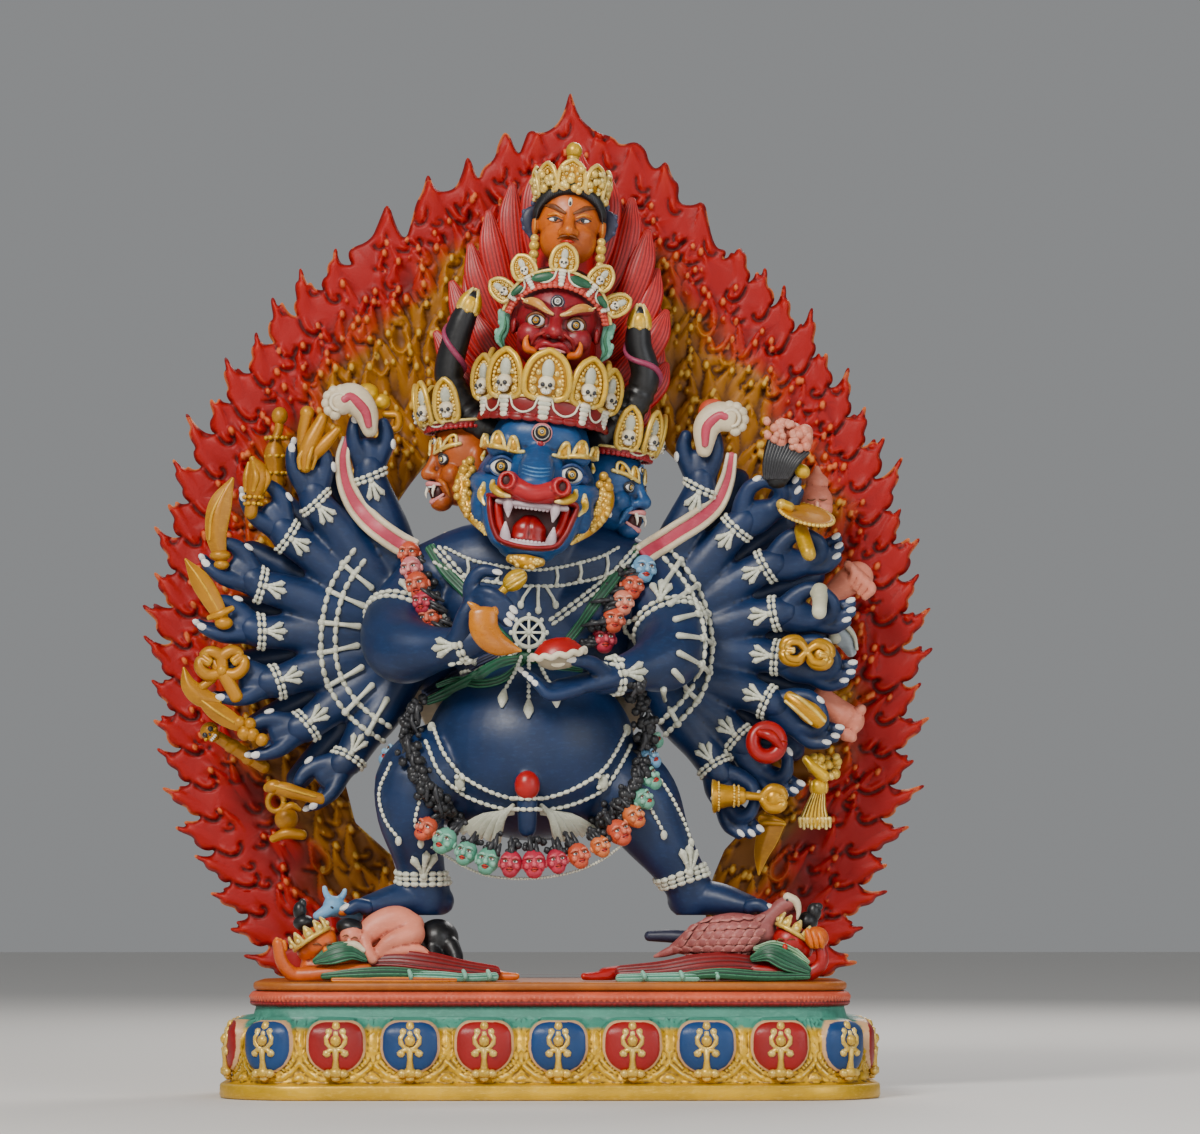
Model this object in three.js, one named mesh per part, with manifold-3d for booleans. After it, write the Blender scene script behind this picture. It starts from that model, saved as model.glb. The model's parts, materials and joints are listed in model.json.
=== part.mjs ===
// A wrathful many-armed figure striding on a lotus plinth, before a flat ring of flames.
// Millimetres, +Z up, the front faces -Y, the origin is the middle of the plinth's underside.
import * as THREE from 'three';
import { mergeVertices } from 'three/addons/utils/BufferGeometryUtils.js';
import Module from 'manifold-3d';

const wasm = await Module();
wasm.setup();

// Driving dimensions
const gap = 0.4;
const heldGap = 1.2 * gap;
const plinthSize = {
  width: 490, depth: 236, height: 86, corner: 66, petals: 24, petalZ: 38, petalShift: 6, petalInset: 6,
};
const flameSize = {
  back: 84, thickness: 12, foot: plinthSize.height + gap,
  waistZ: 105, widestZ: 337, crestZ: 648, topZ: 736, apexZ: 764,
  halfWidth: 284, waistShare: 0.758, tongues: 45, tongueLength: 26,
};
const shoulderBends = { left: [2.45, 0.82], right: [2.2, 0.95] };
const archSize = { centreX: 2, centreZ: 268, halfWidth: 168, height: 262, steps: 18 };
const fanSize = { arms: 8, wrist: 124, hand: 152, fingers: 172, rearReach: 160, rearY: 42 };
const leftFan = { centre: [-94, 22, 348], first: 111, step: 18.2, side: -1 };
const rightFan = { centre: [62, 22, 342], first: 65, step: -17.2, side: 1 };
const hairSize = { centre: [5, 20, 575], width: 84, height: 137, thickness: 36, tufts: 19 };
const crownPoints = 16;
const garlandHeads = 28;
const soleZ = 134;

// Solids
const vec = ([x, y, z]) => new THREE.Vector3(x, y, z);
const radians = (degrees) => degrees * Math.PI / 180;

function solidOf(geometry) {
  geometry.deleteAttribute('normal');
  geometry.deleteAttribute('uv');
  const merged = mergeVertices(geometry, 1e-4);
  return new wasm.Manifold(new wasm.Mesh({
    numProp: 3,
    vertProperties: new Float32Array(merged.attributes.position.array),
    triVerts: new Uint32Array(merged.index.array),
  }));
}

const join = (parts) => parts.reduce((whole, part) => whole.add(part));

function listAt(list, u) {
  const place = Math.min(u, 0.99999) * (list.length - 1);
  const first = Math.floor(place);
  return list[first] + (list[first + 1] - list[first]) * (place - first);
}

// A tapering tube through the points; squash scales its section along x, y and z.
function limb(points, radii, { sides = 6, steps = 5, squash = [1, 1, 1] } = {}) {
  const path = new THREE.CatmullRomCurve3(points.map(vec));
  const frames = path.computeFrenetFrames(steps);
  const geometry = new THREE.CylinderGeometry(1, 1, 1, sides, steps);
  const corners = geometry.attributes.position;
  const scale = vec(squash);
  for (let i = 0; i < corners.count; i += 1) {
    const step = Math.round((corners.getY(i) + 0.5) * steps);
    const radius = listAt(radii, step / steps);
    const out = frames.normals[step].clone().multiplyScalar(corners.getX(i) * radius);
    out.addScaledVector(frames.binormals[step], -corners.getZ(i) * radius);
    out.multiply(scale).add(path.getPointAt(step / steps));
    corners.setXYZ(i, out.x, out.y, out.z);
  }
  return solidOf(geometry);
}

function blob(centre, size, across = 8, down = 6) {
  const geometry = new THREE.SphereGeometry(1, across, down);
  geometry.rotateX(Math.PI / 2).scale(...size).translate(...centre);
  return solidOf(geometry);
}

// An upright block whose underside is at the given height
function block([x, y], size, z) {
  return solidOf(new THREE.BoxGeometry(...size).translate(x, y, z + size[2] / 2));
}

function gem(centre, size) {
  const geometry = new THREE.OctahedronGeometry(1);
  geometry.scale(...size).translate(...centre);
  return solidOf(geometry);
}

// A thin pointed leaf from base to tip, flat towards the front.
function leaf(base, tip, width, thickness) {
  const bulge = width * 0.55;
  return limb([base, tip], [width * 0.35, bulge, 0.6], {
    sides: 4, steps: 2, squash: [1, thickness / bulge, 1],
  });
}

function turned(profile, at, tilt, sides = 10) {
  const points = profile.map(([radius, height]) => new THREE.Vector2(radius, height));
  const geometry = new THREE.LatheGeometry(points, sides);
  geometry.rotateX(Math.PI / 2);
  geometry.rotateX(radians(tilt[0])).rotateY(radians(tilt[1])).rotateZ(radians(tilt[2] ?? 0));
  geometry.translate(...at);
  return solidOf(geometry);
}

// A flat plate of an outline in x and z, its back face at the given y.
function plate(outline, back, thickness) {
  const shape = new THREE.Shape(outline.map(([x, z]) => new THREE.Vector2(x, z)));
  const geometry = new THREE.ExtrudeGeometry(shape, { depth: thickness, bevelEnabled: false });
  geometry.rotateX(Math.PI / 2).translate(0, back, 0);
  return solidOf(geometry);
}

// The same solid made larger all round by the gap that touching pieces keep.
function grown(solid) {
  const box = solid.boundingBox();
  const middle = [0, 1, 2].map((i) => (box.min[i] + box.max[i]) / 2);
  const scale = [0, 1, 2].map((i) => 1 + 2 * heldGap / (box.max[i] - box.min[i]));
  return solid.translate(middle.map((value) => -value)).scale(scale).translate(middle);
}

// Plinth: a rounded block with a mitred profile and a ring of petals
function roundedCorner(turn, inset) {
  const halfX = plinthSize.width / 2 - inset;
  const halfY = plinthSize.depth / 2 - inset;
  const corner = plinthSize.corner - inset;
  const across = Math.cos(turn);
  const along = Math.sin(turn);
  return [
    Math.sign(across) * (halfX - corner) + corner * across,
    Math.sign(along) * (halfY - corner) + corner * along,
  ];
}

function makePlinth() {
  const profile = [
    [0, 0], [11, 0], [14, 7], [52, 14], [54, 19], [67, 26], [69, 23], [79, 23], [80, 26], [86, 28],
  ];
  const sides = 20;
  const geometry = new THREE.CylinderGeometry(1, 1, 1, sides, profile.length - 1);
  const corners = geometry.attributes.position;
  for (let i = 0; i < corners.count; i += 1) {
    const [z, inset] = profile[Math.round((corners.getY(i) + 0.5) * (profile.length - 1))];
    const x = corners.getX(i);
    const y = -corners.getZ(i);
    const turn = Math.atan2(y, x) + Math.PI / sides;
    const [px, py] = roundedCorner(turn, inset);
    const edge = Math.hypot(x, y) > 0.5;
    corners.setXYZ(i, edge ? px : 0, edge ? py : 0, z);
  }
  return join([solidOf(geometry), ...plinthPetals()]);
}

// The petals stand at even steps along the rounded rectangle, each facing out.
function plinthPetals() {
  const corner = plinthSize.corner - plinthSize.petalInset;
  const flatX = plinthSize.width - 2 * plinthSize.corner;
  const flatY = plinthSize.depth - 2 * plinthSize.corner;
  const arc = corner * Math.PI / 2;
  const pitch = (2 * (flatX + flatY) + 4 * arc) / plinthSize.petals;
  const petals = [];
  for (let i = 0; i < plinthSize.petals; i += 1) {
    let way = i * pitch + flatX / 2 + plinthSize.petalShift;
    let heading = 0;
    let at = [-flatX / 2, -flatY / 2];
    for (const length of [flatX, arc, flatY, arc, flatX, arc, flatY, arc, flatX]) {
      const bends = length === arc;
      const part = Math.min(way, length);
      if (bends) {
        heading += part / corner;
      } else {
        at = [at[0] + part * Math.cos(heading), at[1] + part * Math.sin(heading)];
      }
      way -= part;
      if (way <= 0) break;
    }
    const out = heading - Math.PI / 2;
    const petal = blob([0, 0, 0], [9, 23, 21], 6, 3).rotate([0, 0, out * 180 / Math.PI]);
    petals.push(petal.translate([
      at[0] + corner * Math.cos(out), at[1] + corner * Math.sin(out), plinthSize.petalZ,
    ]));
  }
  return petals;
}

// Flame ring: an arch whose edge is a row of leaning tongues; its left shoulder is the fuller one
function flameEnvelope(z, side) {
  const [bend, fall] = side < 0 ? shoulderBends.left : shoulderBends.right;
  const above = (z - flameSize.widestZ) / (flameSize.topZ - flameSize.widestZ);
  const below = (flameSize.widestZ - z) / (flameSize.widestZ - flameSize.waistZ);
  const half = z > flameSize.widestZ
    ? Math.max(1 - above ** bend, 0) ** fall
    : 1 - (1 - flameSize.waistShare) * Math.max(below, 0) ** 2.1;
  const lean = 27 * Math.max(above, 0) ** 2 + 9 * Math.max(below, 0) ** 2 - 10;
  return { half: flameSize.halfWidth * half, middle: lean };
}

// Places at even steps up one side of the arch, from its foot to its top.
function flameRoots(side) {
  const samples = 500;
  const edge = [];
  let way = 0;
  for (let i = 0; i <= samples; i += 1) {
    const rise = (1 - Math.cos(Math.PI * i / samples)) / 2;
    const z = flameSize.foot + (flameSize.topZ - flameSize.foot) * rise;
    const { half } = flameEnvelope(z, side);
    const last = edge[i - 1];
    way += last ? Math.hypot(half - last.half, z - last.z) : 0;
    edge.push({ half, z, way });
  }
  const pitch = way / flameSize.tongues;
  return Array.from({ length: flameSize.tongues }, (_, i) => {
    const at = edge.findIndex((point) => point.way >= i * pitch);
    const next = edge[Math.min(at + 4, samples)];
    return { z: edge[at].z, rising: Math.atan2(next.z - edge[at].z, next.half - edge[at].half) };
  });
}

// One side of the outline: every tongue is a hollow, a belly and a tip that leans up the edge.
function flameSide(side) {
  const points = [];
  flameRoots(side).forEach(({ z, rising }, i) => {
    const { half, middle } = flameEnvelope(z, side);
    const length = flameSize.tongueLength * [1, 0.5, 0.72][i % 3];
    const put = (up, out) => points.push([
      middle + side * (half + up * Math.cos(rising) + out * Math.sin(rising)),
      Math.max(z + up * Math.sin(rising) - out * Math.cos(rising), flameSize.foot),
    ]);
    put(0, -8);
    put(1, length * 0.4);
    put(11, length * 0.85);
  });
  return points;
}

// The edge of both sides, closed by a broad crest that runs from right to left over the tip.
function flameOutline() {
  const crest = [
    [121, 668], [119, 680], [99, 688], [92, 708], [74, 716], [66, 726], [49, 734], [29, 745],
    [16, flameSize.apexZ],
    [5, 745], [-19, 736], [-24, 722], [-35, 734], [-54, 710], [-64, 716], [-78, 692],
    [-96, 700], [-106, 678],
  ];
  const keep = ([, z]) => z < flameSize.crestZ;
  return [...flameSide(1).filter(keep), ...crest, ...flameSide(-1).filter(keep).reverse()];
}

function archOutline() {
  const points = [];
  for (let i = 0; i <= archSize.steps; i += 1) {
    const turn = Math.PI * i / archSize.steps;
    points.push([
      archSize.centreX + archSize.halfWidth * Math.cos(turn),
      archSize.centreZ + archSize.height * Math.sin(turn),
    ]);
  }
  const leftEdge = [[-150, 205], [-122, 180], [-116, 160], [-110, 140], [-128, 60]];
  const rightEdge = [[134, 60], [118, 140], [126, 165], [134, 184], [158, 210]];
  return [...points, ...leftEdge, ...rightEdge];
}

function makeFlames() {
  const body = plate(flameOutline(), flameSize.back, flameSize.thickness);
  const opening = plate(archOutline(), flameSize.back + flameSize.thickness, 3 * flameSize.thickness);
  return body.subtract(opening);
}

// Arms: a front fan of bent arms with open hands and a rear row between them
function fanPoint(fan, degrees, reach, y) {
  const turn = radians(degrees);
  return [fan.centre[0] + reach * Math.cos(turn), y, fan.centre[2] + reach * Math.sin(turn)];
}

function fanArms(fan) {
  const arms = [];
  for (let i = 0; i < fanSize.arms; i += 1) {
    const degrees = fan.first + i * fan.step;
    const bend = fan.side * 4;
    arms.push(limb([
      fanPoint(fan, degrees, 34, fan.centre[1]),
      fanPoint(fan, degrees + bend, 70, fan.centre[1] - 6),
      fanPoint(fan, degrees, fanSize.wrist, 6),
      fanPoint(fan, degrees, fanSize.hand, 1),
      fanPoint(fan, degrees - bend * 2, fanSize.fingers, -4),
    ], [19, 17, 12, 8], { sides: 5, steps: 3 }));
  }
  for (let i = 0; i < fanSize.arms - 1; i += 1) {
    const degrees = fan.first + (i + 0.5) * fan.step;
    arms.push(limb([
      fanPoint(fan, degrees, 78, fanSize.rearY - 20),
      fanPoint(fan, degrees, fanSize.rearReach, fanSize.rearY - 8),
    ], [13, 8], { sides: 4, steps: 1, squash: [1, 0.8, 1] }));
  }
  return arms;
}

function makeTorso() {
  return [
    blob([-11, -8, 352], [72, 40, 52], 8, 5),
    blob([-17, -26, 264], [76, 62, 61], 10, 7),
    blob([-10, 6, 240], [64, 44, 40], 8, 4),
    limb([[-8, -8, 380], [-6, -28, 456]], [38, 30], { sides: 6, steps: 1 }),
    limb([[-88, 4, 388], [-11, -4, 398], [72, 4, 386]], [26, 34, 26], { sides: 6, steps: 2 }),
    limb([[-17, -70, 244], [-17, -92, 222], [-17, -88, 198]], [9, 6, 3], { sides: 5, steps: 2 }),
  ];
}

function makeLegs() {
  const bent = limb([[-44, -2, 240], [-94, -44, 236], [-104, -54, 214], [-97, -38, 172], [-93, -33, 140]],
    [44, 40, 34, 27, 23, 17, 17], { sides: 6, steps: 5 });
  const straight = limb([[24, -2, 240], [62, -34, 220], [84, -38, 190], [101, -32, 158], [105, -30, 140]],
    [44, 40, 34, 28, 23, 17, 17], { sides: 6, steps: 5 });
  const leftFoot = limb([[-80, -28, 144], [-112, -40, 142], [-150, -52, 138]], [14, 15, 7],
    { sides: 8, steps: 4, squash: [1, 1.25, 0.9] });
  const rightFoot = limb([[92, -26, 144], [124, -38, 142], [162, -50, 138]], [14, 15, 7],
    { sides: 8, steps: 4, squash: [1, 1.25, 0.9] });
  const sole = block([0, -40], [400, 200, 60], soleZ + gap - 60);
  return join([bent, straight, leftFoot, rightFoot]).subtract(sole);
}

function makeMainArms() {
  return [
    limb([[-88, -2, 384], [-112, -34, 346], [-106, -68, 330], [-72, -98, 333], [-50, -107, 340]],
      [26, 27, 26, 22, 15, 12], { sides: 6, steps: 5 }),
    limb([[-54, -106, 340], [-36, -112, 352], [-40, -110, 372]], [11, 13, 7], { sides: 6, steps: 3 }),
    limb([[70, -2, 382], [88, -34, 342], [82, -66, 326], [56, -92, 316], [38, -102, 310]],
      [26, 27, 26, 22, 15, 12], { sides: 6, steps: 5 }),
    limb([[42, -102, 310], [22, -110, 305], [-8, -112, 312]], [11, 12, 5], { sides: 6, steps: 3 }),
  ];
}

// Heads with their crowns: a ring whose upper edge runs up and down in leaf points
function crown(centre, width, depth, z, height) {
  const geometry = new THREE.CylinderGeometry(1, 1, 1, crownPoints, 1);
  const corners = geometry.attributes.position;
  for (let i = 0; i < corners.count; i += 1) {
    const x = corners.getX(i);
    const y = -corners.getZ(i);
    const top = corners.getY(i) > 0;
    const rim = Math.hypot(x, y) > 0.5;
    const tip = top && rim && Math.round(Math.atan2(y, x) / (2 * Math.PI) * crownPoints) % 2 === 0;
    const flare = tip ? 1.08 : 0.96;
    const front = y < -0.9 ? 1.08 : 1;
    const rise = tip ? height * front : height * 0.42;
    corners.setXYZ(i, centre[0] + x * width * flare, centre[1] + y * depth * flare, z + (top ? rise : -6));
  }
  return solidOf(geometry);
}

function horn(points) {
  return limb(points, [14, 12, 8, 2], { sides: 5, steps: 5 });
}

function makeMainHead() {
  return [
    blob([-4, -38, 470], [50, 46, 44], 8, 6),
    blob([-10, -78, 452], [36, 36, 20], 8, 5),
    limb([[-13, -60, 418], [-14, -96, 414]], [27, 21, 12], { sides: 6, steps: 2, squash: [1, 1, 0.66] }),
    leaf([-8, -66, 412], [-15, -70, 386], 26, 12),
    leaf([-44, -40, 484], [-64, -42, 468], 24, 14),
    leaf([40, -40, 478], [56, -42, 460], 24, 14),
    horn([[-40, -28, 496], [-70, -32, 526], [-72, -36, 560], [-58, -40, 596]]),
    horn([[34, -28, 490], [64, -32, 518], [68, -36, 552], [67, -40, 582]]),
    crown([-3, -36], 54, 46, 508, 38),
  ];
}

function makeUpperHeads() {
  return [
    limb([[-2, -20, 500], [6, -20, 560], [12, -16, 640]], [36, 32, 24], { sides: 6, steps: 2 }),
    blob([5, -34, 574], [34, 32, 38], 8, 6),
    gem([4, -64, 568], [9, 10, 12]),
    crown([6, -32], 40, 34, 606, 28),
    blob([13, -24, 648], [25, 25, 32], 8, 6),
    gem([13, -48, 645], [6, 8, 9]),
    crown([14, -22], 28, 26, 677, 24),
    limb([[16, -20, 676], [19, -18, 712]], [18, 12, 5], { sides: 6, steps: 3 }),
  ];
}

function makeSideHeads() {
  return [
    blob([-72, -16, 466], [34, 27, 38], 8, 6),
    leaf([-92, -22, 464], [-112, -24, 452], 20, 14),
    crown([-74, -16], 27, 24, 500, 34),
    blob([58, -14, 456], [32, 27, 38], 8, 6),
    leaf([76, -20, 456], [92, -22, 444], 20, 14),
    crown([62, -14], 26, 24, 486, 34),
  ];
}

function hairOutline() {
  const [x0, , z0] = hairSize.centre;
  const outline = [];
  for (let i = 0; i <= hairSize.tufts * 2; i += 1) {
    const turn = radians(-14 + 104 * i / hairSize.tufts);
    const reach = i % 2 ? 1 : 0.86;
    outline.push([
      x0 + hairSize.width * reach * Math.cos(turn), z0 + hairSize.height * reach * Math.sin(turn),
    ]);
  }
  return outline;
}

function makeHair() {
  const [, y0] = hairSize.centre;
  return [plate(hairOutline(), y0 + hairSize.thickness / 2 - 2, hairSize.thickness)];
}

// The flayed hide: raised feet, edge strips down to the shoulders and a skin behind the arms
function makeHide() {
  return [
    limb([[-142, -4, 500], [-150, -6, 520], [-170, -8, 528]], [12, 18, 12], { sides: 6, steps: 3 }),
    limb([[-152, -6, 500], [-150, -8, 450], [-128, -10, 424], [-90, -12, 412]], [6, 9, 9, 9],
      { sides: 4, steps: 5, squash: [1, 0.5, 1] }),
    limb([[122, -4, 490], [128, -6, 508], [148, -8, 514]], [12, 18, 12], { sides: 6, steps: 3 }),
    limb([[136, -6, 500], [134, -8, 460], [114, -10, 424], [72, -12, 402]], [6, 9, 9, 9],
      { sides: 4, steps: 5, squash: [1, 0.5, 1] }),
    blob([-14, 40, 330], [92, 12, 92], 8, 4),
  ];
}

// One rope whose thickness swells at every head that hangs on it.
function makeGarland() {
  const radii = [];
  for (let i = 0; i < garlandHeads; i += 1) {
    radii.push(4, 11);
  }
  radii.push(4);
  const route = [
    [-104, -30, 418], [-92, -48, 386], [-84, -66, 352], [-112, -56, 290], [-124, -82, 250],
    [-104, -96, 206], [-62, -96, 182], [-16, -100, 174], [30, -96, 184], [66, -90, 212],
    [76, -66, 250], [72, -52, 290], [48, -70, 346], [58, -52, 380], [72, -34, 404],
  ];
  return [limb(route, radii, { sides: 4, steps: 2 * garlandHeads })];
}

// Things held in the hands, each a piece of its own
function rod(from, to, radii, options) {
  return limb([from, to], radii, { sides: 4, steps: radii.length - 1, ...options });
}

function blade(points, width, thick) {
  const radii = [0.3, 0.42, 0.5, 0.36].map((share) => width * share);
  return limb(points, [...radii, 0.8], { sides: 4, steps: 5, squash: [1, thick / width * 2, 1] });
}

function chopper() {
  return join([
    blade([[-44, -128, 366], [-50, -130, 346], [-40, -132, 330], [-8, -132, 321]], 22, 6),
    rod([-42, -130, 340], [-27, -124, 388], [3.5, 4, 7, 3]),
  ]);
}

function skullCup() {
  return turned([[0, -11], [10, -9], [18, -2], [20, 6], [19, 10], [0, 12]], [10, -128, 328], [8, 6]);
}

function tridentHead() {
  return join([
    rod([-190, -14, 466], [-186, -14, 490], [6, 6]),
    rod([-187, -14, 484], [-199, -14, 510], [4, 5, 2]),
    rod([-186, -14, 484], [-184, -14, 515], [4, 5, 2]),
    rod([-186, -14, 484], [-169, -14, 504], [4, 5, 2]),
  ]);
}

function crescentAxe() {
  return join([
    rod([-232, -16, 310], [-262, -16, 352], [4, 5, 8, 6]),
    rod([-270, -16, 334], [-228, -16, 350], [6, 5, 7, 5]),
    limb([[-245, -16, 330], [-274, -16, 312], [-284, -16, 336]], [5, 9, 1.5], { sides: 4, steps: 3 }),
  ]);
}

function wheelDisc() {
  const disc = turned([[0, -2], [20, -2], [20, 2], [0, 2]], [190, -17, 437], [18, 8], 12);
  return disc.add(rod([190, -16, 438], [191, -26, 402], [4, 5, 5]));
}

function handBell() {
  const bell = turned([[0, 5], [6, 4], [12, -12], [16, -12], [9, 9], [0, 12]], [126, -18, 222], [0, 90], 8);
  return bell.add(rod([136, -18, 222], [172, -18, 220], [4, 4, 9, 10, 3]));
}

// The things of the front hands come first, the main pair leading, then those of the rear hands.
function heldThings() {
  const held = (paintName, solid) => ({ paintName, solid });
  return {
    chopper: held('gold', chopper()),
    skull_cup: held('cream', skullCup()),
    trident_head: held('gold', tridentHead()),
    bud_mace: held('gold', rod([-226, -14, 440], [-220, -14, 478], [5, 8, 11, 10, 3])),
    curved_blade: held('gold', blade([
      [-250, -16, 392], [-258, -16, 420], [-252, -16, 444], [-240, -16, 462],
    ], 20, 8)),
    short_dagger: held('gold', blade([[-246, -16, 352], [-258, -16, 376], [-276, -16, 404]], 20, 8)),
    crescent_axe: held('gold', crescentAxe()),
    leaf_dagger: held('gold', rod([-212, -16, 262], [-266, -16, 298], [5, 9, 7, 11, 8, 1])),
    flat_stick: held('gold', rod([-164, -16, 225], [-214, -16, 229], [5, 6, 6, 8, 5])),
    tall_club: held('gold', rod([-211, 40, 462], [-207, 40, 524], [6, 8, 9, 8, 9, 3])),
    skull_staff: held('gold', rod([-214, 26, 244], [-268, 26, 278], [5, 6, 11, 9, 3])),
    small_vajra: held('gold', rod([-186, 30, 214], [-204, 30, 192], [4, 10, 12, 6])),
    brain_with_hair: held('pink', join([
      rod([163, -12, 462], [172, -12, 492], [12, 13, 14]),
      blob([179, -12, 500], [21, 13, 12], 6, 4),
    ])),
    wheel_disc: held('gold', wheelDisc()),
    white_peg: held('cream', rod([203, -10, 384], [202, -24, 361], [5, 7, 6])),
    gold_vajra: held('gold', rod([172, -18, 331], [214, -18, 326], [4, 10, 8, 4, 10, 9, 3])),
    gold_drum: held('gold', rod([174, -18, 296], [203, -18, 282], [4, 7, 8, 10, 4])),
    noose: held('red', blob([161, -18, 264], [18, 9, 20], 8, 5)),
    hand_bell: held('gold', handBell()),
    topknot_head: held('pink', join([
      blob([206, 26, 450], [15, 13, 15], 6, 4),
      rod([204, 26, 460], [202, 26, 476], [7, 7, 2]),
    ])),
    severed_fist: held('pink', rod([204, 28, 384], [246, 28, 402], [9, 13, 14, 8])),
    grey_axe: held('cream', limb([[208, 26, 356], [226, 26, 352], [236, 26, 336]], [5, 9, 4], {
      sides: 6, steps: 4,
    })),
    severed_foot: held('pink', rod([206, 26, 298], [238, 26, 282], [9, 11, 9, 6])),
    hanging_banner: held('gold', rod([204, 16, 262], [201, 16, 204], [9, 12, 5, 8, 12, 14])),
    triangular_blade: held('gold', rod([182, 28, 206], [160, 28, 158], [12, 16, 9, 1], {
      squash: [1, 0.5, 1],
    })),
  };
}

// The beings under the feet
function groupLeft() {
  return join([
    limb([[-188, -52, 98], [-110, -56, 97], [-28, -60, 93]], [22, 32, 30, 12],
      { sides: 7, steps: 4, squash: [1, 1.3, 0.32] }),
    blob([-182, -62, 116], [13, 13, 14], 6, 5),
    limb([[-172, -66, 106], [-206, -70, 97], [-202, -70, 118]], [7, 6, 4], { sides: 5, steps: 3 }),
    limb([[-160, -56, 121], [-124, -54, 119], [-94, -44, 118]], [9, 13, 14, 11], { sides: 6, steps: 3 }),
    blob([-74, -34, 112], [24, 26, 22], 7, 5),
    blob([-164, -40, 116], [13, 15, 17], 6, 5),
    limb([[-184, -58, 122], [-196, -50, 142]], [8, 2], { sides: 5, steps: 1 }),
  ]);
}

function groupRight() {
  return join([
    limb([[190, -50, 98], [116, -56, 97], [34, -60, 93]], [22, 32, 30, 12],
      { sides: 7, steps: 4, squash: [1, 1.3, 0.32] }),
    limb([[88, -40, 108], [126, -46, 114], [168, -54, 118]], [10, 20, 19, 12], { sides: 6, steps: 3 }),
    blob([184, -62, 116], [13, 13, 15], 6, 5),
    limb([[186, -60, 124], [198, -54, 142]], [8, 2], { sides: 5, steps: 1 }),
    limb([[178, -66, 106], [200, -72, 96], [212, -70, 110]], [7, 6, 4], { sides: 5, steps: 3 }),
    limb([[96, -30, 112], [66, -26, 116]], [8, 7, 3], { sides: 5, steps: 2 }),
  ]);
}

// They lie flat on the plinth and are cut level where a foot stands on them.
function onPlinth(solid) {
  const below = block([0, 0], [plinthSize.width, plinthSize.depth, 120], flameSize.foot - 120);
  const leftSole = block([-98, -40], [150, 200, 40], soleZ);
  const rightSole = block([120, -40], [110, 200, 40], soleZ);
  return solid.subtract(below).subtract(leftSole).subtract(rightSole);
}

// Materials
const paint = (name, color, roughness, metalness = 0) => Object.assign(
  new THREE.MeshStandardMaterial({ color, roughness, metalness }), { name },
);
const paints = {
  gold: paint('gold_paint', 0xd9b24a, 0.4, 0.35),
  cream: paint('cream_paint', 0xe2d7bf, 0.55),
  pink: paint('pink_paint', 0xd08a7e, 0.55),
  red: paint('red_paint', 0xb42a24, 0.5),
  blue: paint('blue_paint', 0x24406c, 0.5),
  flame: paint('flame_paint', 0xc0391f, 0.5),
};

function mesh(name, solid, material) {
  const { vertProperties, triVerts } = solid.getMesh();
  const geometry = new THREE.BufferGeometry();
  geometry.setAttribute('position', new THREE.BufferAttribute(vertProperties, 3));
  geometry.setIndex(new THREE.BufferAttribute(triVerts, 1));
  geometry.computeVertexNormals();
  const made = new THREE.Mesh(geometry, material);
  made.name = name;
  return made;
}

// The figure gives way to everything that its hands hold.
function makeFigure(held) {
  let figure = join([
    ...makeTorso(), makeLegs(), ...makeMainArms(), ...fanArms(leftFan), ...fanArms(rightFan),
    ...makeMainHead(), ...makeUpperHeads(), ...makeSideHeads(),
    ...makeHair(), ...makeHide(), ...makeGarland(),
  ]);
  for (const { solid } of Object.values(held)) {
    figure = figure.subtract(grown(solid)).subtract(solid);
  }
  return figure;
}

const held = heldThings();
const statue = new THREE.Group();
statue.name = 'statue';
statue.add(mesh('plinth', makePlinth(), paints.gold));
statue.add(mesh('flame_aureole', makeFlames(), paints.flame));
statue.add(mesh('figure', makeFigure(held), paints.blue));
statue.add(mesh('trampled_group_left', onPlinth(groupLeft()), paints.pink));
statue.add(mesh('trampled_group_right', onPlinth(groupRight()), paints.pink));
for (const [name, { paintName, solid }] of Object.entries(held)) {
  statue.add(mesh(name, solid, paints[paintName]));
}
export default statue;
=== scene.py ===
import bpy
import json
import math
import time
import numpy as np
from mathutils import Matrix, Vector, geometry
from mathutils.bvhtree import BVHTree
from mathutils.kdtree import KDTree

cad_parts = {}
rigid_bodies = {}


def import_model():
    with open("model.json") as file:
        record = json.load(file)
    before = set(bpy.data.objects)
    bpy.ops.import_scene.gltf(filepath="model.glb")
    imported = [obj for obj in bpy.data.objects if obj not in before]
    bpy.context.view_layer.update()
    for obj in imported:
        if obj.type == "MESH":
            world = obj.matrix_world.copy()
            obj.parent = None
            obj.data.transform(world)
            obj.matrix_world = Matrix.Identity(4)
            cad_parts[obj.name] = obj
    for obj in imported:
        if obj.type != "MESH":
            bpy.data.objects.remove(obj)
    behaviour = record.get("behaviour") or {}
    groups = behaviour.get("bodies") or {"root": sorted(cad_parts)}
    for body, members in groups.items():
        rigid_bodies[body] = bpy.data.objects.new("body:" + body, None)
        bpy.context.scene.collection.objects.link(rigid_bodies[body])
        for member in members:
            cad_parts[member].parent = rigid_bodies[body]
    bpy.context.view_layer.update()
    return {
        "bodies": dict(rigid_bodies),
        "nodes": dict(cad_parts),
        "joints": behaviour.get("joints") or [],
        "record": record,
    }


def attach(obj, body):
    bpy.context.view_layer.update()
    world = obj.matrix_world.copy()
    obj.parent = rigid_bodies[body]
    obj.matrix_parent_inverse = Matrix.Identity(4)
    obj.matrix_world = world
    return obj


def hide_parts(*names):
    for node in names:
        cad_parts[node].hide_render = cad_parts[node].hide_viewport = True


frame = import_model()
started = time.time()
mm = 0.001


def say(words):
    print("%5.1f s  %s" % (time.time() - started, words))


# Camera and light

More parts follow.
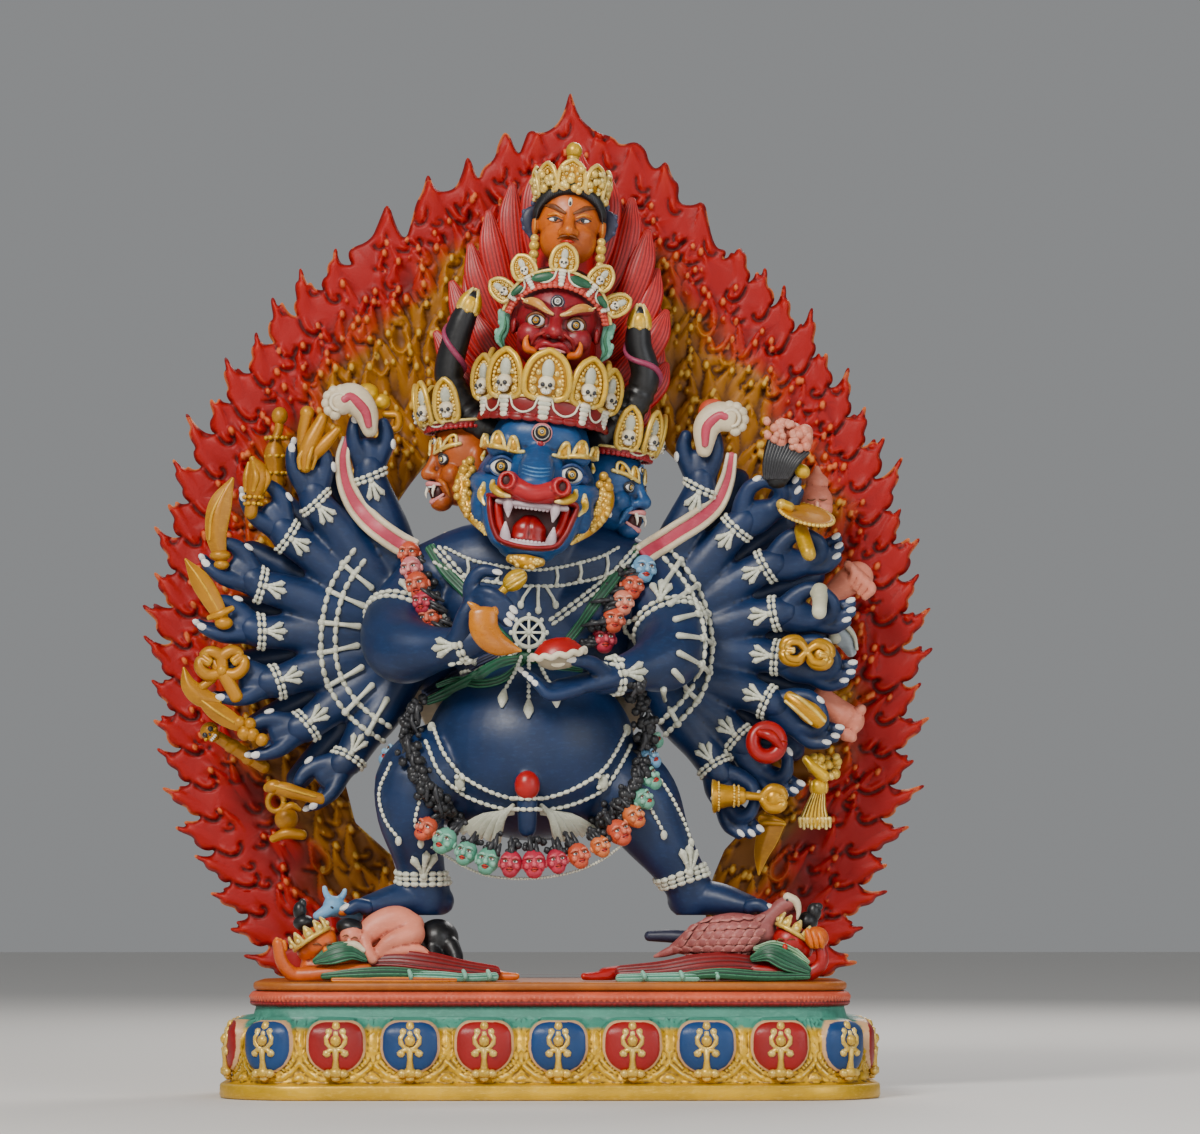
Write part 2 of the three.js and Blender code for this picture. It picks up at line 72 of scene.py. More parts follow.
view = {"eye": (0.0, -4.0, 0.16), "aim": (0.0375, 0.0, 0.397), "lens": 159.0, "floor": 16.0,
    "floorColour": (0.72, 0.7, 0.67), "world": (0.86, 0.88, 0.9), "worldLight": 0.3, "lightsAim": 0.38,
    "floorDrop": 0.0002, "floorRough": 0.7, "vivid": 1.16, "coarse": 20000}


def setStage():
    camera = bpy.data.objects.new("camera", bpy.data.cameras.new("camera"))
    bpy.context.collection.objects.link(camera)
    camera.location = view["eye"]
    camera.rotation_euler = (Vector(view["aim"]) - camera.location).to_track_quat("-Z", "Y").to_euler()
    camera.data.lens = view["lens"]
    camera.data.sensor_width = 36
    camera.data.clip_end = 60
    bpy.context.scene.camera = camera
    world = bpy.data.worlds.new("studio")
    world.use_nodes = True
    world.node_tree.nodes["Background"].inputs["Color"].default_value = (*view["world"], 1)
    world.node_tree.nodes["Background"].inputs["Strength"].default_value = view["worldLight"]
    bpy.context.scene.world = world
    lights = [  # name, place, size, watts, colour
        ("key", (-1.1, -2.2, 2.1), 0.8, 82, (1.0, 0.97, 0.92)),
        ("fill", (1.9, -2.0, 1.0), 1.6, 24, (0.93, 0.96, 1.0)),
        ("low", (0.0, -2.6, 0.25), 1.2, 9, (1.0, 0.98, 0.95)),
        ("rim", (0.6, 2.0, 1.8), 1.2, 34, (1.0, 0.97, 0.94)),
    ]
    for name, place, size, watts, colour in lights:
        data = bpy.data.lights.new(name, "AREA")
        data.size = size
        data.energy = watts
        data.color = colour
        light = bpy.data.objects.new(name, data)
        light.location = place
        light.rotation_euler = (Vector((0, 0, view["lightsAim"])) - Vector(place)).to_track_quat("-Z",
            "Y").to_euler()
        bpy.context.collection.objects.link(light)
    half = view["floor"] / 2
    mesh = bpy.data.meshes.new("floor")
    mesh.from_pydata([(-half, -half, 0), (half, -half, 0), (half, half, 0), (-half, half, 0)], [],
        [(0, 1, 2, 3)])
    floor = bpy.data.objects.new("floor", mesh)
    floor.location.z = -view["floorDrop"]
    bpy.context.collection.objects.link(floor)
    material = bpy.data.materials.new("floor")
    material.use_nodes = True
    surface = material.node_tree.nodes["Principled BSDF"]
    surface.inputs["Base Color"].default_value = (*view["floorColour"], 1)
    surface.inputs["Roughness"].default_value = view["floorRough"]
    mesh.materials.append(material)


# Shader maths

class Value:  # a shader socket that can be reckoned with
    def __init__(self, maker, socket):
        self.maker = maker
        self.socket = socket

    def maths(self, operation, other=0.0, swapped=False, clamp=False):
        pair = (other, self) if swapped else (self, other)
        settings = {"operation": operation, "use_clamp": clamp}
        return self.maker.node("ShaderNodeMath", settings, {0: pair[0], 1: pair[1]})

    def __add__(self, other): return self.maths("ADD", other)
    def __radd__(self, other): return self.maths("ADD", other)
    def __sub__(self, other): return self.maths("SUBTRACT", other)
    def __rsub__(self, other): return self.maths("SUBTRACT", other, swapped=True)
    def __mul__(self, other): return self.maths("MULTIPLY", other)
    def __rmul__(self, other): return self.maths("MULTIPLY", other)
    def __truediv__(self, other): return self.maths("DIVIDE", other)
    def __pow__(self, other): return self.maths("POWER", other)

    def clamped(self):
        return self.maths("ADD", 0.0, clamp=True)

    def ramp(self, low, high):  # 0 below low, 1 above high
        return self.maker.node("ShaderNodeMapRange", {"interpolation_type": "SMOOTHSTEP"},
            {"Value": self, "From Min": low, "From Max": high})


class Finish:  # one material under construction
    def __init__(self, name):
        self.material = bpy.data.materials.new(name)
        self.material.use_nodes = True
        self.tree = self.material.node_tree
        self.surface = self.tree.nodes["Principled BSDF"]

    def node(self, kind, settings=None, sockets=None, output=0):
        made = self.tree.nodes.new(kind)
        for key, value in (settings or {}).items():
            setattr(made, key, value)
        for key, value in (sockets or {}).items():
            if isinstance(value, Value):
                self.tree.links.new(value.socket, made.inputs[key])
            else:
                made.inputs[key].default_value = value
        return Value(self, made.outputs[output])

    def mix(self, factor, first, second):
        pick = {"data_type": "RGBA"}
        return self.node("ShaderNodeMix", pick, {0: factor, 6: first, 7: second}, output=2)

    def noise(self, where, scale, detail=3.0, rough=0.55):
        return self.node("ShaderNodeTexNoise", {}, {"Vector": where, "Scale": scale, "Detail": detail,
            "Roughness": rough})

    def stored(self, name):  # a value kept on the points of the mesh
        return self.node("ShaderNodeAttribute", {"attribute_name": name}, output="Fac")

    def relief(self, strength, reach, height):
        self.put("Normal", self.node("ShaderNodeBump", {}, {"Strength": strength, "Distance": reach,
            "Height": height}))

    def place(self, stretch=(1, 1, 1)):
        where = self.node("ShaderNodeTexCoord", output=3)
        return self.node("ShaderNodeMapping", {}, {"Vector": where, "Scale": stretch})

    def put(self, socket, value):
        if isinstance(value, Value):
            self.tree.links.new(value.socket, self.surface.inputs[socket])
        else:
            self.surface.inputs[socket].default_value = value


def tint(code):  # "#rrggbb" to linear light, a little more vivid
    parts = [int(code[i:i + 2], 16) / 255 for i in (1, 3, 5)]
    light = [((c + 0.055) / 1.055) ** 2.4 if c > 0.04 else c / 12.92 for c in parts]
    grey = sum(light) / 3
    return (*[max(grey + (c - grey) * view["vivid"], 0.002) for c in light], 1)


def mixed(first, second, share):
    return tuple(a * (1 - share) + b * share for a, b in zip(tint(first), tint(second)))


paints = {  # base, darker tone and painted shade, worn paint and painted highlight, roughness, metal, painted shade strength, wear and highlight strength, bump
    "blue": ("#142a4e", "#060d1c", "#46648e", 0.44, 0.0, 0.8, 0.42, 0.16),
    "deepBlue": ("#132850", "#060d1e", "#3c5c90", 0.44, 0.0, 0.8, 0.42, 0.16),
    "gold": ("#ca9426", "#543206", "#ffe08a", 0.32, 0.45, 0.95, 0.75, 0.3),
    "paleGold": ("#d8ac42", "#5c400e", "#fff0b0", 0.34, 0.35, 0.95, 0.75, 0.3),
    "cream": ("#cfccb2", "#3c3a33", "#f6f3e2", 0.52, 0.0, 0.9, 0.6, 0.25),
    "ivory": ("#e9dfc2", "#7a5f3c", "#fffaf0", 0.45, 0.0, 0.8, 0.6, 0.2),
    "white": ("#e8e6e0", "#8b8478", "#ffffff", 0.4, 0.0, 0.6, 0.4, 0.15),
    "black": ("#141416", "#050506", "#4a4a4e", 0.38, 0.0, 0.5, 0.5, 0.25),
    "red": ("#a8160e", "#420403", "#e0503e", 0.34, 0.0, 0.8, 0.45, 0.2),
    "crimson": ("#7c0e18", "#2c0306", "#b83840", 0.38, 0.0, 0.8, 0.5, 0.2),
    "hair": ("#b82a2e", "#560a0c", "#d4625c", 0.42, 0.0, 0.8, 0.35, 0.2),
    "pink": ("#d8888a", "#7a3038", "#f3bcb4", 0.46, 0.0, 0.75, 0.5, 0.2),
    "coral": ("#b83c30", "#560e0c", "#e4786a", 0.44, 0.0, 0.8, 0.5, 0.2),
    "salmon": ("#d06048", "#6c2014", "#f0a088", 0.44, 0.0, 0.8, 0.5, 0.2),
    "rose": ("#b83a4c", "#560e1a", "#e47c84", 0.44, 0.0, 0.8, 0.5, 0.2),
    "orange": ("#cc6410", "#6a2604", "#f6a04a", 0.4, 0.0, 0.85, 0.5, 0.2),
    "skin": ("#e0a07a", "#8a4a30", "#f8d0b0", 0.46, 0.0, 0.75, 0.5, 0.2),
    "green": ("#1f5238", "#081c12", "#5c9672", 0.42, 0.0, 0.8, 0.5, 0.2),
    "teal": ("#4f8f7c", "#1b4038", "#8cc4b0", 0.55, 0.0, 0.8, 0.5, 0.35),
    "paleBlue": ("#7aa6c8", "#2c4c66", "#b8d8ec", 0.46, 0.0, 0.75, 0.5, 0.2),
    "petalBlue": ("#1d4070", "#0a1a36", "#5c84b0", 0.42, 0.0, 0.6, 0.35, 0.2),
    "petalRed": ("#931820", "#3a060a", "#c4584e", 0.42, 0.0, 0.6, 0.35, 0.2),
    "petalEdge": ("#d8b48c", "#8a5030", "#fbe8cc", 0.45, 0.0, 0.5, 0.5, 0.2),
    "mouth": ("#3a0608", "#140203", "#7c1a18", 0.5, 0.0, 0.6, 0.3, 0.15),
    "gum": ("#c4b2b8", "#5e3a46", "#eee6e6", 0.4, 0.0, 0.7, 0.4, 0.15),
    "redFace": ("#8e242c", "#360810", "#c45c56", 0.4, 0.0, 0.8, 0.45, 0.2),
    "faceBlue": ("#244c7c", "#0b1a36", "#6e9cc8", 0.4, 0.0, 0.8, 0.45, 0.18),
    "tongue": ("#8e1a1e", "#3a0608", "#cc5450", 0.3, 0.0, 0.75, 0.45, 0.12),
    "muzzle": ("#b03034", "#4c0a0e", "#e0706a", 0.36, 0.0, 0.75, 0.45, 0.15),
    "brow": ("#cc8c48", "#6a3c14", "#f6d49a", 0.42, 0.0, 0.8, 0.6, 0.25),
    "amber": ("#c06416", "#642806", "#f0a04a", 0.38, 0.0, 0.8, 0.5, 0.15),
    "umber": ("#5a2c10", "#241004", "#96603a", 0.5, 0.0, 0.6, 0.4, 0.15),
    "rope": ("#c2c3b0", "#34362f", "#f2f2e2", 0.5, 0.0, 0.9, 0.7, 0.25),
    "grey": ("#a8b0b4", "#4a5258", "#e6eaec", 0.45, 0.0, 0.7, 0.5, 0.25),
    "ochre": ("#b8801c", "#563206", "#e6ba52", 0.38, 0.2, 0.85, 0.6, 0.25),
    "dusk": ("#2a2c40", "#0c0d16", "#5c6280", 0.45, 0.0, 0.7, 0.5, 0.25),
    "leafGreen": ("#86a884", "#3a5a3e", "#c2d8ba", 0.5, 0.0, 0.75, 0.5, 0.2),
    "skinPink": ("#e08e78", "#8a3c2c", "#f8c8b0", 0.46, 0.0, 0.75, 0.5, 0.2),
    "orangePink": ("#dc7c50", "#803416", "#f6b48c", 0.46, 0.0, 0.75, 0.5, 0.2),
    "leafTeal": ("#6ea890", "#27584a", "#b0d8c4", 0.46, 0.0, 0.75, 0.5, 0.2),
    "hideCream": ("#dccdb0", "#7a6246", "#fbf3e0", 0.46, 0.0, 0.75, 0.5, 0.2),
    "hidePink": ("#b84a5c", "#6a1626", "#dc8a90", 0.44, 0.0, 0.75, 0.5, 0.25),
    "purple": ("#8a3450", "#381020", "#c87890", 0.45, 0.0, 0.8, 0.5, 0.25),
    "bird": ("#9c5a58", "#42201e", "#cf9088", 0.5, 0.0, 0.85, 0.6, 0.25),
    "blade": ("#bd7616", "#5a2a06", "#f0bc60", 0.28, 0.0, 0.8, 0.5, 0.15),
    "sunFace": ("#a8541a", "#4c1c06", "#dc9050", 0.4, 0.0, 0.85, 0.5, 0.2),
    "bone": ("#a89c86", "#463c2e", "#e2dac8", 0.48, 0.0, 0.8, 0.5, 0.25),
    "brown": ("#a8602a", "#4a2208", "#dc9650", 0.48, 0.0, 0.8, 0.6, 0.3),
}


def makePaint(name):
    base, dark, light, rough, metal, paintedShade, wearAndHighlight, bump = paints[name]
    finish = Finish(name)
    where = finish.place()
    broad = finish.noise(where, 28, 4)
    fine = finish.noise(where, 420, 4, 0.6)
    strokes = finish.noise(finish.place((0.4, 0.4, 1.0)), 520, 3)
    bend = finish.stored("bend")
    # painted shade in concave places, and lighter sharp edges: worn paint and painted highlight
    hollow = 1 - (bend + 0.16 * fine).ramp(-0.22, 0.06)
    edge = (bend + 0.1 * fine).ramp(0.14, 0.62)
    pale = mixed(base, light, 0.16)
    deep = mixed(base, dark, 0.3)
    colour = finish.mix(broad.ramp(0.38, 0.66), deep, tint(base))
    colour = finish.mix((strokes.ramp(0.5, 0.72) * 0.5).clamped(), colour, pale)
    # painted shade where the surface is closed in between shapes
    shade = finish.stored("shade")
    closed = (shade + 0.2 * fine).ramp(0.3, 0.8)
    colour = finish.mix((hollow * paintedShade).clamped(), colour, tint(dark))
    colour = finish.mix((closed * (paintedShade * 0.85)).clamped(), colour, tint(dark))
    colour = finish.mix((edge * fine.ramp(0.2, 0.55) * wearAndHighlight).clamped(), colour, tint(light))
    finish.put("Base Color", colour)
    finish.put("Metallic", metal)
    finish.put("Roughness", (rough - 0.07 + 0.16 * fine + 0.08 * hollow).clamped())
    height = fine * 0.6 + strokes * 0.4
    finish.relief(bump, 0.0006, height)
    return finish.material


madePaints = {}


def paintFor(name):
    if name not in madePaints:
        madePaints[name] = makePaint(name)
    return madePaints[name]


# Mesh tools. All shapes are worked out in millimetres.

class Spot:  # a frame of its own for a group of shapes
    def __init__(self, place, matrix):
        self.place = np.asarray(place, float)
        self.matrix = np.asarray(matrix, float)
        self.mirrors = np.linalg.det(self.matrix) < 0

    def __call__(self, points):
        return np.asarray(points, float) @ self.matrix.T + self.place


class Form:  # a growing mesh whose faces each have a paint
    def __init__(self):
        self.points = []
        self.faces = []
        self.paints = []
        self.count = 0

    def add(self, points, faces, paint):
        points = np.asarray(points, float)
        self.points.append(points)
        self.faces.append(np.asarray(faces, int) + self.count)
        self.paints.append(paint)
        self.count += len(points)
        return points

    def join(self, other, move=None, repaint=None):
        turned = getattr(move, "mirrors", False)
        for faces, paint in zip(other.faces, other.paints):
            self.faces.append((faces[:, ::-1] if turned else faces) + self.count)
            self.paints.append((repaint or {}).get(paint, paint))
        for points in other.points:
            self.points.append(points if move is None else move(points))
            self.count += len(points)

    def vertices(self):
        return np.concatenate(self.points)


def makeMesh(name, form):
    mesh = bpy.data.meshes.new(name)
    order = list(dict.fromkeys(form.paints))
    lists = []
    slots = []
    for faces, paint in zip(form.faces, form.paints):
        lists.extend(faces.tolist())
        slots.extend([order.index(paint)] * len(faces))
    mesh.from_pydata((form.vertices() * mm).tolist(), [], lists)
    mesh.polygons.foreach_set("material_index", slots)
    mesh.polygons.foreach_set("use_smooth", [True] * len(lists))
    mesh.update()
    return mesh, order


def storeBend(mesh, softening):  # how sharply the surface bends: above 0 on edges, below 0 in hollows
    count = len(mesh.vertices)
    points = np.empty(count * 3)
    mesh.vertices.foreach_get("co", points)
    points = points.reshape(-1, 3) / mm
    normals = np.empty(count * 3)
    mesh.vertex_normals.foreach_get("vector", normals)
    normals = normals.reshape(-1, 3)
    ends = np.empty(len(mesh.edges) * 2, int)
    mesh.edges.foreach_get("vertices", ends)
    first, second = ends.reshape(-1, 2).T
    way = points[second] - points[first]
    length = np.maximum(np.sum(way ** 2, axis=1), 0.01)
    total = (np.bincount(first, -np.sum(way * normals[first], axis=1) / length, count)
        + np.bincount(second, np.sum(way * normals[second], axis=1) / length, count))
    near = np.maximum(np.bincount(first, minlength=count) + np.bincount(second, minlength=count), 1)
    bend = 2 * total / near
    for _ in range(softening):
        around = np.bincount(first, bend[second], count) + np.bincount(second, bend[first], count)
        bend = 0.5 * bend + 0.5 * around / near
    mesh.attributes.new("bend", "FLOAT", "POINT").data.foreach_set("value",
        np.clip(bend, -2, 2).astype(np.float32))
    # how closed in each point is: 1 in a crevice between shapes, 0 in the open; the paints darken these places with
    # painted shade
    cell = 1.1

    def keys(places):
        whole = np.floor(places / cell).astype(np.int64) + 4096
        return (whole[:, 0] << 26) | (whole[:, 1] << 13) | whole[:, 2]
    taken = np.unique(keys(points))
    side = unit(np.cross(normals, np.where(np.abs(normals[:, 2:3]) < 0.8, (0.0, 0, 1), (1.0, 0, 0))))
    other = np.cross(normals, side)
    shade = np.zeros(count)
    ways = [normals] + [unit(normals + 0.75 * way) for way in (side, -side, other, -other)]
    for way in ways:
        met = np.zeros(count, bool)
        for reach in (2.6, 3.9, 5.4):
            ahead = keys(points + way * reach)
            place = np.minimum(np.searchsorted(taken, ahead), len(taken) - 1)
            met |= taken[place] == ahead
        shade += met / len(ways)
    for _ in range(2):
        around = np.bincount(first, shade[second], count) + np.bincount(second, shade[first], count)
        shade = 0.5 * shade + 0.5 * around / near
    mesh.attributes.new("shade", "FLOAT", "POINT").data.foreach_set("value", shade.astype(np.float32))


def thinOut(piece, share):  # fewer triangles where the surface is smooth, with what is stored on its points
    piece.modifiers.new("thin", "DECIMATE").ratio = share
    scene = bpy.context.evaluated_depsgraph_get()
    full = piece.data
    piece.data = bpy.data.meshes.new_from_object(piece.evaluated_get(scene), preserve_all_data_layers=True,
        depsgraph=scene)
    piece.modifiers.clear()
    bpy.data.meshes.remove(full)


def finishPiece(name, form, nodes, materials=None, softening=1, values=None, share=0.4):
    mesh, order = makeMesh(name, form)
    for paint in order:
        mesh.materials.append((materials or {}).get(paint) or paintFor(paint))
    storeBend(mesh, softening)
    for key, value in (values or {}).items():
        mesh.attributes.new(key, "FLOAT", "POINT").data.foreach_set("value", np.asarray(value, np.float32))
    piece = bpy.data.objects.new(name, mesh)
    bpy.context.collection.objects.link(piece)
    if len(mesh.loops) - 2 * len(mesh.polygons) > view["coarse"]:
        thinOut(piece, share)
    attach(piece, "root")
    if nodes:
        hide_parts(*nodes)
    say("%s: %d faces" % (name, len(piece.data.polygons)))
    return piece


def smoothList(values, places):  # Catmull-Rom through the values, read at places from 0 to 1
    values = np.asarray(values, float)
    flat = values.ndim == 1
    if flat:
        values = values[:, None]
    count = len(values)
    padded = np.vstack([2 * values[0] - values[1], values, 2 * values[-1] - values[-2]])
    at = np.clip(np.asarray(places, float), 0, 1) * (count - 1)
    first = np.minimum(at.astype(int), count - 2)
    u = (at - first)[:, None]
    p0, p1, p2, p3 = (padded[first + k] for k in range(4))
    curve = 0.5 * (2 * p1 + (p2 - p0) * u + (2 * p0 - 5 * p1 + 4 * p2 - p3) * u ** 2
        + (3 * p1 - p0 - 3 * p2 + p3) * u ** 3)
    return curve[:, 0] if flat else curve


def evenPath(points, count):  # points at even steps along a smooth curve
    points = np.asarray(points, float)
    dense = smoothList(points, np.linspace(0, 1, max(12 * len(points), 3 * count)))
    way = np.concatenate([[0], np.cumsum(np.linalg.norm(np.diff(dense, axis=0), axis=1))])
    steps = np.linspace(0, way[-1], count)
    return np.stack([np.interp(steps, way, dense[:, k]) for k in range(dense.shape[1])], axis=1)


def unit(vectors):
    vectors = np.asarray(vectors, float)
    return vectors / np.maximum(np.linalg.norm(vectors, axis=-1, keepdims=True), 1e-9)


def sweep(form, paint, points, width, thick=None, face=None, sides=12, steps=12, rounded=True, section=None):
    path = evenPath(points, steps)
    places = np.linspace(0, 1, steps)
    wide = smoothList(np.atleast_1d(width) if np.ndim(width) else [width, width], places)
    deep = wide if thick is None else smoothList(thick if np.ndim(thick) else [thick, thick], places)
    if rounded:  # extra rings close both ends in a dome
        scale = np.array([0.15, 0.62, 0.9])
        for end in (0, -1):
            out = unit(path[end] - path[1 if end == 0 else -2])
            reach = min(wide[end], deep[end])
            rings = path[end] + reach * np.array([0.95, 0.75, 0.42])[:, None] * out
            if end == 0:
                path = np.vstack([rings, path])
                wide = np.concatenate([wide[0] * scale, wide])
                deep = np.concatenate([deep[0] * scale, deep])
            else:
                path = np.vstack([path, rings[::-1]])
                wide = np.concatenate([wide, wide[-1] * scale[::-1]])
                deep = np.concatenate([deep, deep[-1] * scale[::-1]])
    along = unit(np.gradient(path, axis=0))
    if face is not None:
        normal = np.asarray(face, float) if np.ndim(face) > 1 else np.broadcast_to(np.asarray(face, float),
            path.shape)
        if len(normal) != len(path):
            normal = np.stack([np.interp(np.linspace(0, 1, len(path)), np.linspace(0, 1, len(normal)),
                normal[:, k]) for k in range(3)], axis=1)
        normal = unit(normal - along * np.sum(normal * along, axis=1, keepdims=True))
    else:
        normal = np.zeros_like(path)
        seed = np.array([0, 0, 1.0]) if abs(along[0][2]) < 0.9 else np.array([1.0, 0, 0])
        for i in range(len(path)):
            seed = unit(seed - along[i] * np.dot(seed, along[i]))
            normal[i] = seed
    across = np.cross(along, normal)
    turn = np.linspace(0, 2 * np.pi, sides, endpoint=False)
    ringX = np.cos(turn)
    ringY = np.sin(turn)
    if section is not None:
        ringX, ringY = section(turn)
    rings = (path[:, None] + across[:, None] * (wide[:, None] * ringX)[..., None]
        + normal[:, None] * (deep[:, None] * ringY)[..., None])
    verts = rings.reshape(-1, 3)
    count = len(path)
    i, j = np.meshgrid(np.arange(count - 1), np.arange(sides), indexing="ij")
    k = (j + 1) % sides
    quads = np.stack([i * sides + j, (i + 1) * sides + j, (i + 1) * sides + k, i * sides + k],
        axis=-1).reshape(-1, 4)
    form.add(verts, quads, paint)
    base = form.count - len(verts)
    lower = np.arange(sides)
    form.points.append(np.stack([path[0], path[-1]]))
    first = form.count
    form.count += 2
    form.faces.append(np.stack([np.full(sides, first), base + lower, base + (lower + 1) % sides], axis=1))
    form.paints.append(paint)
    top = base + (count - 1) * sides
    form.faces.append(np.stack([np.full(sides, first + 1), top + (lower + 1) % sides, top + lower], axis=1))
    form.paints.append(paint)
    return path


def ball(form, paint, centre, size, sides=16, rings=10, turned=None):
    size = np.broadcast_to(np.asarray(size, float), (3,))
    lat = np.linspace(0, np.pi, rings + 1)[1:-1]
    lon = np.linspace(0, 2 * np.pi, sides, endpoint=False)
    grid = np.stack([np.sin(lat)[:, None] * np.cos(lon), np.sin(lat)[:, None] * np.sin(lon),
        np.cos(lat)[:, None] * np.ones(sides)], axis=-1).reshape(-1, 3)
    points = np.vstack([grid, [[0, 0, 1], [0, 0, -1]]]) * size
    if turned is not None:
        points = points @ np.asarray(turned, float).T
    points = points + np.asarray(centre, float)
    inner = rings - 1
    i, j = np.meshgrid(np.arange(inner - 1), np.arange(sides), indexing="ij")
    k = (j + 1) % sides
    quads = np.stack([i * sides + j, (i + 1) * sides + j, (i + 1) * sides + k, i * sides + k],
        axis=-1).reshape(-1, 4)
    form.add(points, quads, paint)
    base = form.count - len(points)
    lower = np.arange(sides)
    form.faces.append(np.stack([np.full(sides, base + len(grid)), base + lower, base + (lower + 1) % sides],
        axis=1))
    form.paints.append(paint)
    last = base + (inner - 1) * sides
    form.faces.append(np.stack([np.full(sides, base + len(grid) + 1), last + (lower + 1) % sides, last + lower],
        axis=1))
    form.paints.append(paint)


def turnMatrix(x=0, y=0, z=0):  # degrees, applied in the order x, y, z
    a, b, c = (math.radians(v) for v in (x, y, z))
    rx = np.array([[1, 0, 0], [0, math.cos(a), -math.sin(a)], [0, math.sin(a), math.cos(a)]])
    ry = np.array([[math.cos(b), 0, math.sin(b)], [0, 1, 0], [-math.sin(b), 0, math.cos(b)]])
    rz = np.array([[math.cos(c), -math.sin(c), 0], [math.sin(c), math.cos(c), 0], [0, 0, 1]])
    return rz @ ry @ rx


def lathe(form, paint, profile, centre, axis=(0, 0, 1), sides=32):
    axis = unit(axis)
    seed = np.array([0, -1.0, 0]) if abs(axis[1]) < 0.9 else np.array([1.0, 0, 0])
    across = unit(seed - axis * np.dot(seed, axis))
    other = np.cross(axis, across)
    turn = np.linspace(0, 2 * np.pi, sides, endpoint=False)
    profile = np.asarray(profile, float)
    reach = profile[:, 0][:, None] * np.ones(sides)
    rings = (np.asarray(centre, float) + axis * profile[:, 1][:, None, None]
        + across * (reach * np.cos(turn))[..., None] + other * (reach * np.sin(turn))[..., None])
    count = len(profile)
    i, j = np.meshgrid(np.arange(count - 1), np.arange(sides), indexing="ij")
    k = (j + 1) % sides
    quads = np.stack([i * sides + j, i * sides + k, (i + 1) * sides + k, (i + 1) * sides + j],
        axis=-1).reshape(-1, 4)
    form.add(rings.reshape(-1, 3), quads, paint)


def blended(name, source, voxel, smoothing=4):  # joins overlapping shells into one soft skin
    mesh, _ = makeMesh(name, source)
    temp = bpy.data.objects.new(name, mesh)
    bpy.context.collection.objects.link(temp)
    remesh = temp.modifiers.new("skin", "REMESH")
    remesh.mode = "VOXEL"
    remesh.voxel_size = voxel * mm
    soft = temp.modifiers.new("soft", "SMOOTH")
    soft.iterations = smoothing
    soft.factor = 0.5
    done = bpy.data.meshes.new_from_object(temp.evaluated_get(bpy.context.evaluated_depsgraph_get()))
    points = np.empty(len(done.vertices) * 3)
    done.vertices.foreach_get("co", points)
    corners = np.empty(len(done.loops), int)
    done.loops.foreach_get("vertex_index", corners)
    bpy.data.objects.remove(temp)
    bpy.data.meshes.remove(mesh)
    bpy.data.meshes.remove(done)
    return points.reshape(-1, 3) / mm, corners.reshape(-1, 4)


class Skin:  # finds the front surface of finished shapes, for what is laid on them
    def __init__(self, *shapes):
        points = np.concatenate([s[0] for s in shapes])
        faces = []
        start = 0
        for verts, quads in shapes:
            faces.extend((quads + start).tolist())
            start += len(verts)
        self.tree = BVHTree.FromPolygons(points.tolist(), faces)

    def front(self, x, z, lift=0.0, otherwise=0.0):
        hit, normal, _, _ = self.tree.ray_cast(Vector((x, -400, z)), Vector((0, 1, 0)))
        if hit is None:
            return np.array([x, otherwise, z]), np.array([0, -1.0, 0])
        normal = np.array(normal)
        return np.array(hit) + normal * lift, normal

    def at(self, x, z, lift=0.0):
        return self.front(x, z, lift)[0]

    def along(self, points, lift=0.0, side=1):
        return [self.at(side * x, z, lift) for x, z in points]

    def near(self, point, lift=0.0):
        hit, normal, _, _ = self.tree.find_nearest(Vector(point))
        return np.array(hit) + np.array(normal) * lift, np.array(normal)


setStage()


# Flame ring: the arch of the solids with a finer edge, and a carved front

flames = {"back": 84, "front": 74, "foot": 86.4, "widest": 337, "top": 736, "half": 284, "lobes": 29,
    "lobe": 19, "grain": 1.7, "seed": 11, "crestFrom": 650, "bends": {-1: (2.45, 0.82), 1: (2.2, 0.95)}}


def flameEdge(z, side):
    bend, fall = flames["bends"][side]
    above = (z - flames["widest"]) / (flames["top"] - flames["widest"])
    below = (flames["widest"] - z) / (flames["widest"] - 105)
    half = max(1 - above ** bend, 0) ** fall if above > 0 else 1 - 0.242 * max(below, 0) ** 2.1
    lean = 27 * max(above, 0) ** 2 + 9 * max(below, 0) ** 2 - 10
    return flames["half"] * half, lean


def flameRoots(side):  # where each lobe of the edge begins, and which way the edge runs there
    rise = (1 - np.cos(np.pi * np.arange(501) / 500)) / 2
    heights = flames["foot"] + (flames["top"] - flames["foot"]) * rise
    halves = np.array([flameEdge(z, side)[0] for z in heights])
    way = np.concatenate([[0], np.cumsum(np.hypot(np.diff(halves), np.diff(heights)))])
    pitch = way[-1] / flames["lobes"]
    roots = []
    for i in range(flames["lobes"]):
        at = int(np.argmax(way >= i * pitch))
        ahead = min(at + 6, 500)
        roots.append((heights[at], math.atan2(heights[ahead] - heights[at], halves[ahead] - halves[at])))
    return roots, pitch


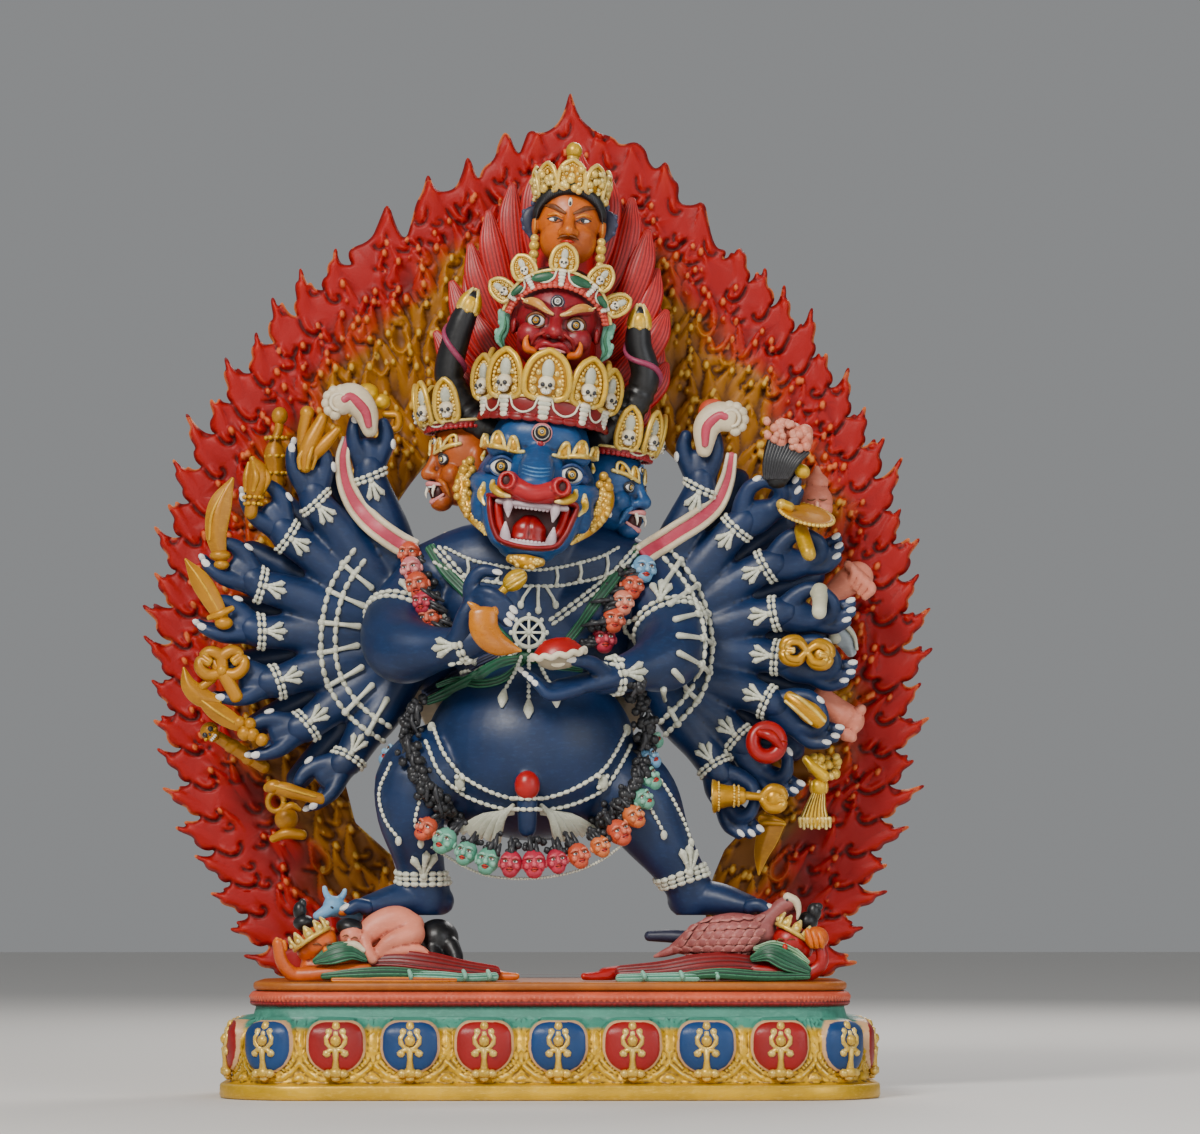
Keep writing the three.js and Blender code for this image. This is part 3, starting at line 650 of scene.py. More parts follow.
lobeShapes = [  # points of one lobe: up the edge as a share of the pitch, and out as a share of its length
    [(0.0, 0.0), (0.0, 0.26), (0.06, 0.46), (0.17, 0.54), (0.25, 0.47), (0.31, 0.56), (0.33, 0.8), (0.42, 0.96),
     (0.53, 0.93), (0.6, 0.97), (0.63, 1.14), (0.7, 1.3), (0.78, 1.3), (0.81, 1.14), (0.78, 0.92), (0.79, 0.64),
     (0.85, 0.34), (0.94, 0.1)],
    [(0.0, 0.0), (-0.03, 0.34), (0.05, 0.62), (0.18, 0.7), (0.28, 0.64), (0.36, 0.72), (0.41, 0.98), (0.46, 1.18),
     (0.55, 1.24), (0.61, 1.1), (0.6, 0.9), (0.66, 0.74), (0.76, 0.82), (0.83, 0.7), (0.84, 0.44), (0.92, 0.14)],
    [(0.0, 0.0), (0.02, 0.34), (0.12, 0.5), (0.2, 0.46), (0.24, 0.6), (0.27, 0.86), (0.36, 1.0), (0.46, 0.94),
     (0.52, 1.06), (0.58, 1.24), (0.66, 1.26), (0.7, 1.08), (0.68, 0.82), (0.74, 0.54), (0.78, 0.58), (0.86, 0.5),
     (0.9, 0.24), (0.96, 0.06)],
]


def lobeLength(i, side):
    return flames["lobe"] * (1, 0.78, 0.92, 0.68, 1.06)[i % 5] * (0.94 + 0.1 * math.sin(i * 2.7 + side))


def flameSide(side):
    points = []
    roots, pitch = flameRoots(side)
    for i, (z, rising) in enumerate(roots):
        half, middle = flameEdge(z, side)
        length = lobeLength(i, side)
        for share, out in lobeShapes[(i + (side > 0)) % 3]:
            reach = out * length - 3.5
            up = share * pitch + 0.62 * max(reach, 0)
            x = middle + side * (half + up * math.cos(rising) + reach * math.sin(rising))
            points.append((x, max(z + up * math.sin(rising) - reach * math.cos(rising), flames["foot"])))
    return [point for point in points if point[1] < flames["crestFrom"]]


crest = [(129, 648), (125, 656), (122, 670), (119, 686), (109, 681), (98, 684), (100, 698), (94, 703),
    (90, 718), (82, 709), (76, 715), (74, 725), (66, 732), (54, 728), (49, 735), (37, 738), (28, 744),
    (21, 753), (18, 762), (15, 772), (11, 756), (5, 744), (-6, 737), (-17, 741), (-21, 730), (-25, 719),
    (-34, 742), (-41, 730), (-43, 717), (-53, 711), (-56, 699), (-64, 724), (-69, 704), (-75, 693), (-89, 692),
    (-95, 709), (-99, 692), (-104, 684), (-108, 667), (-112, 654), (-119, 664), (-126, 686), (-133, 668),
    (-139, 654)]
crestTips = [(119, 680), (91, 712), (66, 726), (40, 740), (16, 764), (-14, 738), (-34, 735), (-64, 717),
    (-95, 702), (-126, 679)]


def flameOutline():
    outline = np.array(flameSide(1) + crest + flameSide(-1)[::-1], float)
    for _ in range(2):  # corners are rounded off
        outline = np.stack([outline * 0.75 + np.roll(outline, -1, axis=0) * 0.25,
            outline * 0.25 + np.roll(outline, -1, axis=0) * 0.75], axis=1).reshape(-1, 2)
    outline[:, 1] = np.maximum(outline[:, 1], flames["foot"])
    return keepApart(outline, 0.5)


def keepApart(outline, least):
    kept = [outline[0]]
    for point in outline[1:]:
        if np.linalg.norm(point - kept[-1]) > least:
            kept.append(point)
    return np.array(kept)


def archOutline():
    turn = np.linspace(0, np.pi, 60)
    arch = np.stack([2 + 168 * np.cos(turn), 268 + 262 * np.sin(turn)], axis=1)
    left = [(-150, 205), (-122, 180), (-116, 160), (-110, 140), (-124, flames["foot"])]
    right = [(130, flames["foot"]), (118, 140), (126, 165), (134, 184), (158, 210)]
    return np.vstack([arch, left, right])


def densely(outline, step, closed=True):
    ring = np.vstack([outline, outline[:1]]) if closed else outline
    way = np.concatenate([[0], np.cumsum(np.linalg.norm(np.diff(ring, axis=0), axis=1))])
    count = int(way[-1] / step)
    at = np.linspace(0, way[-1], count, endpoint=not closed)
    return np.stack([np.interp(at, way, ring[:, k]) for k in range(2)], axis=1)


def insideOf(points, outline):
    inside = np.zeros(len(points), bool)
    x, z = points.T
    ahead = np.roll(outline, -1, axis=0)
    for (x0, z0), (x1, z1) in zip(outline, ahead):
        if z0 == z1:
            continue
        crosses = (z0 > z) != (z1 > z)
        inside ^= crosses & (x < (x1 - x0) * (z - z0) / (z1 - z0) + x0)
    return inside


def nearestTo(points, outline):  # distance to a dense row of points
    tree = KDTree(len(outline))
    for i, point in enumerate(outline):
        tree.insert((*point, 0), i)
    tree.balance()
    return np.array([tree.find((x, z, 0))[2] for x, z in points])


def flameFlow(x, z):  # the way a flame leans: up, and outwards towards the sides
    aside = (x - 5) / flames["half"]
    low = max(0, (300 - z) / 300)
    high = min(max((z - 400) / 250, 0), 1)
    lean = (0.62 + 0.5 * low - 0.42 * high) * aside
    return unit(np.array([lean, 1.0]))


def carveTongue(points, height, highlightMask, place, along, length, width, rise, hook, knobs=(), flat=2.2):
    across = np.array([along[1], -along[0]])
    local = points - place
    q = local @ along
    p = local @ across
    near = np.where((q > -4) & (q < length + 5) & (np.abs(p) < width * 1.9 + 5))[0]
    if not len(near):
        return
    q, p = q[near], p[near]
    u = np.clip(q / length, 0, 1)
    middle = hook * width * (np.sin(u * 3.4) * 0.35 - 0.5 * u ** 2)
    half = width * (0.55 + 0.65 * np.sin(np.pi * np.minimum(u * 0.9 + 0.12, 1))) * (1 - u ** 3) ** 0.7 + 0.3
    side = np.abs(p - middle) / half
    body = rise * (0.1 + 0.9 * u) * np.clip(1 - side ** flat, 0, 1) ** 0.6
    body = np.where((q < 0) | (q > length), 0, body)
    tipX = hook * width * (math.sin(3.4) * 0.35 - 0.5)
    for share, aside, size in knobs:
        kx, kq = (tipX - hook * 1.6, length - 1) if share == 1 else (aside * width, length * share)
        stretched = np.hypot((p - kx), (q - kq) * 0.62) / size
        knob = np.sqrt(np.clip(1 - stretched ** 2, 0, 1))
        body = np.maximum(body, (rise * share + 1.4) * knob)
        # the knob tips carry a painted highlight
        highlightMask[near] = np.maximum(highlightMask[near], knob ** 2 * share)
    height[near] = np.maximum(height[near], body)


def carveBowl(points, height, place, along, wide, long, rise, depth):  # a scooped drop with a raised rim
    across = np.array([along[1], -along[0]])
    local = points - place
    q = local @ along
    p = local @ across
    near = np.where((np.abs(q) < long * 2.2) & (np.abs(p) < wide * 2.2))[0]
    if not len(near):
        return
    q, p = q[near] / long, p[near] / wide
    away = np.hypot(p * (1 + 0.3 * np.clip(q, 0, 2)), np.where(q > 0, q * 0.62, q))
    rim = rise * np.exp(-((away - 1.12) / 0.19) ** 2) * (1 - 0.45 * np.clip(q, 0, 1))
    scoop = rise - depth * np.sqrt(np.clip(1 - (away / 1.04) ** 2.0, 0, 1))
    lifted = np.maximum(height[near], rim + 0.25 * np.minimum(height[near], rise))
    height[near] = np.where(away < 1.02, np.minimum(scoop, rise), lifted)


def curl(start, heading, length, turning):  # a line that bends more and more towards its end
    steps = 18
    line = [start]
    for i in range(steps):
        heading += math.radians(turning) * (i / steps) ** 1.4 * 2.4 / steps
        line.append(line[-1] + np.array([math.cos(heading), math.sin(heading)]) * length / steps)
    return np.array(line)


def carveCurl(points, height, line, hand, depth, ridge):  # a groove with a ridge on its inner side
    near = np.where(np.all((points > line.min(axis=0) - 8) & (points < line.max(axis=0) + 8), axis=1))[0]
    if not len(near):
        return
    local = points[near][:, None] - line[None]
    away = np.hypot(local[..., 0], local[..., 1])
    at = away.argmin(axis=1)
    rows = np.arange(len(near))
    course = np.gradient(line, axis=0)
    course /= np.linalg.norm(course, axis=1, keepdims=True)
    inner = hand * (local[rows, at, 1] * course[at, 0] - local[rows, at, 0] * course[at, 1])
    away = away[rows, at]
    share = at / (len(line) - 1)
    strength = np.clip(share * 5 + 0.25, 0, 1)
    groove = depth * np.exp(-(away / 1.7) ** 2)
    swell = ridge * np.exp(-((away - 3.6) / 1.9) ** 2) * np.clip(inner / 2 + 0.5, 0,
        1) * np.sin(np.pi * share ** 0.8)
    height[near] += strength * (swell - groove)


def flameLobes():  # the tip of each lobe of the edge, the way it points, and the hollow where it begins
    lobes = []
    for side in (-1, 1):
        roots, pitch = flameRoots(side)
        for i, (z, rising) in enumerate(roots):
            if z > flames["crestFrom"] - 14:
                break
            half, middle = flameEdge(z, side)
            tangent = np.array([side * math.cos(rising), math.sin(rising)])
            normal = np.array([side * math.sin(rising), -math.cos(rising)])
            length = lobeLength(i, side)
            root = np.array([middle + side * half, z])
            tip = root + tangent * pitch * 0.66 + (tangent * 0.6 + normal) * length * 1.1
            lobes.append((tip, unit(0.62 * normal + 0.8 * tangent), side, root - normal * 4))
    for x, z in crestTips:
        side = 1 if x > 16 else -1
        lobes.append((np.array([x, z], float), unit(np.array([side * 0.12, 1.0])), side,
            np.array([x - side * 14.0, z - 22.0])))
    return lobes


bowls = [(-116, 577, 6.2), (-131, 558, 5.2), (120, 590, 6.0), (137, 566, 5.2), (150, 520, 4.8),
    (-152, 528, 5.0), (-176, 176, 6.0), (176, 170, 6.0), (-150, 130, 5.4), (158, 128, 5.4)]


def carveFlames(points, fromEdge, inside):
    dice = np.random.default_rng(flames["seed"])
    height = 0.4 + 0.4 * np.sin(points[:, 0] * 0.11 + 2 * np.sin(points[:, 1] * 0.05)) * np.sin(points[:, 1]
        * 0.09)
    height += 2.0 * (1 - np.clip((inside - 22) / 26, 0, 1))
    # where a painted highlight lies: knob tips and the outer rim
    highlightMask = np.zeros(len(points))
    spots = []
    z = 92.0
    row = 0
    while z < 728:
        right, left = flameEdge(z, 1)[0], flameEdge(z, -1)[0]
        middle = flameEdge(z, 1)[1]
        x = -left + (row % 2) * 6
        while x < right:
            spots.append((middle + x + dice.normal(0, 1.5), z + dice.normal(0, 3.0)))
            x += 12.5
        z += 16
        row += 1
    spots = np.array(spots)
    depth = nearestTo(spots, flameEnvelopeRow()) * np.where(insideEnvelope(spots), 1, -1)
    for place, deep in zip(spots, depth):
        if deep < 24 or (place[1] < 280 and dice.random() < 0.5):
            continue
        along = flameFlow(*place)
        hand = 1 if dice.random() < 0.5 else -1
        tall = 26 + 14 * dice.random()
        size = 2.1 + 0.8 * dice.random()
        knobs = [(1, 0, size)] + ([(0.62, -0.9 * hand, size * 0.75)] if dice.random() < 0.35 else [])
        carveTongue(points, height, highlightMask, place - along * 18, along, tall, 3.9 + 1.3 * dice.random(),
            5.2 + 1.2 * dice.random(), hand * (0.9 + 0.6 * dice.random()), knobs)
    lobes = flameLobes()
    for k, (tip, along, side, hollow) in enumerate(lobes):
        carveTongue(points, height, highlightMask, tip - along * 60, along, 60, 11.6 + 1.6 * math.sin(k * 1.9),
            6.0 + 0.8 * math.sin(k * 2.9), side * 0.55, flat=3.6)
    for x, z, wide in bowls:
        carveBowl(points, height, np.array([x, z], float), flameFlow(x, z), wide, wide * 1.5, 5.6, 5.4)
    for k, (tip, along, side, hollow) in enumerate(lobes):
        heading = math.atan2(-along[1] - 0.35, -along[0] + side * -0.55)
        line = curl(hollow, heading, 27 + 6 * math.sin(k * 2.3), -side * (190 + 30 * math.sin(k * 1.3)))
        carveCurl(points, height, line, -side, 3.2, 2.2)
        start = tip - along * (20 + 4 * math.sin(k)) + np.array([side * 3.0, 0])
        carveCurl(points, height, curl(start, math.atan2(-along[1], -along[0]), 22, side * 170), side, 2.4, 1.8)
    for place, deep in zip(spots[::2], depth[::2]):  # small crescents all over the outer part
        place = place + dice.normal(0, 2.0, 2)
        length = 15 + 9 * dice.random()
        if 12 < deep < 62 or (deep > 12 and place[1] < 300):
            side = 1 if place[0] > 5 else -1
            heading = math.radians(-90 - side * (20 + 60 * dice.random()))
            carveCurl(points, height, curl(place, heading, length, -side * (150 + 90 * dice.random())), -side,
                2.2, 1.9)
    # spots of painted highlight along the rounded outer rim
    edge = np.clip(fromEdge / 3.4, 0, 1)
    highlightMask = np.maximum(highlightMask, 0.8 * (1 - edge) * (np.sin(points[:, 0] * 0.21)
        * np.sin(points[:, 1] * 0.17) > 0.1))
    return height * (0.35 + 0.65 * edge ** 0.7) - 2.2 * (1 - edge) ** 2, highlightMask


def flameEnvelopeRow():
    heights = np.linspace(flames["foot"], 734, 260)
    rows = []
    for side in (1, -1):
        halves = np.array([flameEdge(z, side) for z in heights])
        rows.append(np.stack([halves[:, 1] + side * halves[:, 0], heights], axis=1))
    return densely(np.vstack([rows[0], rows[1][::-1]]), 4.0, closed=False)


def insideEnvelope(points):
    halves = np.array([flameEdge(min(max(z, 87), 735), 1 if x > 16 else -1) for x, z in points])
    return np.abs(points[:, 0] - halves[:, 1]) < halves[:, 0]


def fillSheet(outer, inner, grain):  # an even net of triangles between two outlines
    low = outer.min(axis=0)
    high = outer.max(axis=0)
    rows = np.arange(low[1], high[1], grain * 0.866)
    net = np.concatenate([np.stack([np.arange(low[0] + (k % 2) * grain / 2, high[0], grain),
        np.full(len(np.arange(low[0] + (k % 2) * grain / 2, high[0], grain)), z)], axis=1) for k,
        z in enumerate(rows)])
    net = net[insideOf(net, outer) & ~insideOf(net, inner)]
    rim = np.vstack([outer, inner])
    net = net[nearestTo(net, rim) > grain * 0.55]
    points = np.vstack([rim, net])
    count = len(outer)
    edges = [(i, (i + 1) % count) for i in range(count)]
    edges += [(count + i, count + (i + 1) % len(inner)) for i in range(len(inner))]
    made = geometry.delaunay_2d_cdt([Vector(p) for p in points], edges, [], 0, 1e-5)
    verts = np.array([tuple(v) for v in made[0]])
    tris = np.array([t for t in made[2] if len(t) == 3])
    middle = verts[tris].mean(axis=1)
    return verts, tris[insideOf(middle, outer) & ~insideOf(middle, inner)]


def makeFlames():
    outer = densely(flameOutline(), 1.5)
    inner = densely(archOutline(), 2.4)
    points, tris = fillSheet(outer, inner, flames["grain"])
    rim = np.vstack([outer, inner])
    fromEdge = nearestTo(points, rim)
    depth = nearestTo(points, flameEnvelopeRow()) * np.where(insideEnvelope(points), 1, -1)
    height, highlightMask = carveFlames(points, fromEdge, depth)
    front = np.stack([points[:, 0], flames["front"] - height, points[:, 1]], axis=1)
    side = tris[:, [0, 1, 2]]
    a, b, c = (points[tris[:, k]] for k in range(3))
    turning = (b[:, 0] - a[:, 0]) * (c[:, 1] - a[:, 1]) - (b[:, 1] - a[:, 1]) * (c[:, 0] - a[:, 0])
    side = np.where((turning > 0)[:, None], tris, tris[:, ::-1])
    form = Form()
    form.add(front, side, "flame")
    rag = 13 * np.sin(points[:, 0] * 0.045 + 1.3) * np.sin(points[:, 1] * 0.038) + 7 * np.sin(points[:, 1]
        * 0.13)
    lowered = 24 * np.clip((260 - points[:, 1]) / 160, 0, 1)
    blaze = 1 - np.clip((depth + rag - 24 - lowered) / 40, 0, 1)
    # the carved height and the highlight mask drive the painted light and shade of the flame paint
    finishPiece("flame_carving", form, ["flame_aureole"], materials={"flame": makeFlamePaint()},
        values={"blaze": blaze, "rise": height, "highlightMask": highlightMask}, share=0.6)
    back = Form()
    sheet, backTris = fillSheet(densely(flameOutline(), 3.0), densely(archOutline(), 4.0), 6.0)
    shallow = 0.8 * np.sin(sheet[:, 0] * 0.09) * np.sin(sheet[:, 1] * 0.07)
    outerCount = len(densely(flameOutline(), 3.0))
    innerCount = len(densely(archOutline(), 4.0))
    shallow[:outerCount + innerCount] = 0
    rear = np.stack([sheet[:, 0], flames["back"] - 1.5 + shallow, sheet[:, 1]], axis=1)
    a, b, c = (sheet[backTris[:, k]] for k in range(3))
    turning = (b[:, 0] - a[:, 0]) * (c[:, 1] - a[:, 1]) - (b[:, 1] - a[:, 1]) * (c[:, 0] - a[:, 0])
    back.add(rear, np.where((turning > 0)[:, None], backTris[:, ::-1], backTris), "flame")
    for ring, outer in ((densely(flameOutline(), 1.5), True), (densely(archOutline(), 2.4), False)):
        count = len(ring)
        edgeDrop = flames["front"] + 2.2
        walls = [np.stack([ring[:, 0], np.full(count, y), ring[:, 1]], axis=1)
            for y in (edgeDrop, edgeDrop + 2.5, flames["back"] - 1.5)]
        i = np.arange(count)
        k = (i + 1) % count
        area = np.sum(ring[:, 0] * np.roll(ring[:, 1], -1) - np.roll(ring[:, 0], -1) * ring[:, 1])
        faces = np.concatenate([np.stack([r * count + i, (r + 1) * count + i, (r + 1) * count + k,
            r * count + k], axis=1) for r in range(2)])
        back.add(np.vstack(walls), faces if (area > 0) == outer else faces[:, ::-1], "flame")
    points = back.vertices()
    finishPiece("flame_back", back, [], materials={"flame": makeFlamePaint()},
        values={"blaze": np.ones(len(points)), "rise": np.zeros(len(points)), "highlightMask": np.zeros(len(points))})


flamePaints = []


def makeFlamePaint():
    if flamePaints:
        return flamePaints[0]
    finish = Finish("flame")
    where = finish.place()
    blaze = finish.stored("blaze")
    bend = finish.stored("bend")
    rise = finish.stored("rise")
    highlightMask = finish.stored("highlightMask")
    fine = finish.noise(where, 380, 4, 0.6)
    broad = finish.noise(where, 22, 4)
    hot = (blaze + 0.26 * (broad - 0.5)).clamped()
    body = finish.mix(hot.ramp(0.02, 0.42), tint("#98640c"), tint("#a43c06"))
    body = finish.mix(hot.ramp(0.42, 0.85), body, tint("#9a1a02"))
    # the next three are colours for painted shade, painted highlight and the brightest painted highlight, gold or
    # red by zone
    low = finish.mix(hot.ramp(0.0, 0.8), tint("#40200a"), tint("#3c0402"))
    high = finish.mix(hot.ramp(0.1, 0.8), tint("#c88e1a"), tint("#be400a"))
    paintedHighlight = finish.mix(hot.ramp(0.05, 0.7), tint("#e4c06c"), tint("#e08a5c"))
    # painted light and shade: raised carving lighter, low ground and hollows darker, edges and knob tips a painted
    # highlight
    hollow = 1 - (bend + 0.03 * rise + 0.12 * fine).ramp(-0.22, 0.12)
    edge = (bend + 0.08 * fine).ramp(0.12, 0.46)
    colour = finish.mix((rise / 8.0).ramp(0.45, 1.0) * 0.5, body, high)
    colour = finish.mix((1 - (rise / 8.0).ramp(0.02, 0.36)) * 0.55, colour, low)
    colour = finish.mix((hollow * 0.9).clamped(), colour, low)
    colour = finish.mix((edge * 0.55).clamped(), colour, high)
    colour = finish.mix(((highlightMask + 0.5 * (fine - 0.5)).ramp(0.25, 0.8) * 0.62).clamped(), colour, paintedHighlight)
    colour = finish.mix(((bend + 0.05 * fine).ramp(0.4, 0.85) * 0.5).clamped(), colour, paintedHighlight)
    finish.put("Base Color", colour)
    finish.put("Specular IOR Level", 0.28)
    finish.put("Roughness", (0.42 + 0.18 * fine + 0.1 * hollow).clamped())
    finish.relief(0.25, 0.0007, fine)
    flamePaints.append(finish.material)
    return finish.material


makeFlames()


# Plinth: its profile is swept round a rounded rectangle, and petals and bands are raised from it

plinth = {"width": 490, "depth": 236, "corner": 66, "petals": 24, "shift": 6, "inset": 6, "grain": 1.9,
    "petalHalf": 21.5, "petalMiddle": 39.0, "petalReach": 19.5}


def plinthPlace(way, inset):  # a point of the rounded rectangle, and its outward way
    way = np.asarray(way, float)
    corner = plinth["corner"] - plinth["inset"]
    flatX = plinth["width"] - 2 * plinth["corner"]
    flatY = plinth["depth"] - 2 * plinth["corner"]
    arc = corner * np.pi / 2
    lengths = [flatX, arc, flatY, arc, flatX, arc, flatY, arc]
    total = sum(lengths)
    rest = np.mod(way, total)
    x = np.full(way.shape, -flatX / 2)
    y = np.full(way.shape, -flatY / 2)
    heading = np.zeros(way.shape)
    for k, length in enumerate(lengths):
        part = np.clip(rest, 0, length)
        if k % 2:
            heading = heading + part / corner
        else:
            x = x + part * np.cos(heading)
            y = y + part * np.sin(heading)
        rest = rest - part
    out = heading - np.pi / 2
    reach = plinth["corner"] - np.asarray(inset, float)
    return x + reach * np.cos(out), y + reach * np.sin(out), out


def plinthAround():
    corner = plinth["corner"] - plinth["inset"]
    return 2 * (plinth["width"] + plinth["depth"] - 4 * plinth["corner"]) + 2 * np.pi * corner


def smoothStep(low, high, value):
    u = np.clip((value - low) / (high - low), 0, 1)
    return u * u * (3 - 2 * u)


def makePlinth():
    def painted(paint, *rows):  # heights and insets, with the paint up to the next point
        return [(z, inset, paint) for z, inset in rows]

    profile = painted("paleGold", (0, 7), (0, 2), (0.8, 0.5), (3, 0), (6, 0.1), (9.2, 0.2), (10.6, 0.9),
        (11, 2.5), (11.2, 5.5), (11.8, 7.8))
    rise = np.linspace(13, 58, 27)
    ground = np.interp(rise, [13, 20, 32, 44, 52, 56, 58], [9.5, 11.5, 12.0, 14.5, 18.5, 22.5, 24.0])
    profile += painted("ground", *zip(rise, ground))
    profile += painted("teal", (60, 24.6), (62, 25.2), (64.5, 26), (66.5, 26.6))
    profile += painted("crimson", (68, 26.9), (68.4, 24.5), (69.2, 23.1), (70.4, 22.6))
    profile += painted("rim", (71.4, 22.8), (72.4, 22.6), (73.5, 22.4), (74.6, 22.3), (75.7, 22.4),
        (76.8, 22.8), (77.8, 23.5), (78.4, 24.6))
    profile += painted("brown", (78.8, 27.2), (79.4, 27.4), (79.9, 25.6), (81, 24.9), (82.6, 24.7),
        (84.2, 24.9), (85.4, 25.9), (85.8, 27.4), (85.9, 31), (85.9, 48), (85.9, 59))
    around = plinthAround()
    columns = int(around / plinth["grain"])
    way = np.arange(columns) * around / columns
    pitch = around / plinth["petals"]
    flatX = plinth["width"] - 2 * plinth["corner"]
    first = flatX / 2 + plinth["shift"]
    place = (way - first) / pitch
    petal = np.round(place).astype(int)
    aside = (place - petal) * pitch
    heights = np.array([row[0] for row in profile])
    insets = np.array([row[1] for row in profile])
    dice = np.random.default_rng(5)
    rows = []
    flats = []
    reaches = []
    for z, inset, paint in profile:
        u = aside
        out = np.zeros(columns)
        flat = np.zeros(columns)
        reach = np.full(columns, 2.0)
        if paint == "ground":
            narrow = 1 - 0.22 * np.clip((38 - z) / 20, 0, 1) ** 1.5 - 0.06 * np.clip((z - 44) / 14, 0, 1) ** 2
            across = np.abs(u) / (plinth["petalHalf"] * narrow)
            along = abs(z - plinth["petalMiddle"]) / plinth["petalReach"]
            power = 3.6 if z > plinth["petalMiddle"] else 2.7
            reach = (across ** power + along ** power) ** (1 / power)
            flat = (inset - 8.5) * (1 - smoothStep(0.97, 1.07, reach))  # petals stand out evenly
            dome = 4.6 * np.sqrt(np.clip(1 - np.clip(reach, 0, 1) ** 2.6, 0, 1))
            curl = 3.2 * smoothStep(46, 58, z) ** 2
            flat = flat + np.where(reach < 1.05, dome - curl, 0)
            for size, lift in ((1.19, 2.2), (1.42, 1.8)):
                bandX = np.abs(u) / (plinth["petalHalf"] * size * (1 - 0.22 * np.clip((34 - z) / 22, 0,
                    1) ** 1.3))
                bandZ = max(0, 40 - z) / (plinth["petalReach"] * size * 0.97)
                band = (bandX ** 2.4 + bandZ ** 2.4) ** (1 / 2.4)
                fade = 1 - smoothStep(44, 54, z) * 0.6
                out = np.maximum(out, fade * lift * np.exp(-((band - 1) / 0.055) ** 2)
                    + (band < 1) * 0.9 * fade)
            knob = np.hypot((np.abs(u) - pitch / 2) / 5.0, (z - 15.5) / 3.6)
            out = np.maximum(out, 3.4 * np.sqrt(np.clip(1 - knob ** 2, 0, 1)))
            folds = 1.1 * np.cos((np.abs(u) - pitch / 2) * 1.25) * smoothStep(26, 34,
                z) * (1 - smoothStep(48, 51, z))
            out = out + np.where(reach > 1.06, dice.normal(0, 0.24, columns) + folds, 0)
            out = np.where(reach < 1.05, 0, out)
        if paint == "rim":
            bead = np.abs(np.sin(np.pi * way / 3.6)) ** 0.6
            out = out + 0.9 * bead * np.exp(-((z - 74.6) / 1.5) ** 2) + 0.35 * np.sin(way * 1.3) * (z < 73)
        if paint == "crimson":
            out = out + 0.5 * np.abs(np.sin(np.pi * way / 4.4))
        rows.append(out)
        flats.append(flat)
        reaches.append(reach)
    out = np.array(rows)
    tangentZ = np.gradient(heights)
    tangentIn = np.gradient(insets)
    size = np.maximum(np.hypot(tangentZ, tangentIn), 1e-6)
    outIn = -tangentZ / size  # outwards is a smaller inset
    outZ = tangentIn / size
    grid = []
    for r in range(len(profile)):
        x, y, _ = plinthPlace(way, insets[r] - flats[r] + outIn[r] * out[r])
        grid.append(np.stack([x, y, heights[r] + outZ[r] * out[r]], axis=1))
    points = np.concatenate(grid)
    form = Form()
    form.points.append(points)
    form.count = len(points)
    i = np.arange(columns)
    k = (i + 1) % columns
    for r in range(len(profile) - 1):
        form.faces.append(np.stack([r * columns + i, r * columns + k, (r + 1) * columns + k,
            (r + 1) * columns + i], axis=1))
        form.paints.append({"rim": "salmon"}.get(profile[r][2], profile[r][2]))
    last = (len(profile) - 1) * columns
    form.points.append(np.array([[0, 0, 85.9], [0, 0, 0.0]]))
    form.faces.append(np.stack([last + i, last + k, np.full(columns, form.count)], axis=1))
    form.paints.append("brown")
    form.faces.append(np.stack([k, i, np.full(columns, form.count + 1)], axis=1))
    form.paints.append("paleGold")
    form.count += 2
    caps = [2.0, 2.0]
    reachAll = np.concatenate(reaches + [caps])
    parity = np.concatenate([petal % 2] * len(profile) + [[0, 0]]).astype(float)
    band = np.concatenate([np.full(columns, z) for z in heights] + [[0, 0]])
    finishPiece("plinth_carving", form, ["plinth"], softening=0,
        materials={"ground": makePetalPaint()}, values={"petal": reachAll, "parity": parity,
        "band": smoothStep(50, 53, band)})
    trims = Form()
    for number in range(plinth["petals"]):
        addPetalTrim(trims, first + number * pitch)
    finishPiece("plinth_trims", trims, [])


def makePetalPaint():  # red and blue petals with a pale outline on the gold ground, teal above it
    finish = Finish("petals")
    where = finish.place()
    fine = finish.noise(where, 420, 4, 0.6)
    broad = finish.noise(where, 28, 4)
    petal = finish.stored("petal") + 0.02 * (fine - 0.5)
    parity = finish.stored("parity")
    band = finish.stored("band")
    bend = finish.stored("bend")
    shade = finish.stored("shade")
    outside = petal.ramp(0.92, 0.95)
    beyond = petal.ramp(1.0, 1.03)

    def layer(kind):
        inner = finish.mix(parity, tint(paints["petalBlue"][kind]), tint(paints["petalRed"][kind]))
        outer = finish.mix(band, tint(paints["paleGold"][kind]), tint(paints["teal"][kind]))
        return finish.mix(outside, inner, finish.mix(beyond, tint(paints["petalEdge"][kind]), outer))

    colour = layer(0)
    dark = layer(1)
    light = layer(2)
    colour = finish.mix(broad.ramp(0.38, 0.66) * 0.3, colour, dark)
    # painted shade in hollows and between shapes, and a painted highlight on sharp edges
    closed = (shade + 0.2 * fine).ramp(0.3, 0.8)
    hollow = 1 - (bend + 0.16 * fine).ramp(-0.26, 0.04)
    colour = finish.mix((hollow * 0.85).clamped(), colour, dark)
    colour = finish.mix((closed * 0.6).clamped(), colour, dark)
    colour = finish.mix(((bend + 0.1 * fine).ramp(0.14, 0.62) * 0.6).clamped(), colour, light)
    finish.put("Base Color", colour)
    finish.put("Metallic", (beyond * (1 - band) * 0.35).clamped())
    finish.put("Roughness", (0.32 + 0.16 * fine + 0.08 * hollow).clamped())
    finish.relief(0.3, 0.0006, fine)
    return finish.material


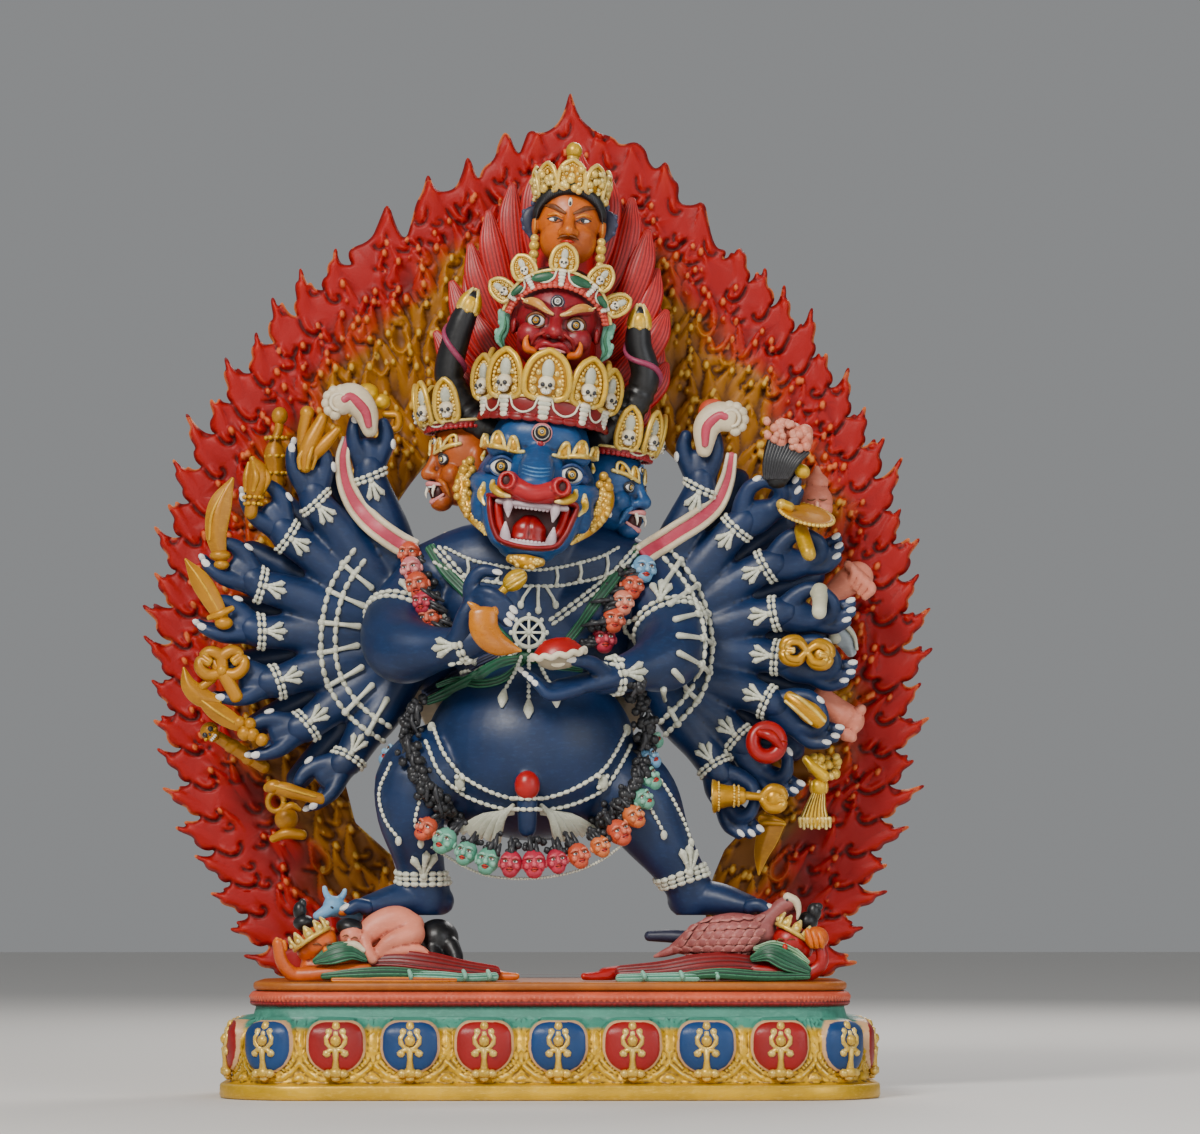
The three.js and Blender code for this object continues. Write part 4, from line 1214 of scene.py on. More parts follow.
def addPetalTrim(form, way):
    def at(u, z, lift=0.0):
        u = u * 1.3
        bulge = 8.5 - 4.3 * math.sqrt(max(0, 1 - (u / 19) ** 2)) + 0.006 * (z - 36) ** 2 + 0.02 * max(0,
            z - 46) ** 2
        x, y, _ = plinthPlace(np.array([way + u]), np.array([bulge - lift]))
        return np.array([x[0], y[0], z])

    def line(points, width, lift=0.4, steps=8):
        sweep(form, "paleGold", [at(u, z, lift) for u, z in points], [one * 1.45 for one in width], sides=8,
            steps=steps)

    def knob(place, size, sides, rings, turned):
        ball(form, "paleGold", place, np.array(size) * 1.3, sides, rings, turned)

    heading = plinthPlace(np.array([way]), np.array([6.0]))[2][0]
    facing = turnMatrix(z=math.degrees(heading) + 90)
    knob(at(0, 53.2, -1.0), (2.6, 2.4, 3.4), 10, 7, facing)
    for side in (-1, 1):
        knob(at(side * 3.9, 49.8, 0.2), (2.2, 1.9, 2.2), 8, 6, facing)
        line([(side * 3.6, 49), (side * 5.3, 45.5), (side * 5.0, 41.5), (side * 2.6, 38.2), (0, 37.2)],
            [1.2, 1.3, 1.3, 1.2, 1.2])
        knob(at(side * 5.0, 34.2, 0.3), (2.5, 2, 2.2), 8, 6, facing)
        line([(side * 5.0, 34.5), (side * 3.0, 36.6), (0, 36.5)], [1.5, 1.4, 1.5], steps=5)
        knob(at(side * 4.4, 19.4, 1.4), (3, 2.6, 2.5), 8, 6, facing)
    knob(at(0, 43.4, 0.8), (3.1, 2.8, 3.3), 12, 8, facing)
    knob(at(0, 48.2, 0.2), (1.8, 1.6, 2), 8, 6, facing)
    line([(0, 36), (0, 30), (0, 22)], [1.9, 1.4, 2.2], lift=0.6, steps=5)
    knob(at(0, 20.0, 1.8), (4.2, 3, 3), 10, 7, facing)
    knob(at(0, 16.0, 0.6), (2.8, 2.4, 2), 8, 6, facing)


makePlinth()


# Body: torso, legs and arms are joined into one soft skin, fingers and toes are set into it

body = {"voxel": 2.1, "sole": 134.6}
leftFan = {"centre": (-94, 22, 348), "side": -1, "wrists": [  # where each wrist is, and where its fingers end
    ((-137, 466), (-137, 515)), ((-178, 446), (-184, 485)), ((-199, 420), (-222, 454)), ((-219, 383), (-252, 407)),
    ((-219, 348), (-257, 361)), ((-206, 310), (-249, 309)), ((-184, 277), (-222, 266)), ((-152, 252), (-185, 225))]}
rightFan = {"centre": (62, 22, 342), "side": 1, "wrists": [((114, 457), (113, 503)), ((141, 427), (183, 464)),
    ((163, 398), (219, 416)), ((170, 362), (231, 367)), ((171, 329), (233, 319)), ((164, 295), (217, 271)),
    ((142, 267), (188, 228)), ((124, 246), (152, 200))]}
legs = [{"bones": [(-44, -4, 242), (-92, -46, 238), (-103, -54, 212), (-97, -38, 172), (-93, -34, 146)],
    "wide": [44, 42, 35, 26, 19, 17], "heel": (-82, -28, 144), "toe": (-148, -50, 141)},
    {"bones": [(22, -4, 242), (60, -34, 222), (82, -40, 190), (101, -33, 160), (106, -30, 146)],
    "wide": [44, 41, 35, 26, 19, 17], "heel": (98, -26, 144), "toe": (160, -48, 141)},]
mainArms = [{"bones": [(-88, -2, 386), (-113, -30, 352), (-110, -64, 332), (-74, -97, 332), (-52, -106, 338)],
    "wide": [27, 28, 27, 25, 16, 12.5]}, {"bones": [(70, -2, 384), (90, -30, 348), (86, -62, 326),
    (58, -92, 314), (38, -102, 309)], "wide": [27, 28, 27, 25, 16, 12.5]},]


def toward(start, end, share):
    return np.asarray(start, float) * (1 - share) + np.asarray(end, float) * share


def wristPlace(fan, i):  # wrist and finger ends of one arm of the fan
    (x, z), (tipX, tipZ) = fan["wrists"][i]
    return np.array([x, 5 - 3 * (i % 2), z], float), np.array([tipX, 1 - 3 * (i % 2), tipZ], float)


def makeSkin():
    form = Form()
    ball(form, "blue", (-15, -27, 258), (79, 66, 67), 40, 28)
    ball(form, "blue", (-11, 4, 236), (70, 46, 46), 24, 18)
    ball(form, "blue", (-11, -6, 350), (72, 40, 56), 28, 20)
    ball(form, "blue", (-46, -26, 366), (38, 22, 26), 20, 14)
    ball(form, "blue", (26, -26, 364), (38, 22, 26), 20, 14)
    sweep(form, "blue", [(-9, -4, 372), (-8, -14, 410), (-6, -24, 452)], [44, 37, 34], [34, 34, 34], sides=20,
        steps=16)
    sweep(form, "blue", [(-92, 0, 388), (-50, -8, 398), (30, -8, 396), (74, 0, 386)], [27, 34, 34, 27],
        sides=20, steps=16)
    sweep(form, "blue", [(-16, -68, 250), (-17, -88, 232), (-17, -93, 214), (-17, -90, 198)], [8, 9, 8, 7],
        sides=14, steps=16)
    for leg in legs:
        sweep(form, "blue", leg["bones"], leg["wide"], sides=20, steps=24)
        heel, toe = np.array(leg["heel"], float), np.array(leg["toe"], float)
        sweep(form, "blue", [heel + (0, 0, 1), toward(heel, toe, 0.35) + (0, 0, 4), toward(heel, toe, 0.82)],
            [13, 15.5, 14], [11, 13, 8], face=(0, 0, 1), sides=16, steps=16)
        ball(form, "blue", toward(heel, toe, 0.12) + (0, 0, 12), (15, 15, 14), 16, 12)
    for arm in mainArms:
        sweep(form, "blue", arm["bones"], arm["wide"], sides=20, steps=26)
    for fan in (leftFan, rightFan):
        centre = np.array(fan["centre"], float)
        ball(form, "blue", centre + (fan["side"] * 2, 6, 0), (40, 20, 44), 20, 14)
        for i in range(8):
            wrist, tip = wristPlace(fan, i)
            out = unit(wrist - centre)
            sag = np.array([0, 0, -3.0])
            sweep(form, "blue", [centre + out * 30, toward(centre, wrist, 0.55) + sag,
                toward(centre, wrist, 0.8), wrist, wrist + unit(tip - wrist) * 8], [18, 17, 17, 13.8, 12],
                sides=14, steps=16)
        for i in range(7):
            first = np.array(fan["wrists"][i][0], float)
            second = np.array(fan["wrists"][i + 1][0], float)
            middle = (first + second) / 2
            out = unit(middle - centre[[0, 2]])
            end = centre[[0, 2]] + out * 148
            sweep(form, "blue", [(*(centre[[0, 2]] + out * 60)[:1], 30, (centre[[0, 2]] + out * 60)[1]),
                (end[0], 34, end[1])], [14, 9.5], steps=8)
    skin = blended("skin", form, body["voxel"], smoothing=5)
    points = skin[0]
    low = (points[:, 2] < body["sole"]) & (points[:, 2] > 100)
    points[low, 2] = body["sole"]
    return skin


def addNail(form, tip, along, up, width):
    along = unit(along)
    up = unit(np.asarray(up, float) - along * np.dot(up, along))
    turned = np.stack([np.cross(along, up), along, up], axis=1)
    ball(form, "white", np.asarray(tip, float), (width * 0.62, width * 0.95, width * 0.42), 10, 7, turned)


def finger(form, paint, points, width, nail=None, steps=9):
    sweep(form, paint, points, [width, width * 0.95, width * 0.78], sides=10, steps=steps)
    if nail is not None:
        tip = np.asarray(points[-1], float)
        along = unit(tip - np.asarray(points[-2], float))
        nail = unit(np.asarray(nail, float) - along * np.dot(nail, along))
        addNail(form, tip + along * width * 0.25 + nail * width * 0.48, along, nail, width)


def openHand():  # two prongs, a thumb below and fingers above, hold a thing between them
    hand = Form()
    sweep(hand, "blue", [(-5, 0, 0), (6, 0, 0), (17, 0, 0), (23, 0, 0)], [10.5, 12, 13.5, 12], [9, 9.5, 9, 7],
        face=(0, -1, 0), sides=18, steps=14)
    sweep(hand, "blue", [(12, -2, -6), (24, -5, -11.5), (34, -6, -12.5), (42, -5, -11.5)], [7.5, 6.6, 5.4, 4.2])
    sweep(hand, "blue", [(12, 0, 6), (24, 0, 11.5), (33, -1, 12.5), (40, -2, 10.5)], [8, 7.4, 6.4, 4.8])
    sweep(hand, "blue", [(18, 6, -3), (32, 8, -8), (42, 6, -10), (47, 4, -9)], [6, 5.2, 4.6, 3.8])
    made = Form()
    made.add(*blended("hand", hand, 1.35, 3), "blue")
    addNail(made, (42.5, -8.2, -11), (1, 0.1, 0.1), (0.45, -1, 0.1), 4.6)
    addNail(made, (48, 2, -9), (1, 0, 0.2), (0.8, -1, 0.2), 4.0)
    addNail(made, (24, -4, 18.2), (1, 0, 0), (0, -0.55, 1), 4.4)
    return made


def ringHand():  # thumb and first finger meet over an opening, the other fingers reach out below
    hand = Form()
    sweep(hand, "blue", [(-5, 0, 0), (6, 0, -1), (17, 1, -4), (30, 1, -8)], [10.5, 12.5, 13, 9], [9, 10, 9, 7],
        face=(0, -1, 0), sides=18, steps=14)
    sweep(hand, "blue", [(8, -1, 5), (18, -3, 12.5), (28, -5, 16), (36, -7, 13.5)], [8, 7.2, 6.2, 5])
    sweep(hand, "blue", [(28, 0, -7), (40, -2, -5), (44, -6, 3), (39, -8, 11.5)], [6.5, 6.2, 5.6, 4.6],
        steps=14)
    for k, (x, z) in enumerate(((57, -4), (53, -11), (58, 3))):
        sweep(hand, "blue", [(24, 2 + 3 * (k == 2), -9), (42, 1 + 4 * (k == 2), z - 3.5),
            (x, -2 + 3 * (k == 2), z)], [6.4, 5.6, 4.2])
    made = Form()
    made.add(*blended("hand", hand, 1.35, 3), "blue")
    addNail(made, (35, -9, 17.4), (1, -0.3, -0.3), (0.1, -0.7, 1), 4.8)
    for x, z in ((57.5, -3), (53.5, -10), (58, 4.5)):
        addNail(made, (x - 0.5, -4.6 if z < 4 else -1.6, z + 0.6), (1, 0, 0.25), (0.35, -1, 0.8), 4.2)
    return made


def makeHands(form):
    kinds = {"open": openHand(), "ring": ringHand()}
    for fan in (leftFan, rightFan):
        for i in range(len(fan["wrists"])):
            wrist, tip = wristPlace(fan, i)
            along = unit(tip - wrist)
            upper = np.array([-along[2], 0, along[0]]) * fan["side"]
            kind = "open" if fan["side"] < 0 or i == 0 else "ring"
            form.join(kinds[kind], Spot(wrist, np.stack([along, np.array([0, 1.0, 0]), upper], axis=1)))


def makeMainHands(form):
    # the hand that holds the chopper by its handle, its fingers bent over to the right
    hand = Form()
    sweep(hand, "blue", [(-70, -103, 333), (-64, -107, 341), (-60, -112, 354), (-54, -115, 366)],
        [12, 12.5, 12, 9], [10, 9, 8, 7], sides=14)
    sweep(hand, "blue", [(-58, -113, 364), (-58, -117, 378), (-50, -120, 387), (-40, -121, 386)],
        [6.4, 6, 5.4, 4.4], steps=14)
    for k in range(3):
        sweep(hand, "blue", [(-57, -114, 368 - 6.5 * k), (-47, -125, 371 - 6.5 * k),
            (-35 - k, -128, 365 - 5.5 * k), (-28 - 2 * k, -127, 358 - 4.5 * k)], [6, 5.6, 5, 4], steps=14)
    # the palm under the skull cup, its fingers along the cup's foot
    sweep(hand, "blue", [(50, -99, 312), (40, -106, 309), (22, -112, 304), (6, -114, 302)], [12, 12.5, 12, 9],
        [10, 8, 7, 6], face=(0, -0.3, 1), sides=14)
    sweep(hand, "blue", [(38, -112, 313), (30, -122, 319), (18, -131, 321)], [7, 6, 4.8])
    for k in range(4):
        sweep(hand, "blue", [(20, -108 - 4 * k, 303 - k), (0, -113 - 4.5 * k, 300 - 1.5 * k),
            (-19 + 3.5 * k, -113 - 4.5 * k, 313 - 3.4 * k)], [5.4, 5, 3.8])
    form.add(*blended("hands", hand, 1.4, 3), "blue")
    addNail(form, (-39, -124, 386), (1, 0, -0.3), (0.3, -0.8, 0.9), 4.6)
    for k in range(3):
        addNail(form, (-27 - 2 * k, -131, 358 - 4.5 * k), (0.7, -0.2, -0.8), (0.6, -1, 0.5), 4.6)
    addNail(form, (15, -134.5, 322), (-1, -0.3, 0.1), (-0.2, -1, 0.5), 5.6)
    for k in range(4):
        addNail(form, (-21.5 + 3.5 * k, -115 - 4.5 * k, 314.5 - 3.4 * k), (-0.8, 0, 0.6), (-0.5, -0.9, 0.5),
            3.5)


def makeToes(form):
    for leg in legs:
        heel, toe = np.array(leg["heel"], float), np.array(leg["toe"], float)
        along = unit((toe - heel) * (1, 1, 0))
        across = np.array([-along[1], along[0], 0])
        if across[1] > 0:
            across = -across
        for k in range(5):
            size = (5.4, 4.6, 4.4, 4.1, 3.7)[k]
            root = toe - along * (9 + 2.2 * k) + across * (10 - 5.6 * k)
            root[2] = body["sole"] + size + 1
            tip = root + along * (14 - 1.2 * k)
            tip[2] = body["sole"] + size * 0.8
            finger(form, "blue", [root, toward(root, tip, 0.5) + (0, 0, 2.2), tip], size,
                nail=(along[0] * 0.3, -0.2, 1), steps=7)


def makeBody():
    skin = makeSkin()
    form = Form()
    form.add(skin[0], skin[1], "blue")
    makeHands(form)
    makeMainHands(form)
    makeToes(form)
    finishPiece("body", form, ["figure"], softening=2)
    return Skin(skin)


skin = makeBody()


# Heads: each is built in its own frame (x to the viewer's right, -y forwards, z up) and set in place

mainHead = {"place": (-10.3, -42, 464.2), "roll": 6.7, "voxel": 1.25}
redHead = {"place": (4.3, -44, 577), "roll": 7.5, "voxel": 1.1}
topHead = {"place": (14, -30, 655), "roll": 3.5, "voxel": 1.0}


def spotFacing(place, facing, up=(0, 0, 1), size=1.0):  # y of the frame points away from the facing way
    back = -unit(facing)
    up = unit(np.asarray(up, float) - back * np.dot(up, back))
    right = np.cross(back, up)
    return Spot(place, np.stack([right, back, up], axis=1) * size)


def mirrored(points):
    return [(-x, y, z) for x, y, z in points]


def addSkin(form, source, voxel, paint, smoothing=3):
    points, faces = blended("part", source, voxel, smoothing)
    form.add(points, faces, paint)
    return Skin((points, faces))


def addEye(form, centre, size, facing=(0, -1, 0), lid=None, iris="gold", rim="black"):
    eye = Form()
    ball(eye, rim, (0, 0.16, 0), (1.45, 0.5, 1.16) if lid else (1.28, 0.5, 1.28), 24, 12)
    ball(eye, "white", (0, 0, 0), (1.22, 0.58, 0.98) if lid else (1.06, 0.58, 1.06), 24, 12)
    small = 0.78 if lid else 1.0
    for paint, reach, out in (("black", 0.92, 0.4), (iris, 0.68, 0.48), ("black", 0.48, 0.54),
            ("cream", 0.34, 0.59), ("black", 0.22, 0.64)):
        ball(eye, paint, (0, -out, 0), (reach * small, 0.36, reach * small), 20, 10)
    for top, thick in ((1, 0.2), (-1, 0.12)) if lid else ():
        arc = [(-1.42, 0.1, -top * 0.08), (-0.9, -0.34, top * 0.66), (0.0, -0.52, top * 1.04),
            (0.9, -0.34, top * 0.72), (1.42, 0.1, -top * 0.02)]
        sweep(eye, lid, arc, [thick * 0.6, thick, thick * 0.6], sides=8, steps=14)
    form.join(eye, spotFacing(centre, facing, size=size))


def addSkull(form, spot, size, paint="ivory"):  # a small skull with sockets and teeth
    skull = Form()
    ball(skull, paint, (0, 0, 0.25), (0.82, 0.72, 0.72), 16, 12)
    ball(skull, paint, (0, -0.2, -0.42), (0.56, 0.5, 0.44), 12, 9)
    for side in (-1, 1):
        ball(skull, "black", (side * 0.35, -0.6, 0.1), (0.24, 0.22, 0.24), 10, 8)
        ball(skull, paint, (side * 0.58, -0.38, -0.16), (0.22, 0.28, 0.15), 8, 6)
    ball(skull, "black", (0, -0.7, -0.2), (0.1, 0.12, 0.14), 8, 6)
    for k in range(4):
        ball(skull, "white", (-0.27 + 0.18 * k, -0.62, -0.62), (0.085, 0.1, 0.14), 8, 6)
    form.join(skull, lambda points: spot(points * size))


def beadLine(form, paint, points, size, gap=1.0, stretch=1.0, sides=8, rings=6):  # beads along a line
    points = np.asarray(points, float)
    length = np.sum(np.linalg.norm(np.diff(points, axis=0), axis=1))
    count = max(int(length / (size * 2 * gap * stretch)), 2)
    path = evenPath(points, count)
    along = unit(np.gradient(path, axis=0))
    for place, way in zip(path, along):
        seed = np.array([0, -1.0, 0]) if abs(way[1]) < 0.9 else np.array([1.0, 0, 0])
        side = unit(np.cross(way, seed))
        turned = np.stack([side, np.cross(way, side), way], axis=1)
        ball(form, paint, place, (size, size, size * stretch), sides, rings, turned)


def crownLeaf(form, spot, wide, high, skull=True):  # a thick arched leaf with a rope rim and curls
    leaf = Form()
    half = [(0.26, 0.0), (0.44, 0.07), (0.51, 0.27), (0.49, 0.5), (0.42, 0.7), (0.29, 0.86), (0.13, 0.95),
        (0, 1.0)]
    edge = [np.array([x * wide, -0.05 * high * math.sin(z * 3), z * high]) for x, z in half]
    back = np.array(edge + [point * (-1, 1, 1) for point in edge[::-1][1:]])
    middle = back.mean(axis=0)
    count = len(back)
    points = np.vstack([back - (0, 0.4, 0), back + (0, 1.8, 0), [middle + (0, 0.8, 0)], [middle + (0, 2.4, 0)]])
    i = np.arange(count)
    k = (i + 1) % count
    leaf.add(points, np.stack([i, k, np.full(count, 2 * count)], axis=1)[:, ::-1], "gold")
    leaf.faces.append(np.stack([count + i, count + k, np.full(count, 2 * count + 1)], axis=1))
    leaf.paints.append("gold")
    sweep(leaf, "paleGold", back - (0, 0.6, 0), 0.05 * high + 0.65, sides=10, steps=44)
    inner = [(x * 0.7, y - 0.6, z * 0.8 + 0.06 * high) for x, y, z in edge]
    beadLine(leaf, "gold", inner + mirrored(inner[::-1][1:]), 0.04 * high, 1.0)
    for side in (-1, 1):
        for x, z, reach in ((0.29, 0.16, 0.085), (0.31, 0.35, 0.08), (0.21, 0.53, 0.06)):
            ball(leaf, "paleGold", (side * wide * x, -0.9, high * z), (reach * high, 0.055 * high,
                reach * high), 10, 8)
            ball(leaf, "gold", (side * wide * x, -0.9 - 0.045 * high, high * z), 0.45 * reach * high, 8, 6)
    if skull:
        ball(leaf, "rope", (0, -1.2, high * 0.6), (0.135 * high, 0.1 * high, 0.22 * high), 14, 10)
        addSkull(leaf, Spot((0, -2.2, high * 0.27), np.eye(3)), 0.215 * high)
    else:
        ball(leaf, "paleGold", (0, -1.8, high * 0.42), (0.12 * high, 0.09 * high, 0.15 * high), 12, 8)
        ball(leaf, "gold", (0, -1.8, high * 0.68), (0.07 * high, 0.06 * high, 0.09 * high), 10, 7)
    form.join(leaf, spot)


def ringCrown(wide, deep, z, turn=0.75, lean=0.1):  # place, facing and upward way round the head
    def frame(degrees):
        a = math.radians(degrees - 90)
        b = math.radians(np.interp(degrees, [-180, -90, 90, 180], [-180, -90 * turn, 90 * turn, 180]) - 90)
        place = np.array([wide * math.cos(a), deep * math.sin(a), z])
        return place, np.array([math.cos(b), math.sin(b), 0.0]), unit((lean * math.cos(a), lean * math.sin(a),
            1))
    return frame


def addCrown(form, frame, span, leaves, tall, scallops, frill="crimson", band="crimson", plates=None,
        stalks=True):
    def at(degrees, rise, out):
        place, facing, up = frame(degrees)
        return place + up * rise * tall(degrees) + facing * out

    turn = np.linspace(-span, span, 61)
    for degrees in np.linspace(-span, span, scallops):
        place, facing, up = frame(degrees)
        reach = np.linalg.norm(at(degrees + span / scallops, 0, 0) - at(degrees - span / scallops, 0, 0)) * 0.66
        matrix = spotFacing(place, facing + (0, 0, 0.3), up).matrix
        ball(form, frill, place + facing, (reach, 1.8, 1.5 + reach * 0.24), 12, 8, matrix)
        ball(form, frill, place + facing * 0.3 + up * 2.2, (reach * 0.9, 1.6, 2.2), 10, 6, matrix)
    ups = np.array([frame(degrees)[2] for degrees in turn])
    half = [tall(degrees) * 0.48 for degrees in turn[::6]]
    sweep(form, band, [at(degrees, 0.5, 0.0) for degrees in turn], [1.5, 1.5], half, face=ups, sides=10,
        steps=90)
    sweep(form, "paleGold", [at(degrees, 0.97, 1.2) for degrees in turn], 1.25, sides=8, steps=110)
    order = sorted(leaf[0] for leaf in leaves if abs(leaf[0]) <= span)
    for first, second in zip(order[:-1], order[1:]):
        arc = []
        for share in np.linspace(0, 1, 11):
            degrees = first + (second - first) * (0.16 + 0.68 * share)
            arc.append(at(degrees, 0.92 - 0.7 * math.sin(math.pi * share) ** 0.45, 1.9))
        sweep(form, "cream", arc, 0.85, sides=6, steps=26)
        if plates:
            place, facing, up = frame((first + second) / 2)
            size = np.linalg.norm(arc[-1] - arc[0]) * 0.56
            ball(form, plates, at((first + second) / 2, 0.6, 0.8), (size, 2.2,
                tall((first + second) / 2) * 0.34), 16, 10, spotFacing(place, facing, up).matrix)
    for degrees, wide, high, skull in leaves:
        place, facing, up = frame(degrees)
        base = at(degrees, 0.92, 0.4)
        crownLeaf(form, spotFacing(base, facing + (0, 0, -0.12), up), wide, high, skull)
        if skull and stalks:
            matrix = spotFacing(place, facing, up).matrix
            for k in range(5):
                size = 0.115 * wide + 0.014 * wide * k
                ball(form, "rope" if k % 2 else "ivory", at(degrees, 0.08 + 0.2 * k, 2.2),
                    (size, 1.7, tall(degrees) * 0.15), 10, 7, matrix)


def addBrow(form, face, side, base, leaves, fill="gold", thick=1.3):  # a scalloped brow
    sweep(form, "paleGold", face.along(base, 1.2, side), [1.1 * thick, 1.7 * thick, 1.5 * thick], sides=8,
        steps=20)
    for x, z, top, lean, wide in leaves:
        arch = []
        for a in np.linspace(0, math.pi, 9):
            rise = math.sin(a) ** 0.8
            across = -wide * math.cos(a) * (1 - 0.35 * rise) + lean * rise
            arch.append(face.at(side * (x + across), z + (top - z) * rise, 1.4))
        sweep(form, "paleGold", arch, [thick, 1.45 * thick, thick], sides=8, steps=18)
        ball(form, fill, face.at(side * (x + lean * 0.5), (z + top) / 2 - 0.6, 0.8),
            (wide * 0.8, 2, (top - z) * 0.48), 12, 8)


def addBeard(form, line, width, dice):  # a knobbly carved strand
    sweep(form, "gold", line, width, [one * 0.8 for one in width], face=(0, -1, 0), steps=26)
    path = evenPath(line, 20)
    reach = np.interp(np.linspace(0, 1, 20), np.linspace(0, 1, len(width)), width)
    for place, one in zip(path, reach):
        for _ in range(3):
            offset = dice.uniform(-1, 1, 3) * (one * 0.8, 0.5, 1.6) - (0, one * 0.62, 0)
            ball(form, "gold", place + offset, one * (0.34 + 0.22 * dice.random()), 8, 6)


def makeMainHead(form):
    head = Form()
    source = Form()
    ball(source, "faceBlue", (0, 4, 18), (38, 43, 38), 32, 22)
    ball(source, "faceBlue", (0, 0, -8), (45, 42, 34), 30, 22)
    ball(source, "faceBlue", (0, -6, -32), (39, 38, 28), 28, 20)
    ball(source, "faceBlue", (0, -26, 26), (31, 17, 17), 20, 14)
    mouthLine = [(-32, -50, -24), (-30, -50, -37), (-25.5, -52, -49), (-18.5, -54, -56.5), (0, -55.5, -59),
        (18.5, -54, -56.5), (25.5, -52, -49), (30, -50, -37), (32, -50, -24), (16, -56, -23), (0, -58, -23.5),
        (-16, -56, -23), (-32, -50, -24)]
    for side in (-1, 1):
        ball(source, "faceBlue", (side * 25, -24, 16), (15, 15, 12), 16, 12)
        sweep(source, "faceBlue", [(side * 42, -18, -13), (side * 33, -34, -16), (side * 24, -43, -18)],
            [9, 9.5, 8], sides=14, steps=10)
        ball(source, "faceBlue", (side * 37, -24, -30), (10, 18, 18), 16, 12)
    sweep(source, "faceBlue", [(0, -30, 27), (0, -38, 12), (0, -52, -2), (0, -62, -12)], [7, 10, 13.5, 13],
        [6, 9, 10, 8], face=(0, -1, 0.4), sides=18, steps=14)
    ball(source, "faceBlue", (0, -34, 2), (20, 14, 17), 18, 12)
    ball(source, "faceBlue", (0, -46, -17), (28, 20, 9), 20, 14)
    sweep(source, "faceBlue", [(x * 1.05, y + 11, z - 0.6) for x, y, z in mouthLine[:9]], [5, 5], [13, 13],
        face=(0, -1, 0), steps=40)
    ball(source, "faceBlue", (0, -38, -62), (21, 20, 7), 20, 12)
    face = addSkin(head, source, mainHead["voxel"], "faceBlue", 12)
    # the open mouth
    sweep(head, "crimson", mouthLine, [2.5, 2.5], [8, 8], face=(0, -1, 0), steps=90, rounded=False)
    # the back of the mouth in a near-black red, painted shade that makes the shallow mouth look deep
    ball(head, "mouth", (0, -42, -40), (30, 6, 19), 24, 14)
    sweep(head, "red", [(-26, -47, -29), (-22, -47, -46), (-14, -48, -54), (14, -48, -54), (22, -47, -46),
        (26, -47, -29)], [6, 6], [4, 4], steps=30)
    tongue = Form()
    ball(tongue, "tongue", (0, -50, -53), (14.5, 8, 8), 22, 14)
    ball(tongue, "tongue", (0, -49.5, -46), (13, 8, 9.5), 20, 12)
    ball(tongue, "tongue", (0, -48, -41), (9, 7, 7), 16, 10)
    points, faces = blended("tongue", tongue, 1.0, 5)
    points[:, 1] += 1.2 * np.exp(-(points[:, 0] / 1.6) ** 2)
    head.add(points, faces, "tongue")
    sweep(head, "gum", [(-25, -54, -27), (-12, -59, -27.5), (0, -60.5, -28), (12, -59, -27.5), (25, -54, -27)],
        [2.4, 2.4, 2.4], [3.6, 3.2, 3.6], face=(0, -1, 0), sides=10, steps=24)
    sweep(head, "gum", [(-20, -54, -55), (-10, -57.5, -57), (0, -58.5, -57.4), (10, -57.5, -57),
        (20, -54, -55)], [2.4, 2.2, 2.4], [3.6, 3.4, 3.6], face=(0, -1, 0), sides=10, steps=24)
    for k in range(9):
        x = -11.6 + 2.9 * k
        ball(head, "gum", (x, -60.6 + 0.02 * x * x, -29.8), (1.8, 1.6, 1.9), 8, 6)
        ball(head, "gum", (x, -58.9 + 0.02 * x * x, -55.2), (1.8, 1.5, 1.7), 8, 6)
    for side in (-1, 1):
        sweep(head, "gum", [(side * 17.2, -58, -26), (side * 17.4, -60.5, -31), (side * 16.6, -60.5, -38)],
            [4.2, 3.4, 0.9], [3.6, 3, 0.9], face=(0, -1, 0))
        sweep(head, "gum", [(side * 16.6, -57, -56), (side * 17.4, -59, -50), (side * 18.0, -58.5, -42.6)],
            [4.6, 3.4, 0.9], [3.4, 3, 0.9], face=(0, -1, 0))
    # the muzzle, one soft red shape with two nostrils
    nose = Form()
    sweep(nose, "muzzle", [(-21, -60, -13.5), (-12, -65, -16), (0, -67, -19.5), (12, -65, -16),
        (21, -60, -13.5)], [7.6, 6.8, 6.8, 6.8, 7.6], [7, 6, 6, 6, 7], face=(0, -1, 0), sides=16, steps=26)
    sweep(nose, "muzzle", [(-20, -58, -20), (0, -63, -22.5), (20, -58, -20)], [4.6, 4.2, 4.6], sides=14,
        steps=18)
    for side in (-1, 1):
        ball(nose, "muzzle", (side * 19, -62, -12.8), (8.4, 8.5, 8.2), 18, 12)
        lathe(nose, "muzzle", [(0, 0), (6.8, 0), (7.4, 2), (6.4, 4.2), (4.6, 4.4), (0, 4.2)],
            (side * 19.6, -68, -12.6), (side * 0.35, -1, 0.15), 24)
    points, faces = blended("nose", nose, 1.0, 4)
    for side in (-1, 1):  # the nostrils are pressed in
        centre = np.array([side * 20.5, -73.5, -12.4])
        away = np.linalg.norm((points - centre) / (4.6, 6.5, 5.4), axis=1)
        points[:, 1] += np.where(away < 1, 5.5 * (1 - away ** 2) ** 0.5, 0)
        # a dark patch at the back of each nostril, painted shade
        ball(head, "mouth", centre + (0, 6.4, 0), (3.9, 1.6, 4.6), 14, 10)
    head.add(points, faces, "muzzle")
    dice = np.random.default_rng(3)
    for side in (-1, 1):
